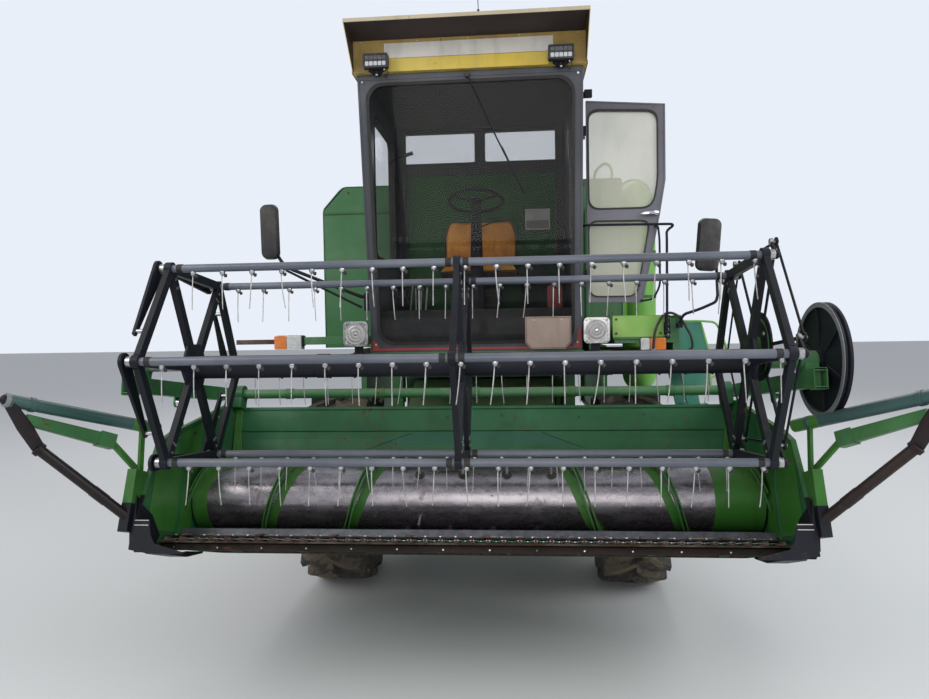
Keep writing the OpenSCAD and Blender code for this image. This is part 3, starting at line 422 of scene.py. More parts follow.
@dataclass
class Solid:
    """A growing mesh, whose faces each wear a finish.

    Attributes:
        points: arrays of points.
        faces: lists of point numbers.
        wear: the finish number of each face.
        finishes: the finishes in the order of their numbers.
        count: number of points so far.
        place: what the points are measured in.
    """
    place: Place = Place.AXLE
    points: list = field(default_factory=list)
    faces: list = field(default_factory=list)
    wear: list = field(default_factory=list)
    finishes: list = field(default_factory=list)
    count: int = 0

    def add(self, shape: Shape, finish: "Finish") -> "Solid":
        """Puts a shape in, wearing a finish, and returns the solid."""
        points, faces = shape
        if finish not in self.finishes:
            self.finishes.append(finish)
        number = self.finishes.index(finish)
        self.points.append(np.asarray(points, float))
        self.faces += [[i + self.count for i in f] for f in faces]
        self.wear += [number] * len(faces)
        self.count += len(points)
        return self

    def boxes(self, finish: "Finish", *corners: tuple) -> "Solid":
        """Puts in one box for each (x0, x1, y0, y1, z0, z1), and returns the solid."""
        for six in corners:
            self.add(block(*six), finish)
        return self

    def make(self, name: str, body: str, slot: "Slot", replaces: tuple = (), bevel: float = 0.0,
             smooth: float = 32.0, outwards: bool = True) -> bpy.types.Object:
        """Makes the Blender object, dresses it and rides it on its body.

        Args:
            name: piece name.
            body: the CAD body that carries it.
            slot: the record's material slot; not used.
            replaces: CAD nodes that it stands for.
            bevel: width of the bevel on sharp edges, in metres.
            smooth: edges flatter than this many degrees are shaded smooth.
            outwards: whether the face directions are worked out anew.
        Returns:
            The object.
        """
        mesh = bpy.data.meshes.new(name)
        mesh.from_pydata(self.place.stand(np.concatenate(self.points)), [], self.faces)
        for finish in self.finishes:
            mesh.materials.append(finish.material())
        mesh.polygons.foreach_set("material_index", np.array(self.wear, np.int32))
        mesh.polygons.foreach_set("use_smooth", np.ones(len(mesh.polygons), bool))
        if outwards:
            work = bmesh.new()
            work.from_mesh(mesh)
            bmesh.ops.recalc_face_normals(work, faces=work.faces)
            work.to_mesh(mesh)
            work.free()
        mesh.update()
        mesh.set_sharp_from_angle(angle=math.radians(smooth))
        piece = bpy.data.objects.new(name, mesh)
        bpy.context.scene.collection.objects.link(piece)
        if bevel:
            edge = piece.modifiers.new("edge", "BEVEL")
            edge.width, edge.segments, edge.limit_method = bevel, 2, "ANGLE"
            edge.angle_limit, edge.harden_normals = math.radians(40), False
        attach(piece, body)
        if replaces:
            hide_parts(*replaces)
        LOG.info("piece %s on %s, %d faces", name, body, len(mesh.polygons))
        return piece


# Finishes


class Wiring:
    """Lays out one material's nodes, with short calls for what the finishes share."""

    def __init__(self, name: str) -> None:
        """Starts a node material of that name."""
        self.made = bpy.data.materials.new(name)
        self.made.use_nodes = True
        self.tree = self.made.node_tree
        self.shader = self.tree.nodes["Principled BSDF"]
        self.place = self.add("ShaderNodeTexCoord").outputs["Object"]
        self.heights: list = []

    def add(self, kind: str, **settings: object) -> bpy.types.Node:
        """Adds a node of that kind with its settings."""
        node = self.tree.nodes.new(kind)
        for key, value in settings.items():
            setattr(node, key, value)
        return node

    def put(self, socket: bpy.types.NodeSocket, value: object) -> None:
        """Joins a socket to another, or sets it to a constant."""
        if isinstance(value, bpy.types.NodeSocket):
            self.tree.links.new(value, socket)
        elif isinstance(value, tuple) and len(value) == 3 and socket.type == "RGBA":
            socket.default_value = (*value, 1.0)
        else:
            socket.default_value = value

    def set(self, **values: object) -> None:
        """Sets the shader's sockets; underscores stand for spaces."""
        for key, value in values.items():
            self.put(self.shader.inputs[key.replace("_", " ")], value)

    def stretched(self, stretch: tuple) -> bpy.types.NodeSocket:
        """Object coordinates scaled by a factor along each axis."""
        if stretch == (1, 1, 1):
            return self.place
        mapping = self.add("ShaderNodeMapping")
        self.put(mapping.inputs["Vector"], self.place)
        mapping.inputs["Scale"].default_value = stretch
        return mapping.outputs["Vector"]

    def noise(self, scale: float, detail: float = 4.0, rough: float = 0.55, stretch: tuple = (1, 1, 1),
              warp: float = 0.0) -> bpy.types.NodeSocket:
        """Noise of about 0.3 to 0.7, in cells of 1/scale metres."""
        node = self.add("ShaderNodeTexNoise")
        self.put(node.inputs["Vector"], self.stretched(stretch))
        for key, value in (("Scale", scale), ("Detail", detail), ("Roughness", rough), ("Distortion", warp)):
            node.inputs[key].default_value = value
        return node.outputs["Fac"]

    def cells(self, scale: float, feature: str = "F1", stretch: tuple = (1, 1, 1)) -> bpy.types.NodeSocket:
        """Distance to the nearest point or edge of scattered cells."""
        node = self.add("ShaderNodeTexVoronoi", feature=feature)
        self.put(node.inputs["Vector"], self.stretched(stretch))
        node.inputs["Scale"].default_value = scale
        return node.outputs["Distance"]

    def along(self, axis: int) -> bpy.types.NodeSocket:
        """One of the object coordinates."""
        split = self.add("ShaderNodeSeparateXYZ")
        self.put(split.inputs[0], self.place)
        return split.outputs[axis]

    def facing_up(self) -> bpy.types.NodeSocket:
        """How far the surface faces upwards, -1 to 1."""
        split = self.add("ShaderNodeSeparateXYZ")
        self.put(split.inputs[0], self.add("ShaderNodeTexCoord").outputs["Normal"])
        return split.outputs[2]

    def step(self, value: object, low: float, high: float, to_low: float = 0.0,
             to_high: float = 1.0) -> bpy.types.NodeSocket:
        """A smooth step of value between low and high."""
        node = self.add("ShaderNodeMapRange", interpolation_type="SMOOTHSTEP")
        for key, item in zip(("Value", "From Min", "From Max", "To Min", "To Max"),
                             (value, low, high, to_low, to_high)):
            self.put(node.inputs[key], item)
        return node.outputs["Result"]

    def math(self, kind: str, a: object, b: object = 0.0) -> bpy.types.NodeSocket:
        """One arithmetic step."""
        node = self.add("ShaderNodeMath", operation=kind)
        self.put(node.inputs[0], a)
        self.put(node.inputs[1], b)
        return node.outputs[0]

    def mix(self, share: object, first: object, second: object) -> bpy.types.NodeSocket:
        """A colour between first and second."""
        node = self.add("ShaderNodeMix", data_type="RGBA")
        self.put(node.inputs["Factor"], share)
        self.put(node.inputs["A"], first)
        self.put(node.inputs["B"], second)
        return node.outputs["Result"]

    def blend(self, share: object, first: object, second: object) -> bpy.types.NodeSocket:
        """A number between first and second."""
        node = self.add("ShaderNodeMix", data_type="FLOAT")
        for key, item in zip(("Factor", "A", "B"), (share, first, second)):
            self.put(node.inputs[key], item)
        return node.outputs["Result"]

    def bump(self, height: bpy.types.NodeSocket, depth: float, strength: float = 1.0) -> None:
        """Adds a bump of that depth in metres on top of those before it."""
        node = self.add("ShaderNodeBump")
        node.inputs["Strength"].default_value = strength
        node.inputs["Distance"].default_value = depth
        self.put(node.inputs["Height"], height)
        if self.heights:
            self.put(node.inputs["Normal"], self.heights[-1])
        self.heights.append(node.outputs["Normal"])
        self.put(self.shader.inputs["Normal"], self.heights[-1])


MADE: dict = {}


@dataclass(frozen=True)
class Finish:
    """What every finish shares.

    Attributes:
        name: the finish's own name.
        colour: its main colour, linear.
        rough: its mean roughness.
    """
    name: str
    colour: tuple
    rough: float = 0.5

    def material(self) -> bpy.types.Material:
        """The material of this finish, made once."""
        if self.name not in MADE:
            wiring = Wiring(self.name)
            self.wire(wiring)
            MADE[self.name] = wiring.made
        return MADE[self.name]

    def wire(self, w: Wiring) -> None:
        """Lays out the nodes."""
        raise NotImplementedError


RUST = (0.13, 0.045, 0.016)
RUST_DARK = (0.045, 0.018, 0.01)
DUST = (0.23, 0.19, 0.13)
EARTH = (0.085, 0.062, 0.042)


@dataclass(frozen=True)
class OldPaint(Finish):
    """Sprayed farm paint with fading, rain streaks, chips of rust and settled dust.

    Attributes:
        faded: the colour where the sun has bleached it.
        rust: share of the surface that rusts.
        dust: strength of the dust on faces that look up.
        grime: strength of dark grease stains.
        low: height in metres under which mud reaches.
        coat: how much gloss is left.
        shine: strength of the reflections.
    """
    faded: tuple = (0.2, 0.2, 0.2)
    rust: float = 0.25
    dust: float = 0.5
    grime: float = 0.4
    low: float = 0.9
    coat: float = 0.15
    shine: float = 0.45

    def wire(self, w: Wiring) -> None:
        """Paint, then fading, stains, streaks, mud, dust and rust over it."""
        cloud = w.noise(1.1, 5, 0.6)
        fine = w.noise(38, 5, 0.7)
        colour = w.mix(w.step(cloud, 0.38, 0.66), self.colour, self.faded)
        shade = w.step(w.noise(6.5, 6, 0.62, warp=0.4), 0.42, 0.68)
        colour = w.mix(w.math("MULTIPLY", shade, 0.35 * self.grime), colour,
                       tuple(c * 0.42 for c in self.colour))
        streak = w.step(w.noise(9, 6, 0.7, (1, 1, 0.1)), 0.5, 0.7)
        colour = w.mix(w.math("MULTIPLY", streak, 0.3 * self.grime), colour, (0.03, 0.024, 0.018))
        mud = w.math("MULTIPLY", w.step(w.along(2), self.low, self.low - 0.55), w.step(fine, 0.36, 0.6))
        colour = w.mix(w.math("MULTIPLY", mud, 0.75), colour, EARTH)
        settled = w.math("MULTIPLY", w.step(w.facing_up(), 0.35, 0.95), w.step(w.noise(4, 6, 0.7), 0.3, 0.62))
        colour = w.mix(w.math("MULTIPLY", settled, self.dust), colour, DUST)
        flake = w.noise(23, 8, 0.74, warp=0.25)
        patch = w.noise(2.3, 3, 0.5)
        limit = 0.7 - 0.1 * self.rust
        chip = w.step(w.math("ADD", w.math("MULTIPLY", flake, 0.72), w.math("MULTIPLY", patch, 0.34)),
                      limit, limit + 0.022)
        halo = w.step(w.math("ADD", w.math("MULTIPLY", flake, 0.72), w.math("MULTIPLY", patch, 0.34)),
                      limit - 0.05, limit + 0.02)
        colour = w.mix(w.math("MULTIPLY", halo, 0.42), colour, RUST)
        colour = w.mix(chip, colour, w.mix(w.step(fine, 0.4, 0.6), RUST_DARK, RUST))
        rough = w.blend(cloud, self.rough - 0.08, self.rough + 0.14)
        rough = w.blend(w.math("MAXIMUM", chip, w.math("MULTIPLY", settled, self.dust)), rough, 0.86)
        w.set(Base_Color=colour, Roughness=rough, Coat_Weight=self.coat, Coat_Roughness=0.28,
              Specular_IOR_Level=self.shine)
        w.bump(w.noise(3.2, 3, 0.5), 0.004, 0.35)
        w.bump(w.math("SUBTRACT", w.math("MULTIPLY", fine, 0.5), chip), 0.0006, 0.5)


@dataclass(frozen=True)
class BareSteel(Finish):
    """Steel rubbed bright, with dark smears and rust where nothing rubs.

    Attributes:
        smear: colour of the smears.
        cover: share that the smears cover.
        brushed: how the scratches stretch along each axis.
        dents: depth of the dents in metres.
        rust: share of rust.
        metal: how metallic the bare steel is.
    """
    smear: tuple = (0.08, 0.06, 0.05)
    cover: float = 0.5
    brushed: tuple = (1, 1, 1)
    dents: float = 0.0
    rust: float = 0.2
    metal: float = 0.9

    def wire(self, w: Wiring) -> None:
        """Metal, then scratches, smears and rust."""
        scratch = w.noise(26, 6, 0.75, self.brushed)
        cloud = w.noise(5.5, 6, 0.66, warp=0.6)
        stain = w.step(cloud, 0.62 - 0.25 * self.cover, 0.74 - 0.18 * self.cover)
        bright = w.mix(w.step(scratch, 0.35, 0.65), tuple(c * 0.62 for c in self.colour), self.colour)
        colour = w.mix(w.math("MULTIPLY", stain, 0.82), bright, self.smear)
        flake = w.step(w.noise(17, 8, 0.72, warp=0.3), 0.66 - 0.16 * self.rust, 0.7 - 0.1 * self.rust)
        colour = w.mix(w.math("MULTIPLY", flake, 0.85), colour, w.mix(w.noise(55, 3), RUST_DARK, RUST))
        rough = w.blend(stain, w.blend(scratch, self.rough - 0.1, self.rough + 0.16), self.rough + 0.22)
        w.set(Base_Color=colour, Roughness=w.blend(flake, rough, 0.88),
              Metallic=w.blend(w.math("MAXIMUM", w.math("MULTIPLY", stain, 0.35), flake), self.metal, 0.15))
        if self.dents:
            w.bump(w.noise(3.4, 2, 0.4), self.dents, 0.6)
        w.bump(scratch, 0.0005, 0.35)


@dataclass(frozen=True)
class Rubber(Finish):
    """Tyre rubber, greyed, with earth in the tread and on the walls."""
    mud: float = 0.7

    def wire(self, w: Wiring) -> None:
        """Dark rubber under caked earth."""
        cloud = w.noise(5, 6, 0.65, warp=0.5)
        caked = w.step(w.math("ADD", cloud, w.math("MULTIPLY", w.noise(40, 5, 0.7), 0.25)), 0.54, 0.68)
        aged = w.mix(w.noise(11, 5), self.colour, tuple(c * 2.1 for c in self.colour))
        colour = w.mix(w.math("MULTIPLY", caked, self.mud), aged, w.mix(w.noise(30, 4), EARTH, DUST))
        w.set(Base_Color=colour, Roughness=w.blend(caked, self.rough, 0.95))
        w.bump(w.noise(90, 4, 0.7), 0.0012, 0.6)
        w.bump(caked, 0.004, 0.5)


@dataclass(frozen=True)
class Moulded(Finish):
    """Moulded plastic or rubber strip with a fine grain and dust."""
    dust: float = 0.25
    grain: float = 260.0

    def wire(self, w: Wiring) -> None:
        """Grained plastic, greyed by dust."""
        film = w.step(w.noise(7, 6, 0.7), 0.42, 0.7)
        colour = w.mix(w.math("MULTIPLY", film, self.dust), self.colour, DUST)
        w.set(Base_Color=colour, Roughness=w.blend(film, self.rough, min(1.0, self.rough + 0.25)))
        w.bump(w.noise(self.grain, 3, 0.6), 0.0004, 0.5)


@dataclass(frozen=True)
class Pane(Finish):
    """Window glass with a film of dust.

    Attributes:
        see: how much of the colour covers what lies behind.
        film: strength of the dust film.
    """
    see: float = 0.3
    film: float = 0.2

    def wire(self, w: Wiring) -> None:
        """Clear glass; the dust film raises its cover."""
        dust = w.step(w.noise(3.0, 6, 0.7, (1, 1, 0.5)), 0.38, 0.72)
        w.set(Base_Color=w.mix(w.math("MULTIPLY", dust, self.film), self.colour, (0.3, 0.3, 0.28)),
              Roughness=self.rough, Alpha=w.blend(dust, self.see, min(1.0, self.see + 0.5 * self.film)),
              IOR=1.45, Specular_IOR_Level=0.4)
        w.bump(w.noise(1.6, 2, 0.5), 0.001, 0.15)
        w.made.surface_render_method = "BLENDED"


@dataclass(frozen=True)
class Lens(Finish):
    """Ribbed lamp lens over its mirror."""

    def wire(self, w: Wiring) -> None:
        """Coloured clear plastic with fine ribs."""
        dirt = w.step(w.noise(30, 5, 0.7), 0.48, 0.7)
        w.set(Base_Color=w.mix(w.math("MULTIPLY", dirt, 0.4), self.colour, DUST), Roughness=self.rough,
              Coat_Weight=0.8, Coat_Roughness=0.08, Specular_IOR_Level=0.7)
        w.bump(w.cells(120), 0.001, 0.6)


@dataclass(frozen=True)
class Vinyl(Finish):
    """Worn seat vinyl: fine leather grain, rubbed darker in random patches, with dark cracks."""
    worn: tuple = (0.3, 0.15, 0.05)

    def wire(self, w: Wiring) -> None:
        """Grain, wear, dark grease and cracks."""
        wear = w.step(w.noise(9, 6, 0.65, warp=0.4), 0.44, 0.66)
        colour = w.mix(wear, self.colour, self.worn)
        crack = w.step(w.cells(34, "DISTANCE_TO_EDGE"), 0.035, 0.0)
        crack = w.math("MULTIPLY", crack, w.step(w.noise(6, 3), 0.52, 0.62))
        colour = w.mix(w.math("MULTIPLY", crack, 0.8), colour, (0.05, 0.025, 0.015))
        w.set(Base_Color=colour, Roughness=w.blend(wear, self.rough, self.rough + 0.2), Sheen_Weight=0.08)
        w.bump(w.cells(420), 0.0008, 0.5)
        w.bump(crack, 0.001, 0.4)


# Palette


GREEN = OldPaint("green_paint", (0.028, 0.15, 0.04), 0.44, faded=(0.08, 0.2, 0.085), rust=0.35, dust=0.55)
GREEN_HEADER = OldPaint("header_green", (0.014, 0.102, 0.032), 0.42, faded=(0.028, 0.138, 0.054), rust=0.55,
                        dust=0.42, grime=0.8, low=0.5, coat=0.05, shine=0.35)
GREEN_FLIGHT = OldPaint("flight_green", (0.034, 0.145, 0.02), 0.36, faded=(0.072, 0.205, 0.045), rust=0.45,
                        dust=0.12, grime=0.5, low=0.3, coat=0.05, shine=0.3)
TEAL_PANEL = OldPaint("mouth_panel", (0.014, 0.1, 0.048), 0.4, faded=(0.028, 0.13, 0.072), rust=0.35,
                      dust=0.3, grime=0.6, low=0.4, coat=0.05, shine=0.35)
GREEN_WORN = OldPaint("worn_green", (0.028, 0.13, 0.034), 0.4, faded=(0.065, 0.185, 0.065), rust=0.6,
                      dust=0.35, grime=0.7, low=0.4, coat=0.05, shine=0.35)
STEEL_BLUE = OldPaint("divider_paint", (0.02, 0.075, 0.062), 0.36, faded=(0.06, 0.11, 0.115), rust=0.35,
                      dust=0.35, coat=0.1, shine=0.4)
SHOE = OldPaint("folded_shoe", (0.01, 0.006, 0.008), 0.5, faded=(0.022, 0.011, 0.012), rust=0.4, dust=0.1,
                coat=0.0, shine=0.25)
PIPE_BROWN = OldPaint("lower_pipe", (0.01, 0.006, 0.006), 0.42, faded=(0.034, 0.02, 0.016), rust=0.6,
                      dust=0.06, coat=0.0, shine=0.3)
# Near-black rust brown: the lip's own dark rust, and also a painted shadow on the plate over a beam's front
# face.
RUST_BROWN_AND_SHADE = OldPaint("rust_brown", (0.011, 0.007, 0.006), 0.6, faded=(0.022, 0.013, 0.01), rust=0.5,
                      dust=0.06, coat=0.0, shine=0.3)
STRAW = Moulded("straw", (0.43, 0.33, 0.16), 0.8, dust=0.2)
LIME = OldPaint("lime_paint", (0.14, 0.4, 0.05), 0.42, faded=(0.3, 0.5, 0.12), rust=0.2, dust=0.3)
TEAL = OldPaint("ladder_paint", (0.02, 0.18, 0.11), 0.45, faded=(0.06, 0.24, 0.16), rust=0.45, dust=0.5)
BLACK = OldPaint("black_paint", (0.006, 0.007, 0.011), 0.42, faded=(0.012, 0.014, 0.022), rust=0.2, dust=0.14,
                 grime=0.2, low=0.5, coat=0.0, shine=0.22)
GREY = OldPaint("grey_paint", (0.05, 0.054, 0.064), 0.42, faded=(0.095, 0.1, 0.114), rust=0.15, dust=0.3,
                grime=0.4, coat=0.1, shine=0.35)
BAT = OldPaint("bat_paint", (0.085, 0.098, 0.128), 0.33, faded=(0.15, 0.165, 0.2), rust=0.16, dust=0.35,
               grime=0.35, low=0.4, coat=0.3)
YELLOW = OldPaint("yellow_paint", (0.56, 0.37, 0.045), 0.42, faded=(0.64, 0.48, 0.13), rust=0.12, dust=0.2,
                  grime=0.5)
# The fascia's yellow darkened to mustard: painted shade under the visor, with random stains over it; its low
# of 3.6 m lays the earth colour over the fascia, stronger towards its lower edge.
FASCIA_PAINTED_SHADE = OldPaint("mustard_panel", (0.33, 0.205, 0.035), 0.5, faded=(0.42, 0.29, 0.08), rust=0.3, dust=0.3,
                   grime=0.9, low=3.6)
BAND = OldPaint("bright_band", (0.64, 0.45, 0.04), 0.4, faded=(0.66, 0.5, 0.1), rust=0.06, dust=0.15,
                grime=0.5)
CREAM = OldPaint("visor_edge", (0.4, 0.33, 0.21), 0.45, faded=(0.48, 0.41, 0.28), rust=0.15, dust=0.2)
# A darker copy of the body green for the cab's back wall: painted shade inside the cab.
CAB_WALL_PAINTED_SHADE = OldPaint("inner_green", (0.018, 0.08, 0.016), 0.6, faded=(0.028, 0.108, 0.024), rust=0.15,
                      dust=0.2, coat=0.0, shine=0.2)
RED = OldPaint("red_trim", (0.33, 0.03, 0.024), 0.4, faded=(0.38, 0.07, 0.05), rust=0.2, dust=0.2)
# Near-black brown on the visor's underside and the returns' inner faces: painted shade under the yellow roof.
VISOR_PAINTED_SHADE = OldPaint("visor_paint", (0.026, 0.018, 0.019), 0.55, faded=(0.05, 0.038, 0.038), rust=0.3, dust=0.1,
                 coat=0.0, shine=0.3)
DOOR_GREY = OldPaint("door_grey", (0.105, 0.1, 0.118), 0.42, faded=(0.165, 0.16, 0.185), rust=0.15, dust=0.2,
                     grime=0.3, coat=0.1, shine=0.35)
PALE = OldPaint("rim_paint", (0.3, 0.3, 0.27), 0.5, faded=(0.4, 0.39, 0.34), rust=0.7, dust=0.5, low=1.2)
PALE_RIM = OldPaint("pulley_rim", (0.15, 0.155, 0.16), 0.45, faded=(0.24, 0.245, 0.25), rust=0.35, dust=0.4)
PLATE = OldPaint("plate_white", (0.27, 0.195, 0.15), 0.5, faded=(0.35, 0.265, 0.215), rust=0.3, dust=0.2)
SIGN = OldPaint("sign_white", (0.6, 0.56, 0.5), 0.4, faded=(0.68, 0.64, 0.58), rust=0.05, dust=0.1,
                grime=0.6)
DRUM = BareSteel("drum_steel", (0.42, 0.385, 0.41), 0.24, smear=(0.13, 0.105, 0.105), cover=0.12,
                 brushed=(0.35, 0.8, 0.8), dents=0.003, rust=0.1)
WORN = BareSteel("worn_steel", (0.46, 0.45, 0.45), 0.34, cover=0.45, rust=0.45)
KNIFE = BareSteel("knife_steel", (0.66, 0.66, 0.67), 0.24, cover=0.25, rust=0.25)
# Near-black steel for the trough's pan: painted shadow under the auger drum.
PAN_PAINTED_SHADE = BareSteel("pan_steel", (0.035, 0.03, 0.032), 0.42, smear=(0.012, 0.01, 0.01), cover=0.6, rust=0.2,
                      metal=0.3)
STRIP_STEEL = BareSteel("strip_steel", (0.15, 0.155, 0.175), 0.38, smear=(0.06, 0.052, 0.048), cover=0.3,
                        rust=0.2, metal=0.6)
BEZEL = BareSteel("lamp_bezel", (0.56, 0.55, 0.55), 0.18, smear=(0.16, 0.16, 0.15), cover=0.2, rust=0.03)
RUSTY = BareSteel("rusty_steel", (0.16, 0.12, 0.1), 0.6, smear=(0.06, 0.03, 0.018), cover=0.9, rust=0.85,
                  metal=0.4)
CHROME = BareSteel("chrome_steel", (0.8, 0.8, 0.82), 0.1, cover=0.05, rust=0.02, metal=1.0)
TINE = BareSteel("tine_steel", (0.56, 0.55, 0.54), 0.3, smear=(0.3, 0.27, 0.24), cover=0.2, rust=0.02,
                 metal=0.55)
CLAMP = BareSteel("clamp_steel", (0.6, 0.6, 0.61), 0.28, cover=0.3, rust=0.1)
TYRE = Rubber("tyre", (0.02, 0.019, 0.018), 0.78, mud=0.72)
BLACK_PLASTIC = Moulded("black_plastic", (0.016, 0.016, 0.018), 0.5)
SEAL = Moulded("rubber_seal", (0.01, 0.01, 0.011), 0.62, dust=0.15)
LINING = Moulded("cab_lining", (0.03, 0.031, 0.032), 0.8, dust=0.2, grain=90.0)
PLACARD = Moulded("placard_white", (0.56, 0.56, 0.54), 0.6, dust=0.5)
PLACARD_GREY = Moulded("placard_grey", (0.23, 0.235, 0.22), 0.6, dust=0.5)
HOSE = Moulded("hydraulic_hose", (0.012, 0.012, 0.013), 0.55, dust=0.3)
BELT = Moulded("drive_belt", (0.03, 0.026, 0.023), 0.75, dust=0.5, grain=60.0)
SCREEN_GLASS = Pane("windscreen_glass", (0.008, 0.009, 0.01), 0.03, see=0.22, film=0.03)
SIDE_GLASS = Pane("side_glass", (0.45, 0.47, 0.47), 0.05, see=0.08, film=0.05)
# Pale cream half cover on the door panes: painted reflection of the bright sky, with a dust film over it.
DOOR_PANE_PAINTED_REFLECTION = Pane("door_glass", (0.58, 0.57, 0.46), 0.07, see=0.5, film=0.25)
LAMP_GLASS = Lens("head_lens", (0.38, 0.37, 0.36), 0.1)
MIRROR = Pane("mirror_glass", (0.6, 0.62, 0.64), 0.03, see=1.0, film=0.2)
AMBER = Lens("amber_lens", (0.75, 0.2, 0.015), 0.22)
CLEAR = Lens("clear_lens", (0.62, 0.63, 0.62), 0.14)
RED_LENS = Lens("red_lens", (0.42, 0.015, 0.01), 0.2)
LED = Lens("led_lens", (0.5, 0.52, 0.55), 0.18)
# Near-black copy of the lamp lens for the work lamps' upper row: painted shade under the visor.
LED_LENS_PAINTED_SHADE = Lens("led_dark", (0.055, 0.058, 0.062), 0.2)
PIPING = Moulded("seat_piping", (0.06, 0.024, 0.01), 0.6)
VINYL = Vinyl("seat_vinyl", (0.72, 0.29, 0.018), 0.48, worn=(0.54, 0.205, 0.022))


class Slot(Enum):
    """The record's material slots."""
    GREEN = "green_paint"
    BLACK = "black_paint"
    GREY = "grey_paint"
    BAT = "bat_paint"
    YELLOW = "yellow_paint"
    WORN = "worn_steel"
    RUSTY = "rusty_steel"
    CHROME = "chrome_steel"
    TYRE = "tyre"
    GLASS = "glass"
    VINYL = "seat_vinyl"
    PLASTIC = "black_plastic"
    LAMP = "lamp_plastic"


NODE_FINISH = {
    GREEN: "chassis_frame front_axle threshing_body cleaning_shoe straw_hood grain_tank tank_lid "
           "engine_cover platform side_shields grain_elevator rear_axle knuckle_left knuckle_right "
           "feeder_house reel_arms",
    GREEN_HEADER: "header_body",
    TEAL: "ladder",
    LIME: "auger_turret unloading_auger",
    GREEN_FLIGHT: "auger_flights",
    BLACK: "engine_stacks handrails lift_barrels crop_dividers reel_lift_barrels reel_rotor "
           "control_star seat_base",
    GREY: "cab_frame cab_door tie_rod engine_block",
    BAT: "bat_1 bat_2 bat_3 bat_4 bat_5 bat_6",
    YELLOW: "cab_roof",
    DRUM: "auger_tube",
    TINE: "control_levers",
    KNIFE: "knife",
    RUSTY: "cutter_bar",
    CHROME: "lift_rods reel_lift_rods headlamps",
    TYRE: "front_wheel_left front_wheel_right rear_wheel_left rear_wheel_right",
    SCREEN_GLASS: "windscreen",
    SIDE_GLASS: "cab_windows",
    DOOR_PANE_PAINTED_REFLECTION: "door_glass",
    VINYL: "seat_cushion",
    BLACK_PLASTIC: "work_lamps mirrors steering_column",
    AMBER: "indicator_arms",
}


def dress_nodes() -> None:
    """Gives each CAD node its finish through its object's material slots."""
    for finish, names in NODE_FINISH.items():
        for name in names.split():
            mesh = frame["nodes"][name].data
            mesh.materials.clear()
            mesh.materials.append(finish.material())


# Reel


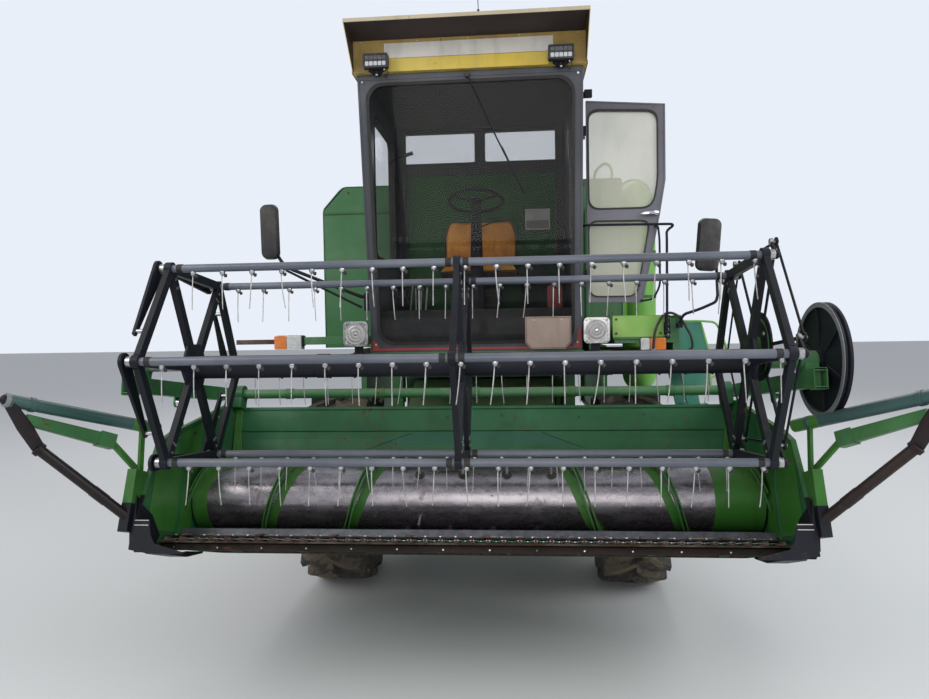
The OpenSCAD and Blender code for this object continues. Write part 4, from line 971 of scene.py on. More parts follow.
@dataclass
class Reel:
    """Six bats with hanging spring tines, their spiders, cranks and belt pulley.

    Attributes:
        bat_half: half of a bat's length.
        bat_r: radius of a bat tube.
        tines: tines on a bat.
        pitch: distance between tines.
        shift: how far the row of tines stands off the middle.
        reach: length of a tine from the bat's centre.
        offset: the crank's reach up and back.
        spider_x: distance of the end spiders from the middle.
        spider_r: distance of the bats from the reel's centre.
        pulley_r: radius of the belt pulley.
        ring_r: radius of the control star's ring.
    """
    bat_half: float = 1.4
    bat_r: float = 0.019
    tines: int = 19
    pitch: float = 0.14227
    shift: float = 0.036
    reach: float = 0.195
    offset: float = 0.0636
    spider_x: float = 1.355
    spider_r: float = 0.522
    pulley_r: float = 0.27
    ring_r: float = 0.1655

    @property
    def centre(self) -> Array:
        """Where the reel's shaft lies: its y and z."""
        return joint_place("reel_spin")[1:]

    def tine_places(self) -> Array:
        """Where the tines stand along a bat."""
        return (np.arange(self.tines) - (self.tines - 1) / 2) * self.pitch + self.shift

    def tine(self, lean: float, kink: float) -> Shape:
        """One spring tine: a short loop forwards out of its clip, then a wire that hangs.

        The loop is half a circle of 7 mm; the wire below leans by lean and kicks by kink.

        Args:
            lean: sideways lean of the wire's end, in metres.
            kink: forward kick of the wire's end, in metres.
        Returns:
            Points and faces about the bat's centre.
        """
        a = np.linspace(0, np.pi, 7)
        top = -self.bat_r - 0.01
        loop = np.stack([0 * a, 0.004 - 0.007 * np.sin(a), top + 0.007 * np.cos(a)], 1)
        t = np.linspace(0, 1, 9)[1:]
        low = top - 0.007
        wire = np.stack([lean * t ** 1.4, 0.004 - kink * t ** 2.2 - 0.004 * np.sin(np.pi * t),
                         low - (self.reach + low) * t], 1)
        path = np.concatenate([loop, wire])
        return carried(path, ring(0.003, 6), (0.93, 0.36, 0.04), np.linspace(1.15, 0.8, len(path)))

    def clip(self, clips: Solid, place: tuple) -> None:
        """A pressed clip under the bat: a rounded silver body and a black knob below it.

        Args:
            clips: the solid that it joins.
            place: the bat's centre where the clip sits.
        """
        x, y, z = place
        top = z - self.bat_r + 0.003
        clips.add(lathe([(top, 0.004), (top, 0.012), (top - 0.008, 0.0135), (top - 0.016, 0.011),
                         (top - 0.021, 0.006), (top - 0.022, 0.002)], (x, y, 0), 10, axis=2), CLAMP)
        clips.add(lathe([(top - 0.013, 0.002), (top - 0.014, 0.008), (top - 0.024, 0.0085),
                         (top - 0.029, 0.005), (top - 0.03, 0.001)], (x + 0.013, y + 0.003, 0), 8, axis=2),
                  BLACK_PLASTIC)

    def bats(self) -> None:
        """Bat tubes with bands, plugs and clamps, their tines and their cranks."""
        rng = np.random.default_rng(7)
        for number in range(1, 7):
            y0, z0 = joint_place(f"bat_{number}_turn")[1:]
            body, h, r = f"reel_bat_{number}", self.bat_half, self.bat_r
            solid = Solid(Place.WORLD)
            solid.add(lathe([(-h, 0.012), (-h, r), (-h + 0.004, r), (h - 0.004, r), (h, r), (h, 0.012)],
                            (0, y0, z0), 32), BAT)
            bands = [-self.spider_x + 0.05, -0.04, 0.04, self.spider_x - 0.05]
            for x in bands:
                solid.add(collar(x - 0.013, x + 0.013, r, r + 0.002, (0, y0, z0), 28), SEAL)
            for x in (-h + 0.012, h - 0.014):
                solid.add(collar(x - 0.011, x + 0.011, r, r + 0.0045, (0, y0, z0), 28), CLAMP)
            crank = np.array([self.offset, self.offset])
            a = math.atan2(crank[1], crank[0])
            line = [(0.0, -0.013), (np.linalg.norm(crank), -0.01), (np.linalg.norm(crank), 0.01),
                    (0.0, 0.013)]
            turn = np.array([[math.cos(a), -math.sin(a)], [math.sin(a), math.cos(a)]])
            arm = np.array(line) @ turn.T + (y0, z0)
            solid.add(plate(arm.tolist(), h, h + 0.01), BLACK)
            solid.add(lathe([(h - 0.002, 0.02), (h + 0.011, 0.02), (h + 0.018, 0.012), (h + 0.018, 0.004)],
                            (0, y0, z0), 20), BLACK)
            solid.add(lathe([(h - 0.001, 0.016), (h + 0.012, 0.016), (h + 0.013, 0.008), (h + 0.038, 0.008)],
                            (0, y0 + crank[0], z0 + crank[1]), 20), CLAMP)
            solid.make(f"bat_tube_{number}", body, Slot.BAT, (f"bat_{number}",), bevel=0.0008)
            wires, clips = Solid(Place.WORLD), Solid(Place.WORLD)
            for place in self.tine_places():
                lean, kink = rng.normal(0, 0.01), rng.normal(0.004, 0.007)
                points, faces = self.tine(lean, kink)
                wires.add((points + (place - 0.004, y0, z0), faces), TINE)
                self.clip(clips, (place, y0, z0))
            wires.make(f"tines_{number}", body, Slot.CHROME, smooth=60)
            clips.make(f"tine_clips_{number}", body, Slot.PLASTIC)

    def spiders(self) -> None:
        """Rotor: central tube, spiders of square tube, hub gussets, end blades and silver bolts."""
        y0, z0 = self.centre
        rotor, bolts = Solid(Place.WORLD), Solid(Place.WORLD)
        phase = math.degrees(math.atan2(joint_place("bat_1_turn")[2] - z0,
                                        -(joint_place("bat_1_turn")[1] - y0)))
        angles = np.radians(phase + 60 * np.arange(6))
        ends = np.stack([-np.cos(angles), np.sin(angles)], 1) * self.spider_r
        for x in (-self.spider_x, 0.0, self.spider_x):
            wide = 0.03 if x else 0.026
            for i in range(6):
                here, after = ends[i], ends[(i + 1) % 6]
                out = here / self.spider_r
                rotor.add(strap((x, y0 + out[0] * 0.05, z0 + out[1] * 0.05),
                                (x, y0 + here[0] * 0.955, z0 + here[1] * 0.955), 0.043, wide), BLACK)
                way = unit(after - here) * 0.024
                rotor.add(strap((x, y0 + here[0] + way[0], z0 + here[1] + way[1]),
                                (x, y0 + after[0] - way[0], z0 + after[1] - way[1]), 0.043, wide - 0.002),
                          BLACK)
                rotor.add(collar(x - 0.016, x + 0.016, self.bat_r + 0.0004, 0.031,
                                 (0, y0 + here[0], z0 + here[1]), 24, closed=True), BLACK)
                side = np.array([-out[1], out[0]])
                for along, across in ((0.052, 0.0), (0.095, 0.009), (0.095, -0.009)):
                    spot = here - out * along + side * across
                    bolts.add(collar(x - 0.018, x + 0.018, 0.002, 0.0075, (0, y0 + spot[0], z0 + spot[1]), 6),
                              CLAMP)
            rotor.add(lathe([(x - 0.014, 0.05), (x - 0.014, 0.118), (x - 0.006, 0.134), (x + 0.006, 0.134),
                             (x + 0.014, 0.118), (x + 0.014, 0.05)], (0, y0, z0), 6), BLACK)
        rotor.add(collar(-self.spider_x, self.spider_x, 0.04, 0.057, (0, y0, z0), 48), BLACK)
        for x in (-0.69, 0.69):
            rotor.add(collar(x - 0.03, x + 0.03, 0.056, 0.06, (0, y0, z0), 48), BLACK)
        low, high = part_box("reel_rotor")
        rotor.add(collar(low.x, high.x, 0.006, 0.02, (0, y0, z0), 24), CLAMP)
        self.blades(rotor, ends)
        self.pulley(rotor, high.x)
        rotor.make("reel_frame", "reel", Slot.BLACK, ("reel_rotor",), bevel=0.0012)
        bolts.make("reel_bolts", "reel", Slot.CHROME)

    def blades(self, rotor: Solid, ends: Array) -> None:
        """Tapered guards at the right-hand ends: from each bat along the side of the hexagon.

        Args:
            rotor: the solid that they join.
            ends: the bats' places about the centre.
        """
        (y0, z0), x = self.centre, -self.bat_half - 0.006
        for i, here in enumerate(ends):
            run = unit(ends[i - 1] - here)
            side = np.array([-run[1], run[0]])
            a = np.linspace(0.5 * np.pi, 1.5 * np.pi, 11)
            cap = here + 0.04 * (np.cos(a)[:, None] * run + np.sin(a)[:, None] * side)
            tail = here + run * 0.38
            outline = np.concatenate([cap, [tail - side * 0.011, tail + side * 0.011]]) + (y0, z0)
            rotor.add(plate(outline.tolist(), x - 0.014, x), BLACK)
            rotor.add(lathe([(x - 0.017, 0.003), (x - 0.017, 0.013), (x - 0.013, 0.015), (x - 0.013, 0.003)],
                            (0, y0 + here[0], z0 + here[1]), 6), CLAMP)
            post = here + run * 0.36
            rotor.add(collar(x - 0.004, -self.spider_x - 0.002, 0.003, 0.01, (0, y0 + post[0], z0 + post[1]),
                             12), CLAMP)

    def pulley(self, rotor: Solid, end: float) -> None:
        """The belt pulley: a dished disc, a grooved rim with a pale edge, pressed spokes and a hub nut.

        Args:
            rotor: the solid that it joins.
            end: where the shaft ends.
        """
        (y0, z0), r, x = self.centre, self.pulley_r, end - 0.055
        rotor.add(lathe([(x, r - 0.022), (x, r), (x + 0.012, r), (x + 0.019, r - 0.012), (x + 0.026, r),
                         (x + 0.038, r), (x + 0.038, r - 0.022), (x + 0.026, r - 0.03), (x + 0.022, 0.16),
                         (x + 0.03, 0.075), (x + 0.03, 0.045), (x + 0.008, 0.045), (x + 0.008, 0.075),
                         (x + 0.014, 0.16), (x + 0.012, r - 0.03)], (0, y0, z0), 96, closed=True), BLACK)
        rotor.add(collar(x - 0.001, x + 0.003, r - 0.024, r + 0.0006, (0, y0, z0), 96, closed=True), PALE_RIM)
        for k in range(6):
            a = math.radians(60 * k + 20)
            way = np.array([math.cos(a), math.sin(a)])
            rotor.add(strap((x + 0.028, y0 + way[0] * 0.07, z0 + way[1] * 0.07),
                            (x + 0.026, y0 + way[0] * 0.245, z0 + way[1] * 0.245), 0.022, 0.01), BLACK)
            rotor.add(strap((x + 0.01, y0 + way[0] * 0.07, z0 + way[1] * 0.07),
                            (x + 0.01, y0 + way[0] * 0.245, z0 + way[1] * 0.245), 0.022, 0.01), BLACK)
        rotor.add(collar(x - 0.004, x + 0.045, 0.02, 0.046, (0, y0, z0), 32), BLACK)
        rotor.add(lathe([(end - 0.009, 0.004), (end - 0.009, 0.03), (end - 0.001, 0.027),
                         (end - 0.001, 0.004)], (0, y0, z0), 6), CHROME)
        rotor.add(collar(x - 0.009, x - 0.003, 0.02, 0.031, (0, y0, z0), 6), CHROME)

    def star(self) -> None:
        """Control star: thin rods between the cranks' pins, and the ring that rolls on the eccentric."""
        centre = joint_place("control_star_spin")
        low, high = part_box("control_star")
        x = (low.x + high.x) / 2
        pins = np.stack([joint_place(f"bat_{k}_turn")[1:] + self.offset for k in range(1, 7)])
        solid, bolts = Solid(Place.WORLD), Solid(Place.WORLD)
        solid.add(lathe([(low.x, self.ring_r - 0.0303), (high.x, self.ring_r - 0.0303), (high.x, self.ring_r),
                         (low.x, self.ring_r)], (0, *centre[1:]), 72, closed=True), BLACK)
        for i in range(6):
            here, after = pins[i], pins[(i + 1) % 6]
            out = unit(here - centre[1:])
            start = centre[1:] + out * (self.ring_r - 0.01)
            solid.add(strap((x, *start), (x, *(here - out * 0.006)), 0.016, high.x - low.x), BLACK)
            solid.add(strap((x, *here), (x, *after), 0.012, (high.x - low.x) * 0.9), BLACK)
            solid.add(collar(low.x, high.x, 0.0082, 0.02, (0, *here), 20, closed=True), BLACK)
            spot = centre[1:] + out * (self.ring_r - 0.016)
            bolts.add(lathe([(high.x - 0.001, 0.002), (high.x - 0.001, 0.009), (high.x + 0.006, 0.008),
                             (high.x + 0.006, 0.002)], (0, *spot), 6), CLAMP)
        solid.make("star_frame", "star", Slot.BLACK, ("control_star",), bevel=0.0008)
        bolts.make("star_bolts", "star", Slot.CHROME)

    def build(self) -> None:
        """Builds the whole reel."""
        self.bats()
        self.spiders()
        self.star()


# Wheels


@dataclass
class Wheel:
    """A farm tyre with chevron lugs on a dished steel wheel.

    Attributes:
        name: name of the CAD node.
        body: the body that it rides on.
        joint: the joint about which it rolls.
        radius: over the lugs.
        width: over the side walls.
        rim: radius of the rim.
        hub: radius of the hub.
        spindle: radius of the stub that it turns on.
        side: 1 left, -1 right.
        lugs: lugs on each side of the tread, or 0 for ribs that run round.
        depth: depth of the tread.
    """
    name: str
    body: str
    joint: str
    radius: float
    width: float
    rim: float
    hub: float
    spindle: float
    side: int
    lugs: int = 21
    depth: float = 0.034

    @property
    def centre(self) -> Array:
        """Middle of the wheel."""
        return joint_place(self.joint)

    def profile(self, around: Array) -> tuple[Array, Array]:
        """The outside of the carcass: bead to bead over the crown, by an angle of 0 to 1.

        Args:
            around: positions from one bead, 0, to the other, 1.
        Returns:
            Distances along the axle and radii.
        """
        a = (around - 0.5) * 2
        half = self.width / 2
        crown = self.radius - self.depth
        bend = np.clip(a * 1.9, -np.pi / 2 * 1.25, np.pi / 2 * 1.25)
        wall = np.sign(a) * half * np.clip(np.abs(np.sin(bend)), 0, 1)
        bead = np.sign(a) * half * 0.72
        edge = np.clip((np.abs(a) - 0.55) / 0.45, 0, 1)
        along = wall * (1 - edge ** 2) + bead * edge ** 2
        drop = np.clip(np.abs(a) / 1.0, 0, 1)
        round_off = 1 - np.sqrt(np.clip(1 - (drop * 0.92) ** 3.4, 0, 1))
        radius = crown - (crown - self.rim) * round_off / (1 - math.sqrt(1 - 0.92 ** 3.4))
        return along, radius

    def build(self) -> None:
        """Builds the tyre and its wheel."""
        tyre = Solid(Place.WORLD)
        along, radius = self.profile(np.linspace(0, 1, 33))
        inner = [(along[-1] * 0.93, self.rim + 0.001), (along[0] * 0.93, self.rim + 0.001)]
        outline = [*zip(along.tolist(), radius.tolist()), *inner]
        tyre.add(lathe(outline, self.centre, 120, closed=True), TYRE)
        tyre.add(self.chevrons() if self.lugs else self.ribs(), TYRE)
        for sign in (-1, 1):
            low, top = self.rim + 0.045, self.rim + 0.052
            wall = sign * np.interp(low, radius[::-1][:16], np.abs(along[::-1][:16]))
            tyre.add(lathe([(wall - sign * 0.012, low - 0.006), (wall + sign * 0.002, low),
                            (wall + sign * 0.002, top), (wall - sign * 0.012, top + 0.006)], self.centre, 96,
                           closed=True), TYRE)
        tyre.make(f"{self.name}_tyre", self.body, Slot.TYRE, (self.name,), smooth=38)
        self.disc()

    def chevrons(self) -> Shape:
        """Lugs as bars that sweep back from the middle of the tread to each shoulder.

        Each has a section of four corners at eight places s along it: axial place = side * s * 0.48 w,
        angle = start + sweep * s ** 0.85, foot on the carcass, top on the tyre's full radius.

        Returns:
            Points and faces.
        """
        s = np.linspace(0, 1, 8)
        lug = np.arange(self.lugs * 2)
        side = np.where(lug % 2 == 0, 1.0, -1.0)
        start = lug * np.pi / self.lugs
        half = self.width / 2
        axial = side[:, None] * (-0.012 + s * (0.482 * self.width))[None, :]
        angle = start[:, None] + 0.3 * (s ** 0.85)[None, :]
        crown = self.radius - self.depth
        foot = crown - 0.006 - 0.62 * np.clip(np.abs(axial) / half - 0.55, 0, 1) ** 2 * half * 1.6
        top = self.radius - 0.16 * np.clip(np.abs(axial) / half - 0.45, 0, 1) ** 2 * half * 1.8
        wide = (0.03 + 0.016 * s)[None, :] / self.radius
        corners = []
        for shift, level in ((-1.25, foot), (-0.72, top), (0.72, top), (1.25, foot)):
            theta = angle + shift * wide
            corners.append(np.stack([axial, level * np.cos(theta), level * np.sin(theta)], -1))
        points = np.stack(corners, 2)
        single = wall_faces(8, 4) + [[3, 2, 1, 0], [28, 29, 30, 31]]
        faces = [[i + 32 * k for i in f] for k in range(len(lug)) for f in single]
        return points.reshape(-1, 3) * (self.side, 1, 1) + self.centre, faces

    def ribs(self) -> Shape:
        """Ribs that run round a steered tyre: a closed profile turned about the axle.

        Returns:
            Points and faces.
        """
        parts, count, faces = [], 0, []
        for middle in (-0.29, -0.1, 0.1, 0.29):
            x, w = middle * self.width, 0.055 * self.width
            top = self.radius - 0.1 * max(0.0, abs(middle) - 0.2)
            foot = top - self.depth - 0.012
            points, some = lathe([(x - w * 1.25, foot), (x - w, top), (x + w, top), (x + w * 1.25, foot)],
                                 self.centre, 120, closed=True)
            parts.append(points)
            faces += [[i + count for i in f] for f in some]
            count += len(points)
        return np.concatenate(parts), faces

    def disc(self) -> None:
        """The rim with its flanges, the dished disc, the hub and its nuts.
        """
        r, s, bead = self.rim, self.side, self.width * 0.36
        wheel, nuts = Solid(Place.WORLD), Solid(Place.WORLD)
        wheel.add(lathe([(-bead - 0.006, r + 0.014), (-bead, r - 0.0006), (-bead * 0.72, r - 0.0006),
                         (-bead * 0.55, r - 0.03), (bead * 0.55, r - 0.03), (bead * 0.72, r - 0.0006),
                         (bead, r - 0.0006), (bead + 0.006, r + 0.014), (bead + 0.01, r + 0.01),
                         (bead + 0.004, r - 0.008), (bead * 0.74, r - 0.008), (bead * 0.58, r - 0.04),
                         (-bead * 0.58, r - 0.04), (-bead * 0.74, r - 0.008), (-bead - 0.004, r - 0.008),
                         (-bead - 0.01, r + 0.01)], self.centre, 72, closed=True), PALE)
        dish = [(s * 0.012, r - 0.034), (s * 0.05, r * 0.72), (s * 0.046, r * 0.52), (s * 0.008, r * 0.42),
                (s * 0.008, self.hub * 0.9)]
        back = [(a - s * 0.009, b) for a, b in dish[::-1]]
        wheel.add(lathe(dish + back, self.centre, 72, closed=True), PALE)
        wheel.add(lathe([(s * 0.006, self.spindle + 0.0005), (s * 0.006, self.hub),
                         (s * 0.05, self.hub * 0.86), (s * 0.06, self.hub * 0.62),
                         (s * 0.06, self.spindle + 0.0005)], self.centre, 48, closed=True), GREEN)
        wheel.add(collar(-s * 0.086, s * 0.004, self.spindle + 0.0005, self.hub * 0.95, self.centre, 48,
                         closed=True), GREEN)
        spots = around(self.centre + (s * 0.008, 0, 0), r * 0.47, 8)
        nuts.add(hexagon_heads(spots, 0.014, 0.02, 0, s), WORN)
        stem = self.centre + (s * 0.047, 0, -r * 0.8)
        nuts.add(tube([stem, stem + (s * 0.03, 0, 0.004)], 0.005, 8), BLACK_PLASTIC)
        wheel.make(f"{self.name}_disc", self.body, Slot.GREY, bevel=0.001)
        nuts.make(f"{self.name}_nuts", self.body, Slot.WORN)


# Cab


@dataclass
class Roof:
    """Roof shell with its visor, fascia, blank sign strip, work lamps and whip.

    Attributes:
        half: half of the roof's width.
        front: where the visor's edge lies.
        face: where the fascia lies.
        base: height of the roof's underside.
    """
    half: float = 690.0
    front: float = -1350.0
    face: float = -1130.0
    base: float = CAB_TOP

    def build(self) -> None:
        """Builds every piece of the roof."""
        self.shell()
        self.fascia()
        for number, x in enumerate((-537.0, 537.0)):
            self.lamp(x, ("right", "left")[number])

    def shell(self) -> None:
        """Shell: side outline along X, ribs on top, visor lip, near-black brown underside as painted shade,
        and triangular returns whose inner faces carry the same painted shade.
        """
        b, h = self.base, self.half
        solid = Solid()
        solid.add(plate([(self.face, b + 2), (70, b + 2), (70, b + 168), (40, b + 174), (self.face, b + 219),
                         (self.front + 4, b + 230), (self.front + 4, b + 213), (self.face, b + 192)], -h, h),
                  YELLOW)
        # Visor underside in near-black brown: painted shade.
        solid.add(plate([(self.front + 6, b + 212.5), (self.face + 1, b + 191.5), (self.face + 1, b + 188.5),
                         (self.front + 6, b + 209.5)], -h + 8, h - 8), VISOR_PAINTED_SHADE)
        solid.add(block(-h, h, self.front, self.front + 6, b + 210, b + 231), CREAM)
        for x in (-h, h - 4):
            solid.add(plate([(self.front, b + 214), (self.face - 1, b + 194), (self.face - 1, b + 2)], x,
                            x + 4), YELLOW)
        # Inner faces of the returns in near-black brown: painted shade.
        for x in (-h + 4, h - 6):
            solid.add(plate([(self.front + 4, b + 212), (self.face - 1, b + 192), (self.face - 1, b + 4)], x,
                            x + 2), VISOR_PAINTED_SHADE)
        x, y = np.meshgrid(np.linspace(-h + 30, h - 30, 61), np.linspace(self.face + 40, 30, 13),
                           indexing="ij")
        rib = 11 * np.clip(np.cos(2 * np.pi * x / 210) * 1.6, 0, 1)
        fade = np.clip(np.minimum(y - self.face - 40, 30 - y) / 60, 0, 1)
        z = b + 172 + (30 - y) / (30 - self.face) * 45 + rib * fade + 2
        solid.add(bent(np.stack([x, y, z], -1), -4.0), YELLOW)
        rivets = [(s * h, y, b + 30) for s in (-1, 1) for y in range(-1080, 61, 95)]
        for place in rivets:
            sign = math.copysign(1, place[0])
            solid.add(lathe([(0, 6.0), (sign * 1.5, 5.0), (sign * 2.4, 1.0)], place, 8), CLAMP)
        for s in (-1, 1):
            solid.add(block(s * h, s * (h + 5), self.face, 70, b + 1, b + 22), GREY)
        solid.add(lathe([(b + 180, 92.0), (b + 232, 92.0), (b + 240, 84.0), (b + 243, 5.0)], (330, -300, 0),
                        32, axis=2), BLACK_PLASTIC)
        solid.add(lathe([(b + 176, 70.0), (b + 190, 70.0), (b + 196, 40.0), (b + 196, 4.0)], (-330, -300, 0),
                        32, axis=2), YELLOW)
        solid.make("roof_shell", "machine", Slot.YELLOW, ("cab_roof",), bevel=0.003)
        whip = Solid()
        whip.add(tube([(73, -1300, b + 227), (73, -1300, b + 262)], 7, 12), BLACK_PLASTIC)
        whip.add(tube([(73, -1300, b + 262), (71, -1298, b + 325)], 2.2, 8), BLACK)
        whip.make("roof_whip", "machine", Slot.PLASTIC)

    def fascia(self) -> None:
        """Fascia: mustard panel, the roof's yellow darkened as painted shade under the visor, with stains
        over it; bright band, blank white strip and its dark edge lines, where the mustard shows between them.
        """
        b, y = self.base, self.face
        solid = Solid()
        # Mustard panel: painted shade under the visor.
        solid.add(block(-self.half + 6, self.half - 6, y - 4, y - 0.5, b + 2, b + 189), FASCIA_PAINTED_SHADE)
        solid.add(block(-490, 470, y - 6, y - 3, b + 3, b + 78), BAND)
        solid.add(block(-498, 496, y - 7, y - 3, b + 81, b + 168), SIGN)
        for x in (-640, -300, 0, 300, 640):
            solid.add(lathe([(y - 4, 6.0), (y - 6, 5.0), (y - 7, 1.0)], (x, 0, b + 181), 8, axis=1), CLAMP)
        solid.make("roof_fascia", "machine", Slot.YELLOW, bevel=0.0006)

    def lamp(self, x: float, side: str) -> None:
        """One work lamp: finned black case, two rows of five square lenses with the upper row near black as
        painted shade, bracket and cable.

        Args:
            x: middle of the lamp.
            side: name of the side.
        """
        y, z = self.face - 20, self.base + 45
        case = Solid()
        case.add(shifted(plate(rounded(148, 82, 9), y - 58, y - 20, 1), x, 0, z), BLACK_PLASTIC)
        for k in range(9):
            case.add(block(x - 64 + 16 * k - 3, x - 64 + 16 * k + 3, y - 21, y - 4, z - 34, z + 34),
                     BLACK_PLASTIC)
        case.add(shifted(frame_strip(rounded(148, 82, 9), 9, y - 62, y - 57), x, 0, z), BLACK_PLASTIC)
        # Upper row in near-black lenses: painted shade.
        for row, finish in ((-17, LED), (17, LED_LENS_PAINTED_SHADE)):
            for k in range(5):
                cx = x - 50 + 25 * k
                case.add(shifted(plate(rounded(21, 25, 4, 2), y - 60, y - 57, 1), cx, 0, z + row), finish)
        for s in (-1, 1):
            case.add(strap((x + s * 40, y - 30, z - 42), (x + s * 12, y - 12, z - 62), 4, 26), BLACK)
        case.boxes(BLACK, (x - 44, x + 44, y - 44, y - 18, z - 47, z - 41),
                   (x - 16, x + 16, y - 24, y + 19.5, z - 66, z - 58))
        case.add(hexagon_heads([(x, y - 20, z - 66)], 9, 9, 2, -1), CHROME)
        case.add(hexagon_heads([(x + 44, y - 31, z - 44)], 7, 8, 0), CHROME)
        cable = [(x + 55, y - 16, z - 30), (x + 66, y - 6, z - 62), (x + 50, y + 8, z - 84),
                 (x + 40, y + 17, z - 52)]
        case.add(tube(cable, 3, 8, bend=18), HOSE)
        case.make(f"work_lamp_{side}", "machine", Slot.PLASTIC, ("work_lamps",), bevel=0.0008)


@dataclass
class CabTrim:
    """Seals, wiper, plate, red trims, lamps, mirrors and hand rails of the cab, and what stands in it."""

    def build(self) -> None:
        """Builds every piece of trim."""
        self.screen()
        self.plates()
        self.headlamps()
        self.indicators()
        self.mirrors()
        self.rails()
        self.windows()
        self.linings()
        self.back_wall()
        self.column()
        self.levers()
        self.floor()

    def screen(self) -> None:
        """Windscreen rubber on the leaning front, gutter under the roof and the wiper."""
        seal = Solid()
        outline = rounded(1246, 1576, 96, 8)
        mid = (CAB_BOTTOM + CAB_TOP) / 2
        seal.add(leaning(shifted(frame_strip(outline, 17, -5, 10), 0, 0, mid)), SEAL)
        seal.add(leaning(shifted(frame_strip(rounded(1266, 1596, 104, 8), 7, -2, 3), 0, 0, mid)), GREY)
        seal.make("windscreen_seal", "machine", Slot.PLASTIC, smooth=60)
        edge = Solid()
        for s in (-1, 1):
            edge.add(leaning(block(s * 660, s * 671, -4, 20, CAB_BOTTOM + 2, CAB_TOP - 2)), GREY)
            edge.add(block(s * 669, s * 673, 20, 52, CAB_BOTTOM + 2, CAB_TOP - 2), GREY)
        edge.add(leaning(block(-668, 668, -4, 3, CAB_TOP - 30, CAB_TOP - 2)), GREY)
        edge.add(leaning(hexagon_heads([(s * 640, -4, z) for s in (-1, 1) for z in (1790, 3370)], 8, 5, 1,
                                       -1)), CLAMP)
        edge.make("cab_edges", "machine", Slot.GREY, bevel=0.0012)
        wiper = Solid()
        wiper.add(leaning(lathe([(-26, 15.0), (-4, 18.0), (2, 18.0)], (-9, 0, 3385), 16, axis=1)),
                  BLACK_PLASTIC)
        wiper.add(leaning(tube([(-9, -20, 3385), (140, -17, 3060), (318, -11, 2700)], 4.5, 8)), BLACK)
        wiper.add(leaning(strap((186, -6, 2975), (322, -6, 2690), 12, 7, (0, 1, 0))), SEAL)
        wiper.make("wiper", "machine", Slot.PLASTIC)

    def plates(self) -> None:
        """Blank plate with clipped lower corners on two straps, and the red corner trims."""
        solid = Solid()
        outline = [(314, 1953), (314, 1792), (352, 1751), (562, 1751), (600, 1792), (600, 1953)]
        solid.add(plate(outline, -886, -883, 1), PLATE)
        inner = [(321, 1946), (321, 1795), (355, 1758), (559, 1758), (593, 1795), (593, 1946)]
        for (x0, z0), (x1, z1) in zip(inner, inner[1:] + inner[:1]):
            solid.add(strap((x0, -886.5, z0), (x1, -886.5, z1), 3.0, 1.6, (0, 1, 0)), RUSTY)
        for x in (370, 540):
            solid.add(block(x - 12, x + 12, -883, -848, 1780, 1930), GREY)
            solid.add(lathe([(-886, 7.0), (-889, 5.0), (-890, 1.0)], (x, 0, 1930), 8, axis=1), CLAMP)
        solid.make("plate", "machine", Slot.GREY, bevel=0.0005)
        trim = Solid()
        trim.add(leaning(plate([(-679, 1752), (-612, 1752), (-640, 1812), (-668, 1822)], -4, 1, 1)), RED)
        trim.add(leaning(plate([(606, 1754), (664, 1754), (664, 1884), (650, 1884), (640, 1812)], -4, 1, 1)),
                 RED)
        trim.add(leaning(block(-612, 606, -3, 1, 1752, 1766)), RED)
        trim.make("red_corners", "machine", Slot.GREY)

    def headlamps(self) -> None:
        """Square chrome lamps: bowl, fluted lens, screwed bezel and round back on a bracket."""
        for s, side in ((-1, "right"), (1, "left")):
            x, y, z = s * 750.0, CAB_FRONT - 45.0, 1863.0
            lamp = Solid()
            lamp.add(shifted(frame_strip(rounded(157, 158, 26), 13, y - 66, y - 38), x, 0, z), BEZEL)
            lamp.add(shifted(plate(rounded(152, 153, 24), y - 46, y - 38, 1), x, 0, z), BEZEL)
            lamp.add(lathe([(y - 47, 70.0), (y - 62, 70.0), (y - 62, 64.0), (y - 50, 58.0), (y - 47, 30.0)],
                           (x, 0, z), 48, axis=1, closed=True), BEZEL)
            a, r = np.meshgrid(np.linspace(0, 2 * np.pi, 49)[:-1], np.linspace(2, 65, 24), indexing="ij")
            gx, gz = r * np.cos(a), r * np.sin(a)
            flutes = 0.6 * np.sin(gx * 2 * np.pi / 9) + 1.3 * np.cos(r * 2 * np.pi / 22)
            gy = y - 66 - 6 * (1 - (r / 66) ** 2) - flutes
            skin = np.stack([gx + x, gy, gz + z], -1)
            count = skin.shape[0] * skin.shape[1]
            faces = wall_faces(skin.shape[0], skin.shape[1], True)
            faces = [f for f in faces if max(f) - min(f) < count and (f[0] % 24) != 23]
            faces.append([24 * k for k in range(48)])
            lamp.add((skin.reshape(-1, 3), faces), LAMP_GLASS)
            lamp.add(lathe([(y - 73, 11.0), (y - 75.5, 9.0), (y - 76, 2.0)], (x, 0, z), 20, axis=1), CHROME)
            for dx in (-63, 63):
                for dz in (-64, 64):
                    lamp.add(lathe([(y - 66, 6.5), (y - 69, 5.0), (y - 69.5, 1.0)], (x + dx, 0, z + dz), 10,
                                   axis=1), CLAMP)
            lamp.add(lathe([(y - 40, 68.0), (y - 10, 62.0), (y + 15, 44.0), (y + 20, 8.0)], (x, 0, z), 32,
                           axis=1), BLACK)
            lamp.boxes(BLACK, (x - 25, x + 25, y + 8, y + 44.6, z - 152, z + 8),
                       (x - 40, x + 40, y + 30, y + 44.6, z - 152, z - 120))
            lamp.make(f"headlamp_{side}", "machine", Slot.CHROME, ("headlamps",), smooth=40, outwards=False)

